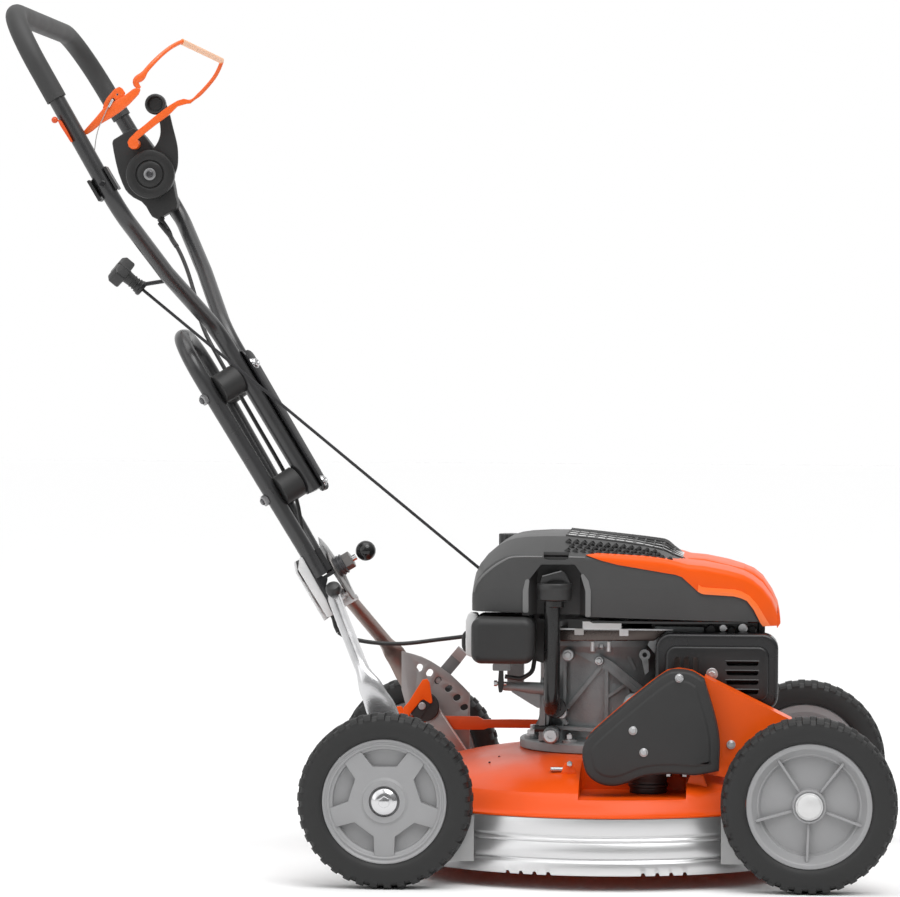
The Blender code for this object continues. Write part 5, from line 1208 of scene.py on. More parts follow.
def make_cowling():
    """The steel cowl below the hood, dark brown as painted shade and a painted reflection of orange, with
    its band, clips and studs, and the cast bracket beside it.
    """
    parts = [
        soften(slab(mm("-52 300.2, 81 300.2, 64 286.6, -52 285"), -0.1, -0.06, COWL_SHADE_AND_REFLECTION), 0.0016, 3,
            30),
        slab(mm("-52 301.2, 87 301.2, 87 299.4, -52 299.4"), -0.103, -0.06, STEEL),
        slab(rectangle(-0.024, 0.0236, 0.3004, 0.3122, 0.0006, 1), -0.1035, -0.101, BRIGHT),
        slab(rectangle(-0.042, -0.0246, 0.299, 0.3122, 0.001, 1), -0.1028, -0.09, BLACK_PLASTIC),
    ]
    for number, (x0, x1, z0, z1) in enumerate(((-0.0338, -0.0226, 0.2933, 0.3009),
            (0.0212, 0.0322, 0.2926, 0.301))):
        mat = BRIGHT if number else CLIP_STEEL
        parts.append(slab(rectangle(x0, x1, z0, z1, 0.0006, 1), -0.105, -0.1005, mat))
    for x in (-0.012, 0.008):
        parts.append(bar((x, -0.093, 0.2722), (x, -0.093, 0.285), 0.0026, BRIGHT, 16, 0, 0.0005))
    parts += [
        ring_bolt((-0.001, -0.093, 0.2795), 0.0042, STEEL, 0.004, True, 0, (0, -0.3, -1)),
        soften(slab(outline(mm("65 304.2, 124.5 304.2, 124.5 296, 83.5 295, 70.5 284.5, 65 270,"
            "55.5 281"), 0.0015, 2), -0.0975, -0.086, CAST), 0.0008, 2, 30),
    ]
    parts += [
        bar((0.0522, -0.08, 0.2692), (0.0522, -0.0995, 0.2692), 0.0068, CAST, 32, 0.003),
        bar((0.0522, -0.08, 0.2692), (0.0522, -0.09, 0.2692), 0.0032, BLACK_PLASTIC, 20),
        slab(mm("48 264, 56.5 264, 57 248, 52.5 244"), -0.093, -0.07, CAST),
    ]
    for number, (x, z, radius, mat) in enumerate(((0.133, 0.301, 0.006, BLACK_PLASTIC),
            (0.148, 0.303, 0.005, STEEL), (0.158, 0.3, 0.0045, BLACK_PLASTIC),
            (0.172, 0.303, 0.006, STEEL), (0.184, 0.301, 0.005, BLACK_PLASTIC))):
        parts.append(bar((x, -0.08, z), (x, -0.104 + 0.002 * number, z), radius, mat, 20, 0, 0.0008))
    parts += [
        slab(mm("125 309, 192 309, 192 297, 125 297"), -0.09, -0.07, BLACK_PLASTIC),
        # A black plate under the hood's front edge: painted shade of the hood's underside.
        slab(rectangle(0.06, 0.13, 0.296, 0.3128, 0.001, 1), -0.083, -0.079, BLACK_PLASTIC),
        slab(rectangle(0.064, 0.19, 0.286, 0.309, 0.003, 2), -0.07, 0.04, BLACK_PLASTIC),
        slab(outline(mm("190 311.8, 199.5 311.8, 198.5 270, 190 270"), 0.001, 1), -0.09, -0.06,
            BLACK_PLASTIC),
    ]
    for y in (-0.045, -0.025):
        parts.append(slab(mm("120 310, 188 310, 188 290, 120 290"), y - 0.002, y + 0.002, CAST))
    return join("cowling", parts)


# Dark brown steel for the cowl: painted shade under the hood and a painted reflection of orange.
COWL_SHADE_AND_REFLECTION = surface("cowl_steel_painted_shade_and_reflection", (0.1, 0.082, 0.075), 0.28, metallic=0.8, uneven=0.05)
BRIGHT = surface("bright_plate", 0.83, 0.42, metallic=0.35, uneven=0.04)
CLIP_STEEL = surface("clip_steel", (0.52, 0.5, 0.49), 0.4, metallic=0.5, uneven=0.04)
dress(make_cowling(), "mower")


def make_guard():
    """The silencer's guard: a rolled rim, a raised field, louvres, and its bolt."""
    x0, x1, z0, z1 = 0.066, 0.2155, 0.205, 0.2985
    front, back = -0.1385, -0.1
    shell = soften(slab(rectangle(x0, x1, z0, z1, 0.0185, 10), front, back, BLACK_PAINT), 0.0042, 5, 60)
    cut(shell, slab(rectangle(x0 + 0.0025, x1 - 0.0025, z0 + 0.0025, z1 - 0.0025, 0.016, 8),
        front + 0.003, 0.0, BLACK_PAINT))
    groove = slab(rectangle(x0 + 0.0042, x1 - 0.0042, z0 + 0.0042, z1 - 0.0042, 0.0155, 8),
        front - 0.01, front + 0.0014, BLACK_PAINT)
    cut(shell, groove)
    field = soften(slab(rectangle(x0 + 0.0125, x1 - 0.0115, z0 + 0.012, z1 - 0.015, 0.0125, 8),
        front - 0.0038, front + 0.0029, GUARD_BLACK), 0.0034, 4, 60)
    cut(field, slab(rectangle(x0 + 0.0155, x1 - 0.0145, z0 + 0.015, z1 - 0.018, 0.01, 6),
        front - 0.0014, front + 0.01, GUARD_BLACK))
    tools = []
    for slot in range(4):
        z = 0.2255 + 0.0115 * slot
        tools.append(slab(rectangle(0.1525, 0.1915, z, z + 0.0072, 0.0034, 4), -0.16, -0.12,
            BLACK_PLASTIC))
    for slot in range(3):
        x = 0.09 + 0.0108 * slot
        tools.append(slab(rectangle(x, x + 0.0068, 0.253, 0.2705, 0.0032, 4), -0.16, -0.12,
            BLACK_PLASTIC))
    cut(field, *[copy_of(tool) for tool in tools])
    cut(shell, *tools)
    blades = [slab(mm("151.5 0, 192.5 0, 192.5 1.5, 151.5 1.5"), -0.0095, 0, GUARD_BLACK,
        (0, front + 0.0035, 0.2262 + 0.0115 * slot), (1, 0, 0), (0, 0.55, 0.84)) for slot in range(4)]
    bolt_head = ring_bolt((0.1352, front - 0.0036, 0.2501), 0.0045, STEEL, 0.005, True, 0.0072)
    return join("silencer_guard", [shell, field, *blades, bolt_head])


GUARD_BLACK = surface("guard_black", (0.012, 0.012, 0.0125), 0.34, mottle=0.04,
    grain=0.15, grain_scale=1200, uneven=0.04)
dress(make_guard(), "mower", "muffler_guard")


def make_intake():
    """The carburettor behind the filter and its arm, linkage plate and hose at the rear."""
    y = -0.075
    parts = [
        plan(rectangle(-0.13, -0.0953, -0.0752, 0.004), 0.262, 0.3, CAST),
        plan(rectangle(-0.12, -0.1, -0.042, -0.018), 0.222, 0.27, CAST),
    ]
    parts += [
        # A black block behind the filter: the carburettor's black parts, and painted shade in the gap
        # between the filter box and the oil filler tube.
        slab(outline(mm("-102 318, -56 318, -56 262, -74 256, -102 264"), 0.003, 3), -0.074, -0.05,
            BLACK_PLASTIC),
        turned(mm("0 0, 5.2 0, 5.6 4, 5.6 18, 7.2 30, 7.8 52, 0 52"), CAST, (-0.1235, y, 0.2272),
            (1, 0, -0.06), 32),
        slab(outline(mm("-118 223.5, -77 223.5, -77 199, -88 205"), 0.002, 2), y - 0.003, y + 0.003,
            CAST),
        slab(outline(mm("-127.5 250, -122.5 254, -121.5 230, -123.5 220.5, -127.5 219.5, -129 230"),
            0.0015, 2), y - 0.012, y - 0.008, BLACK_PLASTIC),
        bar((-0.1325, y - 0.009, 0.231), (-0.118, y - 0.009, 0.231), 0.0024, STEEL, 16, 0, 0.0004),
        ring_bolt((-0.131, y - 0.01, 0.2312), 0.0036, STEEL, 0.003, True, 0, (-1, 0, 0)),
        slab(outline(mm("-135 256, -113 256, -113 247.5, -135 247.5"), 0.0015, 2), y - 0.02, y, CAST),
        swept(rounded([(-0.12, y - 0.012, 0.24), (-0.1, y - 0.014, 0.237), (-0.086, y - 0.014, 0.246),
            (-0.084, y - 0.01, 0.26)], 0.012, 6), BLACK_PLASTIC, 0.0028, 12),
    ]
    return join("intake", parts)


dress(make_intake(), "mower", "carburettor")


# Front drive

COVER_LINE = mm("-19 160, -15 174, -5 186, 33 219.5, 62 243.5, 82 257.5, 96 260, 112 257.5, 126.5 249,"
    "140 205, 145.5 175, 145 140, 116 134.5, 90 136, 57 133, 33 123.5, 16 120.5, -1 124.5, -14.5 137")


def smooth_loop(points, steps=4, corners=()):
    """A closed line through points, curved except at the corners named by their places."""
    result = []
    count = len(points)
    for place in range(count):
        a, b, c, d = (Vector((*points[(place + k) % count], 0)) for k in (-1, 0, 1, 2))
        if place in corners:
            a = b - (c - b)
        if (place + 1) % count in corners:
            d = c + (c - b)
        for step in range(steps):
            t = step / steps
            p = ((b * 2) + (c - a) * t + (a * 2 - b * 5 + c * 4 - d) * t ** 2 + (b * 3 - a - c * 3 + d)
                * t ** 3) / 2
            result.append((p.x, p.y))
    return result


def drawn_in(points, wall):
    """A closed outline drawn in by a wall, each corner along its own bisector."""
    count = len(points)
    area = sum(points[i][0] * points[(i + 1) % count][1] - points[(i + 1) % count][0] * points[i][1]
        for i in range(count))
    turn = 1 if area > 0 else -1
    result = []
    for place in range(count):
        before, here = Vector(points[place - 1]), Vector(points[place])
        after = Vector(points[(place + 1) % count])
        one, two = (here - before).normalized(), (after - here).normalized()
        inward = Vector((-(one.y + two.y), one.x + two.x)).normalized() * turn
        result.append(tuple(here + inward * (wall / max(0.5, math.sqrt((1 + one.dot(two)) / 2)))))
    return result


def make_belt_cover():
    """A cover with rolled edges, a border band and a raised field, open at its back, and three screws."""
    outer, depth = -0.1903, 0.036
    front = outer - depth
    edge = smooth_loop(COVER_LINE, 4, (8, 11))
    rows = [(outer, 0.0), (front + 0.006, 0.0), (front + 0.003, 0.0006), (front + 0.0012, 0.0018),
        (front + 0.0004, 0.0032), (front + 0.0006, 0.01), (front + 0.0003, 0.0112),
        (front - 0.0008, 0.0124), (front - 0.0012, 0.014)]
    stations = []
    for y, inset in rows:
        stations.append([Vector((x, y, z)) for x, z in (drawn_in(edge, inset) if inset else edge)])
    cover = loft(stations, COVER_PLASTIC, 50)
    room = slab(drawn_in(edge, 0.003), front + 0.004, outer + 0.01, COVER_PLASTIC)
    cut(cover, room)
    screws = [ring_bolt((x, front - 0.0006, z), 0.004, STEEL, 0.0018, False, 0.0052)
        for x, z in ((0.097, 0.2515), (0.042, 0.188), (0.055, 0.162))]
    return join("belt_case", [cover, *screws])


dress(make_belt_cover(), "mower", "belt_cover")


def make_drive_guard():
    points = [(x, z + 0.0012) for x, z in COVER_LINE[1:8]] + mm("127.5 250.2, 232 199, 205 165, 192 122,"
        "128 133.8") + COVER_LINE[12:] + [(-0.0195, 0.16)]
    guard = slab(points, -0.19, -0.187, ORANGE)
    flange = slab(mm("127 250.4, 232 199, 230.5 195.5, 126.2 246.6"), -0.19, -0.146, ORANGE)
    fuse(guard, flange)
    soften(guard, 0.0009, 3, 30)
    screw = ring_bolt((0.159, -0.1902, 0.169), 0.004, STEEL, 0.0018, False, 0.0054)
    return join("guard_sheet", [guard, screw])


dress(make_drive_guard(), "mower", "drive_guard")


def make_gearbox():
    box = soften(slab(rectangle(0.028, 0.112, 0.134, 0.226, 0.012), -0.1867, -0.1435, CAST), 0.004, 3, 30)
    boot = turned(mm("0 107.3, 22 107.3, 22.8 109, 22.5 114, 24.5 115.5, 24.5 118, 22.5 119.5, 22.5 124,"
        "23.5 126, 23.5 140, 0 140"), BLACK_PLASTIC, (0.059, -0.1625, 0), steps=64)
    nuts = [ring_bolt((x, -0.166, z), 0.005, STEEL, 0.006, True, 0.007, (0, 0, -1))
        for x, z in ((0.083, 0.134), (0.103, 0.134))]
    return join("bevel_box", [box, boot, *nuts])


dress(make_gearbox(), "mower", "drive_gearbox")


# Struts, handle bracket and lock

FOLD = Vector((-0.3345, 0, 0.333))
LEAN = math.radians(59.2)
STRUT_SIDE = 0.1947
LOCK_PLACE = 0.031


def up_handle(along, offset=0.0, side=0.0):
    """A point of the handle: along its lean from the fold axis, offset to its front, and to the side."""
    lean_x, lean_z = -math.cos(LEAN), math.sin(LEAN)
    return Vector((FOLD.x + along * lean_x + offset * lean_z, side,
        FOLD.z + along * lean_z - offset * lean_x))


ALONG = (up_handle(1) - up_handle(0)).normalized()
AHEAD = (up_handle(0, 1) - up_handle(0)).normalized()


def handle_slab(points, low, high, mat):
    """An outline of places along the handle and in front of it, made solid between two sides."""
    return slab(points, -high, -low, mat, FOLD, ALONG, AHEAD)


def make_strut(side):
    """A bent tube from the pivot, pressed flat towards its bolted foot."""
    inner = STRUT_SIDE * side
    if side < 0:
        corners = [(-0.233, inner, 0.128), (-0.2622, inner, 0.205), (-0.2737, inner, 0.228),
            (-0.285, inner, 0.251), (FOLD.x, side * 0.06, FOLD.z), (FOLD.x, side * 0.0005, FOLD.z)]
        marks = [(0, 0.003, 0.0185), (0.24, 0.003, 0.0182), (0.31, 0.0048, 0.015),
            (0.4, 0.0085, 0.0085), (1, 0.0085, 0.0085)]
    else:
        corners = [(-0.2345, inner, 0.128), (-0.2385, inner, 0.165), (-0.253, inner, 0.2004),
            (-0.265, inner, 0.2194), (-0.2785, inner, 0.243), (FOLD.x, side * 0.06, FOLD.z),
            (FOLD.x, side * 0.0005, FOLD.z)]
        marks = [(0, 0.003, 0.016), (0.27, 0.003, 0.0152), (0.36, 0.0045, 0.0135),
            (0.45, 0.0085, 0.009), (1, 0.0085, 0.0085)]
    radii = [0] + [0.04] * (len(corners) - 3) + [0.022, 0]
    path = resampled(rounded(corners, radii, 10), 72)
    label = "right" if side < 0 else "left"
    # The far strut takes the darker steel as painted shade.
    tube = swept(path, STRUT_STEEL if side < 0 else STRUT_SHADE, 0.0085, 36,
        sections=blended(path, marks), side=(0, 1, 0))
    settle(tube, 60)
    foot = Vector(corners[0]) + Vector((-0.004 if side < 0 else -0.001, -0.003, 0.012))
    return join(f"bent_strut_{label}", [tube, ring_bolt(foot, 0.0065, STEEL, 0.005, True, 0.0095)])


dress(make_strut(-1), "mower", "strut_right")
dress(make_strut(1), "mower", "strut_left")


def make_bracket_plates():
    """The rear plate, the front plate, the cheeks, the wing, a bar across and the lock's housing."""
    half, rear, front = 0.036, -0.0285, 0.0135
    back = handle_slab([(-0.018, rear), (0.052, rear), (0.064, rear + 0.0045), (0.064, rear + 0.0075),
        (0.051, rear + 0.003), (-0.018, rear + 0.003)], -half, half, BRIGHT_PLATE)
    parts = [back]
    pointed = mm("-14 -12, -10 -22, 0 -27, 34 -27, 46 -20, 54 0, 46 20, 34 27, 0 27, -10 22, -14 12")
    parts.append(slab(outline(pointed, 0.006, 4), front, front + 0.0022, HOUSING_STEEL, FOLD, ALONG,
        (0, 1, 0)))
    cheek = mm("-380.3 382.3, -382.4 367.2, -345.5 307.3, -338.3 310.2, -347 330.2, -357.9 348.7,"
        "-376.7 382.3")
    parts.append(slab(outline(cheek, 0.0012, 2), -half - 0.003, -half + 0.001, BRIGHT_PLATE))
    # A black sheet beside the near cheek: painted shade.
    shade = mm("-376.9 383, -357.9 348.7, -347 330.2, -340.5 310.2, -339.5 314, -342.7 328.8,"
        "-347.8 343.1, -345 356, -354 360, -369 383")
    parts.append(slab(shade, -half - 0.0018, -half + 0.0006, BLACK_PAINT))
    other = handle_slab([(-0.017, rear + 0.001), (0.052, rear + 0.001), (0.05, rear + 0.0105),
        (-0.002, rear + 0.012), (-0.01, front + 0.002), (-0.017, front + 0.002)], half - 0.001,
        half + 0.003, BRIGHT_PLATE)
    wing = mm("-362.7 405.8, -357.6 401.9, -349.6 392.9, -342.8 382.8, -336 373.9, -327 357.1,"
        "-321.3 344.8, -314.4 329.1, -317.8 327.9, -325.8 335.7, -332.6 343.5, -342.8 359.2,"
        "-349.6 370.4, -356.4 383.9, -360.9 395.1")
    parts += [other, slab(wing, 0.012, 0.015, BRIGHT_PLATE)]
    for obj in parts:
        soften(obj, 0.0006, 2, 40)
    parts.append(handle_slab(outline([(0.0262, rear + 0.01), (0.0306, rear + 0.01), (0.0306, front),
        (0.0262, front)], 0.001, 2), -half + 0.001, -half + 0.01, BLACK_PAINT))
    place = up_handle(LOCK_PLACE)
    bore = 0.0043
    collar = turned([(bore, 0.015), *mm("12.8 15, 13.4 15.8, 13.4 17.8, 12 18.4, 12 19.8, 13.4 20.4,"
        "13.4 22.2, 12.2 23, 12.2 24.4, 13.2 25, 13.2 26.2, 11.6 27"), (bore, 0.027)], DARK_STEEL, place,
        AHEAD, 48, True)
    hexagon = turned([(bore, 0.0264), *mm("10.4 26.4, 11 27.2, 11 36.6, 10.2 37.6"), (bore, 0.0376)],
        HOUSING_STEEL, place, AHEAD, 6, True, 20)
    parts += [collar, hexagon, turned(mm("0 -1, 8.8 -1, 9.8 1, 9.8 6, 8 9.5, 4.5 11.2, 0 11.8"),
        BLACK_PLASTIC, (FOLD.x - 0.0005, -0.0605, FOLD.z + 0.0085), (-0.1, -0.55, 0.78), 32)]
    return join("pivot_bracket", parts)


NUT_STEEL = surface("nut_steel", (0.3, 0.3, 0.305), 0.34, metallic=0.7, mottle=0.04, uneven=0.05)
DARK_STEEL = surface("dark_steel", (0.1, 0.1, 0.105), 0.36, metallic=0.6, mottle=0.04,
    uneven=0.05)
CABLE_WIRE = surface("cable_wire", (0.45, 0.44, 0.43), 0.4, metallic=0.5)
# Pale orange for the bail's grip: a painted highlight on the front-lit bar.
BAIL_GRIP_HIGHLIGHT = surface("bail_grip_painted_highlight", (0.92, 0.42, 0.16), 0.4, coat=0.25, mottle=0.02,
    uneven=0.04)
LINK_ORANGE = surface("link_orange", (0.66, 0.075, 0.006), 0.42, coat=0.1, mottle=0.04,
    uneven=0.04)
BRIGHT_PLATE = surface("zinc_bright", 0.7, 0.38, metallic=0.55, mottle=0.04,
    mottle_scale=60, grain=0.15, grain_scale=500, uneven=0.05)
HOUSING_STEEL = surface("housing_steel", (0.21, 0.2, 0.195), 0.36, metallic=0.7,
    mottle=0.05, uneven=0.05)
dress(make_bracket_plates(), "bracket", "handle_bracket")


def make_lock():
    place = up_handle(LOCK_PLACE)
    steps = 20
    ball, centre, pin = 0.0127, 0.0575, 0.004
    start = math.asin(pin / ball)
    end = centre - ball * math.cos(start) - 0.002
    rod = turned([(0, 0.001), (pin - 0.0006, 0.001), (pin, 0.0022), (pin, end), (0, end)], CHROME, place,
        AHEAD, 32)
    profile = [(0, centre - ball * 0.95), (pin + 0.0008, centre - ball * 0.94)]
    for step in range(2, steps):
        turn = start + (math.pi - start) * step / steps
        profile.append((ball * math.sin(turn), centre - ball * math.cos(turn)))
    knob = turned(profile + [(0, centre + ball)], BALL_BLACK, place, AHEAD, 48)
    return join("lock_pin", [knob, rod])


BALL_BLACK = surface("ball_black", 0.01, 0.14, uneven=0.03)
dress(make_lock(), "lock", "lock_plunger")


# Handle: frame, upper handle, mounts and clamp plates

HANDLE_OFFSET = 0.0416
HANDLE_HALF = 0.25
FRAME_BACK = -0.0036
TUBE_RADIUS = 0.01
# Places along the handle's lean, and half widths there, of the frame's legs and of the neck
FRAME_PLACES, FRAME_SIDES = (0.064, 0.311), (0.03, 0.0605)
NECK_PLACES, NECK_SIDES = (0.129, 0.362), (0.02, 0.038)
# Corners of the upper handle's legs above the neck
LEG_PLACES = (0.362, 0.447, 0.532, 0.808)
MOUNT_PLACES = {"upper": 0.295, "lower": 0.149}


def capsule(place, towards, length, width, steps=8):
    """A slot's outline: two half circles, its long way along a direction."""
    angle = math.atan2(towards[1], towards[0])
    result = []
    for end, base in ((1, angle - math.pi / 2), (-1, angle + math.pi / 2)):
        middle_x = place[0] + end * math.cos(angle) * (length - width) / 2
        middle_z = place[1] + end * math.sin(angle) * (length - width) / 2
        for step in range(steps + 1):
            turn = base + math.pi * step / steps
            result.append((middle_x + math.cos(turn) * width / 2, middle_z + math.sin(turn) * width / 2))
    return result


def leg_drift(side, along):
    """How far a leg of the upper handle stands in front of the handle's plane."""
    marks = (0.0, -0.0068, -0.0055, -0.0001) if side < 0 else (0.0, 0.004, 0.003, 0.0006)
    if along <= LEG_PLACES[0]:
        return 0.0
    for low, high, a, b in zip(LEG_PLACES, LEG_PLACES[1:], marks, marks[1:]):
        if along <= high:
            return between(along, (low, high), (a, b))
    return marks[-1]


def loop_points(places):
    """The upper handle's corners, up the near leg and down the far one."""
    sides = {**dict(zip(NECK_PLACES, NECK_SIDES)), LEG_PLACES[1]: 0.144}
    near = [up_handle(along, HANDLE_OFFSET + leg_drift(-1, along), -sides.get(along, HANDLE_HALF))
        for along in places]
    far = [up_handle(along, HANDLE_OFFSET + leg_drift(1, along), sides.get(along, HANDLE_HALF))
        for along in reversed(places)]
    return near + far


def front_line(side):
    """The direction of the handle's neck on one side."""
    ends = [up_handle(along, 0, side * half) for along, half in zip(NECK_PLACES, NECK_SIDES)]
    return (ends[1] - ends[0]).normalized()


def between(along, places, values):
    return values[0] + (values[1] - values[0]) * (along - places[0]) / (places[1] - places[0])


def frame_side(along):
    return between(along, FRAME_PLACES, FRAME_SIDES)


def neck_side(along):
    return between(along, NECK_PLACES, NECK_SIDES)


def make_lower_frame():
    corners = [(0.032, FRAME_SIDES[0]), *zip(FRAME_PLACES, FRAME_SIDES), (0.378, FRAME_SIDES[1])]
    radii = [0, 0.2, 0, 0.052]
    near = [up_handle(along, FRAME_BACK, -side) for along, side in corners]
    far = [up_handle(along, FRAME_BACK, side) for along, side in reversed(corners)]
    tube = swept(rounded(near + far, radii + radii[::-1], 14), TUBE_PAINT, TUBE_RADIUS, 32)
    block = handle_slab(outline(mm("33.5 -17.2, 64 -17.2, 64 13, 33.5 13"), 0.0015, 2), -0.03, 0.03,
        BLACK_PAINT)
    parts = [tube, block]
    for side in (-1, 1):
        for along in MOUNT_PLACES.values():
            rear = up_handle(along, FRAME_BACK, side * frame_side(along))
            away = -mount_axis(side, along)
            parts += [
                turned(mm("0 9, 6.8 9, 7.2 10, 7.2 14.2, 6.6 15.2, 5 15.4, 4.8 14.6, 0 14.6"),
                    NUT_STEEL, rear, away, 6, False, 20),
                bar(rear, rear + away * 0.0176, 0.004, DARK_STEEL, 24, 0, 0.0008),
            ]
    return join("swing_frame", parts)


def mount_axis(side, along):
    """The direction from the lower frame to the handle's neck through a rubber mount."""
    foot, head = (up_handle(along, 0, side * half) for along, half in zip(FRAME_PLACES, FRAME_SIDES))
    mean = ((head - foot).normalized() + front_line(side)).normalized()
    across = up_handle(along, HANDLE_OFFSET, side * neck_side(along)) - up_handle(along, 0,
        side * frame_side(along))
    return (across - mean * across.dot(mean)).normalized()


def make_mount(side, along):
    axis = mount_axis(side, along)
    rear = up_handle(along, FRAME_BACK, side * frame_side(along))
    length = (up_handle(along, HANDLE_OFFSET, side * neck_side(along)) - rear).dot(axis)
    start, end = TUBE_RADIUS - 0.001, length - TUBE_RADIUS - 0.0007
    radius = 0.0192
    return turned([(0, start), (radius - 0.0022, start), (radius - 0.0008, start + 0.0006),
        (radius, start + 0.0014), (radius - 0.0002, (start + end) / 2), (radius, end - 0.0014),
        (radius - 0.0008, end - 0.0006), (radius - 0.0022, end), (0, end)], MOUNT_RUBBER, rear, axis, 64)


dress(make_lower_frame(), "handle", "lower_frame")
for SIDE, NAME in ((-1, "right"), (1, "left")):
    for LABEL, ALONG_PLACE in MOUNT_PLACES.items():
        MOUNT = f"rubber_mount_{LABEL}_{NAME}"
        dress(named(f"{MOUNT}_turned", make_mount(SIDE, ALONG_PLACE)), "handle", MOUNT)

ROPE_EYE = Vector((-0.567, -0.13, 0.7165))
ROPE_EXIT = Vector((-0.15463, -0.03, 0.36866))
PULL = (ROPE_EXIT - ROPE_EYE).normalized()


def make_upper_handle():
    path = rounded(loop_points([NECK_PLACES[0], *LEG_PLACES]),
        [0, 0.06, 0.1, 0.055, 0.078, 0.078, 0.055, 0.1, 0.06, 0], 16)
    tube = swept(path, TUBE_PAINT, TUBE_RADIUS, 36)
    eye = turned(mm("2.8 -3, 8.5 -3, 9.8 -1.6, 9.8 1.6, 8.5 3, 2.8 3"), BLACK_PAINT, ROPE_EYE, PULL, 40,
        True)
    eye_back = turned(mm("5 -6.2, 8.8 -6.2, 8.8 -4, 5 -4"), BLACK_PAINT, ROPE_EYE, PULL, 40, True)
    leg = up_handle(0.4375, HANDLE_OFFSET - 0.0066, -0.1322)
    radial = leg - ROPE_EYE
    radial = (radial - PULL * radial.dot(PULL)).normalized()
    rod = swept([ROPE_EYE + radial * 0.0065, leg], BLACK_PAINT, 0.0026, 16)
    return join("handle_loop", [tube, eye, eye_back, rod])


dress(make_upper_handle(), "handle", "upper_handle")


def make_sleeve():
    path = rounded(loop_points([0.685, LEG_PLACES[-1]]), [0, 0.078, 0.078, 0], 20)
    return swept(path, GRIP_RUBBER, 0.0125, 44, bore=0.0106)


dress(named("foam_sleeve", make_sleeve()), "handle", "grip_sleeve")


def make_clamp(side, label):
    line = front_line(side)
    along, length, half = 0.122, 0.204, 0.01
    axis = mount_axis(side, 0.2)
    ahead = (axis - line * axis.dot(line)).normalized()
    start = up_handle(along, HANDLE_OFFSET, side * neck_side(along))
    reach = TUBE_RADIUS + 0.0003
    plate = soften(slab(outline([(0, -half), (length, -half), (length, half), (0, half)], half * 0.95,
        8), reach, reach + 0.003, BLACK_PAINT, start, line, line.cross(ahead)), 0.0008, 2, 40)
    parts = [plate]
    for place in (0.012, length - 0.02):
        centre = start + line * place + ahead * (reach + 0.003)
        parts.append(turned(mm("0 -1, 7.2 -1, 7.2 0.8, 5.6 1.2, 5.6 3.8, 4.6 4.8, 2.4 5, 0 3.2"),
            CHROME, centre, ahead, 24))
    return join(f"clamp_strip_{label}", parts)


dress(make_clamp(-1, "right"), "handle", "clamp_plate_right")
dress(make_clamp(1, "left"), "handle", "clamp_plate_left")


# Controls

DIAL = Vector((-0.602, 0, 0.867))


def make_box():
    points = mm("-654.4 908.5, -653 912.5, -641.5 919.6, -638.6 921.9, -632.1 925.4, -626.3 928.3,"
        "-620.4 926, -611 916.7, -601.6 904.5, -592.1 891.7, -580 873.1, -574.5 859.2, -570.9 839.4,"
        "-568.6 830.1, -569.1 823.7, -577.9 818.4, -587.3 813.2, -594.3 808.5, -601.4 812, -604.3 816.1,"
        "-609.6 825.4, -615.5 831.8, -626.1 837, -633.2 842.8, -637.3 848, -641.4 856.7, -646.1 869.5,"
        "-649.7 883.5, -652.6 897.5")
    box = soften(slab(outline(points, 0.004, 4), 0.206, 0.2335, BOX_BLACK), 0.002, 4, 60)
    neck = bar((-0.5925, 0.2195, 0.811), (-0.5905, 0.2195, 0.8072), 0.005, BLACK_PLASTIC, 24, 0, 0.0008)
    middle = [up_handle(along, HANDLE_OFFSET + leg_drift(1, along), 0.25) for along in (0.64, 0.655)]
    strap = swept(middle, BLACK_PLASTIC, 0.0118, 32, bore=0.0103)
    clasp = slab(rectangle(-0.009, 0.009, -0.006, 0.006, 0.002, 2), -0.242, -0.233, BLACK_PLASTIC,
        (-0.623, 0, 0.886), ALONG, AHEAD)
    return join("control_case", [box, neck, strap, clasp])


BOX_BLACK = surface("box_black", 0.016, 0.5, mottle=0.05, grain=0.3, grain_scale=1500,
    uneven=0.04)
dress(make_box(), "handle", "control_box")


def make_lever():
    """The throttle's dial with its ring and bolt, and the arm up to a dished knob."""
    face = 0.2052
    arm = mm("-16 -10, 0 -20, 24 -18, 31 0, 34.7 12.2, 35 28.8, 33.3 42.1, 28.2 62, 23.2 81.9, 17 96,"
        "7 101, 2 90, 9 74, 11.2 66.2, 12 55.4, 10.4 47.1, 6.5 39, 0 31, -12 15")
    lever = soften(slab(smooth_loop(arm, 3), face - 0.0055, face, BOX_BLACK, (DIAL.x, 0, DIAL.z)),
        0.0014, 3, 50)
    knob = turned(mm("0 0, 11.8 0, 13.4 1.2, 13.6 3, 13.6 12.5, 13 14.5, 11.8 15.5, 10.4 15.2, 9.4 13,"
        "9 10, 8.2 8.6, 0 8.2"), BLACK_PLASTIC, (DIAL.x + 0.0062, face, DIAL.z + 0.0912), (0, -1, 0), 56)
    base = face - 0.0055
    dial = turned(mm("0 -1, 31 -1, 31.7 0, 31.7 9.2, 31 10.4, 29.6 11, 20 11.7, 19 11.2, 18.4 9.2,"
        "17.2 9.2, 16.6 11.2, 15.6 11.8, 10 12.1, 0 12.1"), DIAL_BLACK, (DIAL.x, base, DIAL.z),
        (0, -1, 0), 96)
    washer = turned(mm("0 11.5, 7.4 11.5, 8 12.4, 7.8 13.2, 6.2 13.8, 0 13.8"), NUT_STEEL,
        (DIAL.x, base, DIAL.z), (0, -1, 0), 48)
    head = turned(mm("0 13, 4.6 13, 5 14.2, 4.6 16, 3.6 16.6, 2.6 15, 0 14.8"), DARK_STEEL,
        (DIAL.x, base, DIAL.z), (0, -1, 0), 40)
    return join("throttle_control", [lever, knob, dial, washer, head])


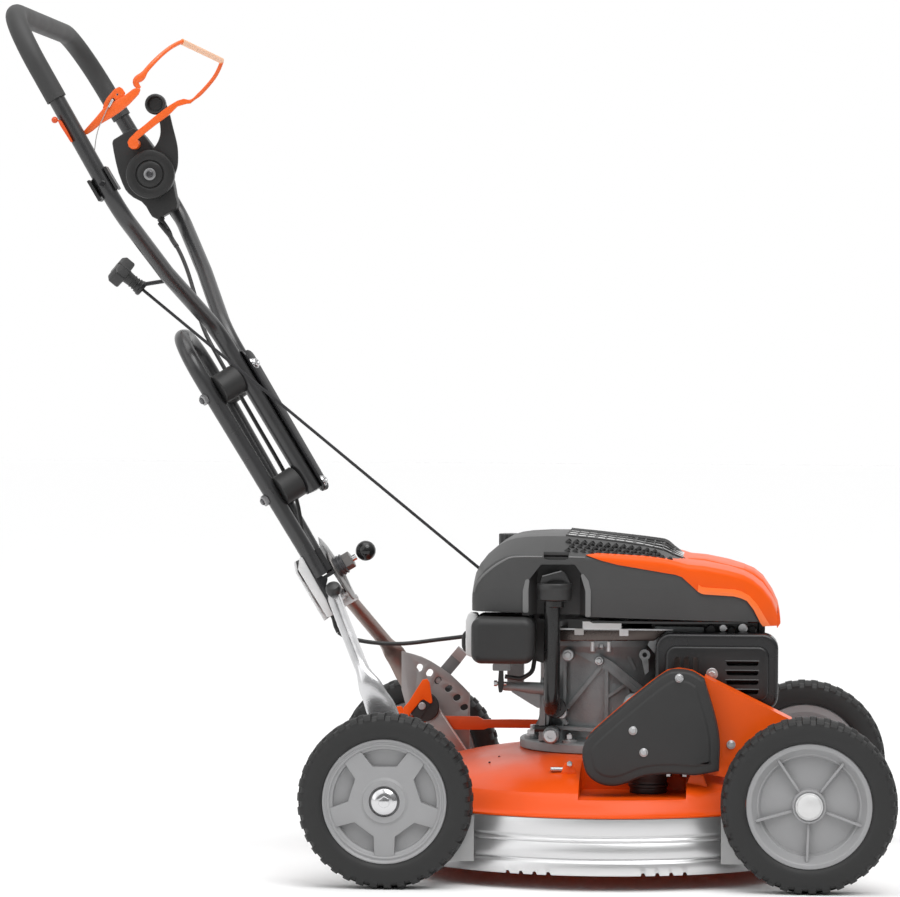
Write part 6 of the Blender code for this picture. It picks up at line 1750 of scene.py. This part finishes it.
DIAL_BLACK = surface("dial_black", 0.013, 0.44, mottle=0.05, grain=0.2,
    grain_scale=1500, uneven=0.04)
dress(make_lever(), "throttle", "throttle_lever")


def make_bail():
    """The bent bar: a flat strap up from each pivot, a narrow step, a rod, and a wide grip across in pale
    orange as a painted highlight.
    """
    near = mm("-621.5 903.7, -608.4 918.2, -597.6 931, -584.5 939.6, -571.4 946.9, -561.4 954.6,"
        "-556 956.5, -552.1 954.5, -554.4 948, -566 935.8, -578.3 925.9, -589.1 919, -599.9 912.9,"
        "-609.9 904.4, -616.6 900.1, -626 899")
    strap_near = soften(slab(outline(near, 0.002, 3), -0.2385, -0.2345, BAIL_ORANGE), 0.0014, 3, 50)
    far = mm("-556.7 964.6, -550.8 963.3, -546 960.8, -548 958.5, -553.3 958, -565 954.7, -576.6 943.1,"
        "-588.3 934.8, -600 925.7, -611.7 916.6, -617.2 911.6, -615.3 905.8, -617.5 900.9, -622.5 899.6,"
        "-628.3 902, -630.2 908.3, -627.5 913.3, -618.4 922.4, -606.7 931.5, -595 941.4, -585 948.9,"
        "-575 956.3, -565 962.1")
    strap_far = soften(slab(outline(far, 0.002, 3), 0.18, 0.185, BAIL_ORANGE), 0.0018, 4, 50)
    parts = [strap_near, strap_far]
    near_rod = mm("-553 -236.5 955.5, -557.5 -236.5 960, -558 -236.5 963.5, -556 -236.5 966,"
        "-550.7 -236 969.9, -545.6 -234 977.2, -538.4 -230 986.1, -529.5 -222 996.3, -520.7 -208 1005.6,"
        "-513.3 -194 1011.8, -509 -186 1014.4")
    path = resampled(smooth_way(near_rod), 60)
    sizes = blended(path, [(0, 0.0016, 0.002), (0.06, 0.0022, 0.0036), (0.16, 0.0026, 0.005),
        (0.28, 0.0022, 0.003), (0.7, 0.0024, 0.0026), (1.0, 0.003, 0.0026)])
    parts.append(swept(path, BAIL_ORANGE, 0.0025, 28, sections=sizes, side=(0, 1, 0)))
    far_rod = mm("-551.6 183.5 960.9, -547.5 183.5 961.9, -542.5 183.5 965.4, -534.7 182 971.9,"
        "-524.5 180 982.5, -515.9 178 993.1, -509.9 176 1003.7, -506.3 173.5 1012")
    path = resampled(smooth_way(far_rod), 50)
    sizes = blended(path, [(0, 0.002, 0.0026), (0.12, 0.0018, 0.0018), (0.25, 0.0022, 0.0026),
        (1.0, 0.0024, 0.0026)])
    parts.append(swept(path, BAIL_ORANGE, 0.0025, 28, sections=sizes, side=(0, 1, 0)))
    grip = [Vector((-0.5089, -0.188, 1.0142)), Vector((-0.5062, 0.1755, 1.0132))]
    grip = [grip[0].lerp(grip[1], step / 40) for step in range(41)]
    sizes = [(0.0038, 0.0024)] * 41
    # The grip in pale orange as a painted highlight.
    parts.append(swept(grip, BAIL_GRIP_HIGHLIGHT, 0.004, 36, sections=sizes, side=(0.3, 0, 0.95)))
    for obj in parts[2:]:
        settle(obj, 70)
    pivot = up_handle(0.642, HANDLE_OFFSET)
    parts += [
        bar((pivot.x, -0.235, pivot.z - 0.002), (pivot.x, -0.242, pivot.z - 0.002), 0.0052, BAIL_ORANGE,
            24, 0, 0.0008),
        turned(mm("0 0, 6.6 0, 7 1, 6.6 20, 0 20.5"), BAIL_ORANGE, (-0.6225, 0.183, 0.9062), (0, 1, 0),
            32),
        bar((-0.6225, 0.202, 0.9062), (pivot.x, 0.243, pivot.z), 0.0044, BAIL_ORANGE, 24),
    ]
    return parts


BAIL_ORANGE = surface("bail_orange", (0.86, 0.13, 0.014), 0.34, coat=0.2, mottle=0.03,
    uneven=0.04)


def make_bail_plate():
    """The near strap's upright plate with its hole, the cable's barrel in its slot."""
    tab = mm("-598.5 930, -596.8 937.3, -593 944.2, -584.5 954.1, -578.3 957.4, -574.5 955.2,"
        "-570.9 949.7, -572.1 946.5, -581.4 937.3, -589.9 928.5")
    plate = slab(outline(tab, 0.002, 3), -0.2362, -0.2338, BAIL_ORANGE)
    turns = [math.pi * step / 8 for step in range(16)]
    hole = [(-0.5806 + 0.0014 * math.cos(a), 0.948 + 0.0014 * math.sin(a)) for a in turns]
    cut(plate, slab(hole, -0.26, -0.22, BAIL_ORANGE))
    soften(plate, 0.0006, 2, 50)
    slot = slab(capsule((-0.588, 0.9366), (0.0053, 0.0097), 0.015, 0.005), -0.2372, -0.236, BLACK_PAINT)
    nipple = bar((-0.5853, -0.2392, 0.942), (-0.5905, -0.2392, 0.9325), 0.0016, CHROME, 16, 0, 0.0004)
    return [plate, slot, nipple]


dress(join("brake_bar", make_bail() + make_bail_plate()), "bail", "brake_bail")


def make_handle_fittings():
    """The small ball and link behind the near leg."""
    ball = Vector((-0.652, -0.262, 0.9162))
    profile = [(0.004 * math.sin(math.pi * step / 12), -0.004 * math.cos(math.pi * step / 12))
        for step in range(13)]
    profile[0], profile[-1] = (0, -0.004), (0, 0.004)
    strip = mm("-650 918.5, -644 915, -637.5 904, -630.5 890.5, -632.5 889, -638.5 898.5, -645 908.5")
    blade = soften(slab(outline(strip, 0.0012, 2), -0.2625, -0.256, LINK_ORANGE), 0.0006, 2, 40)
    return join("leg_link", [turned(profile, LINK_ORANGE, ball, (0, 1, 0), 24), blade])


dress(make_handle_fittings(), "handle")


def make_brake_cable():
    points = mm("-590 -240 933.5, -592.3 -240.5 930.2, -597.7 -241 918, -602.3 -241.2 907.3,"
        "-605.3 -241.4 895.1, -606.8 -242.5 882.1, -608 -244 874")
    return swept(resampled(smooth_way(points), 40), CABLE_WIRE, 0.0006, 8)


dress(named("brake_cable", make_brake_cable()), "handle")


def make_clip():
    """Two black strips held to the near leg by a saddle behind it and a screw."""
    middle = up_handle(0.57, HANDLE_OFFSET + leg_drift(-1, 0.57), -0.25)
    saddle = slab(rectangle(-0.012, 0.012, -0.0125, 0.0125, 0.001, 2), 0.2375, 0.2398, BLACK_PLASTIC,
        (middle.x, 0, middle.z), ALONG, AHEAD)
    front = slab(rectangle(-0.0155, 0.0155, 0.0096, 0.0132, 0.001, 2), 0.2375, 0.259, BLACK_PLASTIC,
        (middle.x, 0, middle.z), ALONG, AHEAD)
    rear = slab(rectangle(-0.0142, 0.0142, -0.0128, -0.009, 0.001, 2), 0.2375, 0.259, BLACK_PLASTIC,
        (middle.x - 0.001, 0, middle.z - 0.004), ALONG, AHEAD)
    screw = turned(mm("0 0, 4 0, 4.2 0.8, 3.4 1.4, 2.6 0.6, 0 0.6"), BLACK_PAINT,
        (middle.x, middle.y - 0.0098, middle.z - 0.0016), (0, -1, 0), 32)
    return join("leg_clip", [front, saddle, rear, screw])


dress(make_clip(), "handle", "cable_clip")


def make_grip():
    """The starter's T grip: a turned bar with eased edges and a ribbed stem."""
    sideways = Vector((-PULL.z, 0, PULL.x)).normalized()
    second = sideways.cross(PULL).normalized()
    across = sideways * 0.575 + second * 0.818
    back = -PULL
    place = ROPE_EYE - PULL * 0.031
    stem = turned(mm("0 2, 8.6 2, 9 6, 8 10, 7.4 17, 8.2 17.6, 8.2 19, 7.2 19.6, 7.2 21.2, 8.2 21.8,"
        "8.2 23.2, 7.2 23.8, 7.6 25.4, 8.8 26, 8.8 28.4, 0 28.8"), BLACK_PLASTIC, place, PULL, 32)
    half = 0.0185
    head = soften(slab(outline([(-half, -0.008), (half, -0.008), (half, 0.006), (half - 0.006, 0.01),
        (-half + 0.006, 0.01), (-half, 0.006)], 0.003, 5), -0.0098, 0.0098, GRIP_BLACK, place, across,
        back), 0.0028, 4, 50)
    ridge = soften(slab(outline(mm("-1.2 -8.4, 1.2 -8.4, 1.2 10.4, -1.2 10.4"), 0.001, 2), -0.0103,
        0.0103, GRIP_BLACK, place, across, back), 0.0008, 2, 50)
    return join("pull_handle", [head, stem, ridge])


GRIP_BLACK = surface("grip_black", 0.024, 0.38, mottle=0.05, grain=0.2,
    grain_scale=1300, uneven=0.04)
dress(make_grip(), "pull_grip", "starter_grip")


# Height adjuster, on the far side

SECTOR_SIDE = 0.1745
LEVER_SIDE = SECTOR_SIDE + 0.0085


def make_sector():
    """The rear left bracket with its drilled sector, side plate, disc, pin and spring latch."""
    pivot = pivot_place(-1)
    points = mm("-270 249.8, -265.3 248.4, -255 245.9, -243.7 242.4, -231.5 236.6, -219.7 229.2,"
        "-204.7 218.5, -191.3 206, -181 195.3, -181 121.6, -218 121.6, -256 150, -270 200")
    plate = slab(points, SECTOR_SIDE, SECTOR_SIDE + 0.003, PLATE_STEEL)
    holes = mm("-246.6 228.3, -233.5 221.7, -222.6 212.1, -208.7 201.5, -197.9 190, -188.5 177.5")
    for x, z in holes:
        cut(plate, slab(capsule((x, z), (x - pivot.x, z - pivot.z), 0.0106, 0.0078), SECTOR_SIDE - 0.01,
            SECTOR_SIDE + 0.01, PLATE_STEEL))
    soften(plate, 0.0005, 2, 40)
    parts = [plate]
    clear, near_side, far_side = 0.2781, 0.198, 0.2355
    foot = []
    for step in range(13):
        y = near_side + (far_side - near_side) * step / 12
        foot.append((-math.sqrt(clear ** 2 - y ** 2), y))
    outer = -(math.sqrt(clear ** 2 - near_side ** 2) + 0.012)
    foot += [(outer + 0.008, far_side), (outer, far_side - 0.008), (outer, near_side)]
    block = soften(plan(foot, 0.03, 0.085, CORNER_STEEL), 0.001, 2, 40)
    inner = -(math.sqrt(clear ** 2 - near_side ** 2) + 0.002)
    cheek = slab([(inner, 0.04), (inner, 0.12), (pivot.x + 0.0623, 0.15), (pivot.x + 0.0323, 0.162),
        (pivot.x - 0.004, pivot.z + 0.018), (pivot.x - 0.018, pivot.z + 0.004),
        (pivot.x - 0.014, pivot.z - 0.014)], 0.198, 0.204, PLATE_STEEL)
    cut(cheek, bar((pivot.x, 0.18, pivot.z), (pivot.x, 0.23, pivot.z), 0.0083, PLATE_STEEL, 32))
    soften(cheek, 0.0008, 2, 40)
    parts += [block, cheek]
    foot_place = (0.0363 - WHEELBASE / 2, 0.1385)
    parts += [
        bar((foot_place[0], SECTOR_SIDE + 0.001, foot_place[1]), (foot_place[0], 0.201, foot_place[1]),
            0.003, STEEL, 20),
        turned(mm("0 0, 3.4 0, 3.8 0.6, 3.8 6, 0 6"), STEEL, (-0.2222, SECTOR_SIDE + 0.0002, 0.2118),
            (0, 1, 0), 32),
    ]
    gusset = mm("-239 156, -221 181.5, -218.4 178.5, -180 120.5, -200 120.5, -225 140")
    side_plate = slab(gusset, 0.1474, 0.1492, PLATE_STEEL)
    lip = slab(mm("-221.5 181.8, -218.4 178.5, -180 120.5, -182.6 120.5, -220.5 177.8"), 0.1462, 0.1492,
        EDGE_STEEL)
    base = slab(mm("-200 120.5, -180 120.5, -180 123.5, -200 123.5"), 0.148, 0.2, PLATE_STEEL)
    for obj in (side_plate, lip):
        soften(obj, 0.0006, 2, 40)
    parts += [side_plate, lip, base]
    y = 0.1455
    disc_place = Vector((-0.2376, y, 0.1805))
    parts.append(turned(mm("0 -29.5, 9.5 -29.5, 9.5 -1, 18.2 -1, 19.2 0.2, 19.2 3, 18 4.2, 5 4.6,"
        "0 4.6"), BLACK_PLASTIC, disc_place, (0, -1, 0), 64))
    pin_place = disc_place + Vector((-0.0026, 0, 0.0014))
    parts += [
        slab(outline(mm("-254.5 170.5, -240 189.5, -229 186, -244 164"), 0.002, 2), y - 0.0066,
            y - 0.004, BLACK_PLASTIC),
        turned(mm("0 4, 4.8 4, 4.8 9.4, 3.8 10.6, 0 10.8"), PIN_STEEL, pin_place, (0, -1, 0), 32),
    ]
    latch = mm("-239.8 215.7, -233.8 217.1, -230.6 212.5, -226.9 188, -227.6 185, -230 185.4,"
        "-238.5 190.6, -241.5 189, -254.4 173.2, -257.4 167, -264.9 169, -264.2 179.8, -257.4 187.3,"
        "-249 201")
    hook = soften(slab(outline(latch, 0.0016, 3), y - 0.0085, y - 0.005, ORANGE), 0.0009, 3, 40)
    ear = soften(slab(outline(mm("-274.7 180.3, -267.2 181.5, -262 172.2, -245.7 163, -245.7 159,"
        "-260 160, -271.1 169"), 0.002, 3), y - 0.006, y - 0.001, ORANGE), 0.0012, 3, 40)
    parts += [hook, ear]
    return join("height_sector", parts)


EDGE_STEEL = surface("edge_steel", (0.62, 0.6, 0.59), 0.34, metallic=0.6, mottle=0.05,
    uneven=0.05)
PIN_STEEL = surface("pin_steel", (0.42, 0.42, 0.43), 0.4, metallic=0.6, uneven=0.05)
dress(make_sector(), "mower", "axle_bracket_rear_left")


def make_lever_plate():
    """The height lever: a flat arm with a bent end, on the cross bar."""
    pivot = pivot_place(-1)
    along = Vector((math.cos(math.radians(50.5)), 0, math.sin(math.radians(50.5))))
    across = Vector((-along.z, 0, along.x))
    boss = 0.016
    turns = [math.radians(60 + 15 * step) for step in range(17)]
    arm = [(boss * math.cos(a), boss * math.sin(a)) for a in turns]
    arm += mm("30 -8.2, 130.5 -8.2, 130.5 7.8, 30 8.2")
    place = (pivot.x, 0, pivot.z)
    lever = slab(arm, LEVER_SIDE, LEVER_SIDE + 0.004, LEVER_STEEL, place, along, across)
    cut(lever, bar((pivot.x, LEVER_SIDE - 0.02, pivot.z), (pivot.x, LEVER_SIDE + 0.02, pivot.z), 0.0083,
        PLATE_STEEL, 32))
    soften(lever, 0.0008, 2, 40)
    tip = [along * 0.13 + Vector((0, LEVER_SIDE + 0.002, 0)) + Vector(place),
        along * 0.144 + Vector((0, LEVER_SIDE - 0.004, 0)) + Vector(place)]
    end = swept(tip, PLATE_STEEL, 0.002, 4, sections=[(0.003, 0.0112), (0.0026, 0.0108)], side=(0, 1, 0))
    return join("height_handle", [lever, end])


LEVER_STEEL = surface("lever_steel", (0.17, 0.165, 0.165), 0.45, metallic=0.5,
    mottle=0.05, uneven=0.05)
dress(make_lever_plate(), "rear_axle", "height_lever")


def make_link_bar():
    """The bar that ties the cranked axles, wide and flat at the rear and narrowing to a thin strip."""
    rear = pivot_place(-1) + Vector((0, 0, 0.02))
    front = pivot_place(1) + Vector((0, 0, 0.02))
    points = [(rear.x - 0.01, rear.z - 0.006), (rear.x - 0.004, rear.z - 0.0085), *mm("-180.5 150.8,"
        "-160.9 151.2, -155.3 153.5"), (front.x + 0.006, front.z - 0.0055), (front.x + 0.008, front.z),
        (front.x + 0.006, front.z + 0.005), *mm("-127.4 164.7, -161.3 164, -168.8 168"),
        (rear.x - 0.004, rear.z + 0.008), (rear.x - 0.01, rear.z + 0.005)]
    strip = slab(points, LINK_SIDE, LINK_SIDE + 0.004, LINK_ORANGE)
    for end in (rear, front):
        cut(strip, bar((end.x, LINK_SIDE - 0.01, end.z), (end.x, LINK_SIDE + 0.01, end.z), 0.0026,
            LINK_ORANGE, 20))
    soften(strip, 0.0008, 2, 40)
    parts = [strip]
    for end in (rear, front):
        parts.append(turned(mm("0 -0.5, 4.5 -0.5, 4 1.6, 2.2 2.6, 0 2.8"), STEEL,
            (end.x, LINK_SIDE, end.z), (0, -1, 0), 24))
    return join("axle_link", parts)


dress(make_link_bar(), "height_link", "link_bar")


# Cords: the starter rope and the throttle cable

def cord_piece(name, points, radius, mat, node):
    """A stretch of cord: a tube along its points, standing for a CAD node that it hides."""
    tube = named(name, swept(points, mat, radius, 24))
    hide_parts(node)
    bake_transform(tube)
    return tube


def path_length(points):
    return sum((Vector(two) - Vector(one)).length for one, two in zip(points, points[1:]))


def evened(points, spacing):
    """The same smooth way through places as the CAD's cable takes."""
    fine = smooth_way(points, 24)
    return resampled(fine, max(8, int(path_length(fine) / spacing)))


CABLE_UPPER = mm("502 26 188, 467 27 155, 424 24 100, 380 19 40, 330 20 6, 250 20 0, 150 18 0, 105 6 0,"
    "85 -3 0, 62 -10.8 0, 40 -16.5 0, 20 -18.5 0, -19 -20.5 0")
CABLE_LOWER = mm("-334.4 0 285.3, -305.3 0 275.5, -258.7 4 272.1, -205 10 278, -160 2 284,"
    "-131.4 -10 284")
CABLE_TOP = (DIAL.x + 0.0085, 0.2195, DIAL.z - 0.0635)
CABLE_POINTS = evened([CABLE_TOP] + [up_handle(*place) for place in CABLE_UPPER] + CABLE_LOWER, 0.009)
CABLE_SPLIT = min(range(len(CABLE_POINTS)),
    key=lambda place: (CABLE_POINTS[place] - Vector(CABLE_LOWER[0])).length)
CABLE_BACK = CABLE_POINTS[::-1]
CABLE_SPLIT = len(CABLE_POINTS) - 1 - CABLE_SPLIT
cord_piece("control_cable_lower", CABLE_BACK[:CABLE_SPLIT + 1], 0.0026, CABLE_BLACK, "throttle_cable")
cord_piece("control_cable", CABLE_BACK[CABLE_SPLIT:], 0.0026, CABLE_BLACK, "throttle_cable")

ROPE_START = ROPE_EYE - PULL * 0.0019
ROPE_END = ROPE_EXIT - PULL * 0.001
ROPE_MIDDLE = ROPE_END.lerp(ROPE_START, 0.62)
PAID_OUT = 0.45
SPARE_WAY = [(ROPE_EYE - PULL * 0.012).lerp(ROPE_EYE + PULL * PAID_OUT, step / 60) for step in range(61)]
SPARE = dress(named("pull_rope_paid_out", swept(SPARE_WAY, ROPE_BLACK, 0.0017, 16)), "pull_grip")
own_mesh(SPARE)
cord_piece("pull_rope", [ROPE_END.lerp(ROPE_MIDDLE, step / 40) for step in range(41)], 0.0019,
    ROPE_BLACK, "starter_rope")
cord_piece("pull_rope_upper", [ROPE_MIDDLE.lerp(ROPE_START, step / 40) for step in range(41)], 0.0019,
    ROPE_BLACK, "starter_rope")


def make_cable_sleeve():
    """The stiff sleeve below the control box, and two thin cables down the far leg."""
    sleeve = smooth_way([(-0.5906, 0.2195, 0.8074), (-0.5815, 0.2185, 0.7938), CABLE_POINTS[4],
        CABLE_POINTS[6]])
    parts = [swept(resampled(sleeve, 24), BLACK_PLASTIC, 0.0032, 24)]
    for shift, radius in ((-0.0016, 0.0012), (0.0022, 0.001)):
        points = [(-0.5845 + shift, 0.262, 0.8187), (-0.575 + shift, 0.262, 0.8046),
            (-0.5667 + shift, 0.262, 0.7893), (-0.5595 + shift, 0.262, 0.7741),
            (-0.552 + shift, 0.258, 0.76), (-0.544 + shift, 0.252, 0.748)]
        parts.append(swept(resampled(smooth_way(points), 40), CABLE_BLACK, radius, 10))
    return join("cable_fittings", parts)


dress(make_cable_sleeve(), "handle")


# Floor, backdrop and lights

FLOOR_SIZE = 30.0


def make_world():
    """White behind the mower, and a grey dome that lights it, brighter at two sides in reflections."""
    world = bpy.data.worlds.new("studio")
    bpy.context.scene.world = world
    world.use_nodes = True
    nodes, links = world.node_tree.nodes, world.node_tree.links
    nodes.clear()
    out = nodes.new("ShaderNodeOutputWorld")
    path = nodes.new("ShaderNodeLightPath")
    seen = nodes.new("ShaderNodeMath")
    seen.operation = "MAXIMUM"
    links.new(path.outputs["Is Camera Ray"], seen.inputs[0])
    links.new(path.outputs["Is Transmission Ray"], seen.inputs[1])
    white = nodes.new("ShaderNodeBackground")
    white.inputs["Color"].default_value = (1, 1, 1, 1)
    soft = nodes.new("ShaderNodeBackground")
    place = nodes.new("ShaderNodeTexCoord")
    split = nodes.new("ShaderNodeSeparateXYZ")
    ramp = nodes.new("ShaderNodeValToRGB")
    ramp.color_ramp.elements[0].color = (0.16, 0.16, 0.16, 1)
    middle = ramp.color_ramp.elements.new(0.45)
    middle.color = (0.42, 0.42, 0.42, 1)
    links.new(place.outputs["Generated"], split.inputs["Vector"])
    links.new(split.outputs["Z"], ramp.inputs["Fac"])
    light = ramp.outputs["Color"]
    for axis, low, high, top in (("Y", 0.15, 0.75, 1.0), ("X", -0.35, -0.85, 0.9)):
        side = nodes.new("ShaderNodeMapRange")
        side.interpolation_type = "SMOOTHSTEP"
        side.inputs["From Min"].default_value = low
        side.inputs["From Max"].default_value = high
        side.inputs["To Max"].default_value = top
        links.new(split.outputs[axis], side.inputs["Value"])
        gloss = nodes.new("ShaderNodeMath")
        gloss.operation = "MULTIPLY"
        links.new(side.outputs["Result"], gloss.inputs[0])
        links.new(path.outputs["Is Glossy Ray"], gloss.inputs[1])
        most = nodes.new("ShaderNodeMath")
        most.operation = "MAXIMUM"
        links.new(light, most.inputs[0])
        links.new(gloss.outputs[0], most.inputs[1])
        light = most.outputs[0]
    links.new(light, soft.inputs["Color"])
    mix = nodes.new("ShaderNodeMixShader")
    links.new(seen.outputs[0], mix.inputs["Fac"])
    links.new(soft.outputs[0], mix.inputs[1])
    links.new(white.outputs[0], mix.inputs[2])
    links.new(mix.outputs[0], out.inputs["Surface"])


def lamp(kind, name, place, target, energy, size):
    """A light. Its size is an angle in degrees for a sun and a square's side for an area."""
    data = bpy.data.lights.new(name, kind)
    data.energy = energy
    if kind == "SUN":
        data.angle = math.radians(size)
    else:
        data.size = size
    obj = bpy.data.objects.new(name, data)
    bpy.context.scene.collection.objects.link(obj)
    obj.location = place
    obj.rotation_euler = (Vector(target) - Vector(place)).to_track_quat("-Z", "Y").to_euler()


def make_floor():
    half = FLOOR_SIZE / 2
    mesh = bpy.data.meshes.new("floor")
    mesh.from_pydata([(-half, -half, 0), (half, -half, 0), (half, half, 0), (-half, half, 0)], [],
        [(0, 1, 2, 3)])
    floor = bpy.data.objects.new("floor", mesh)
    bpy.context.scene.collection.objects.link(floor)
    mat = bpy.data.materials.new("floor")
    mat.use_nodes = True
    shader = mat.node_tree.nodes["Principled BSDF"]
    shader.inputs["Base Color"].default_value = (0.93, 0.93, 0.93, 1)
    shader.inputs["Roughness"].default_value = 1.0
    shader.inputs["Specular IOR Level"].default_value = 0.0
    mesh.materials.append(mat)


make_world()
lamp("SUN", "key", (2.0, -3.0, 5.0), (0, 0, 0), 1.2, 40)
lamp("SUN", "fill", (-3.0, -3.0, 2.5), (0, 0, 0), 0.6, 60)
lamp("AREA", "top_box", (0.0, -0.4, 3.2), (0, 0, 0.4), 30, 2.4)
make_floor()
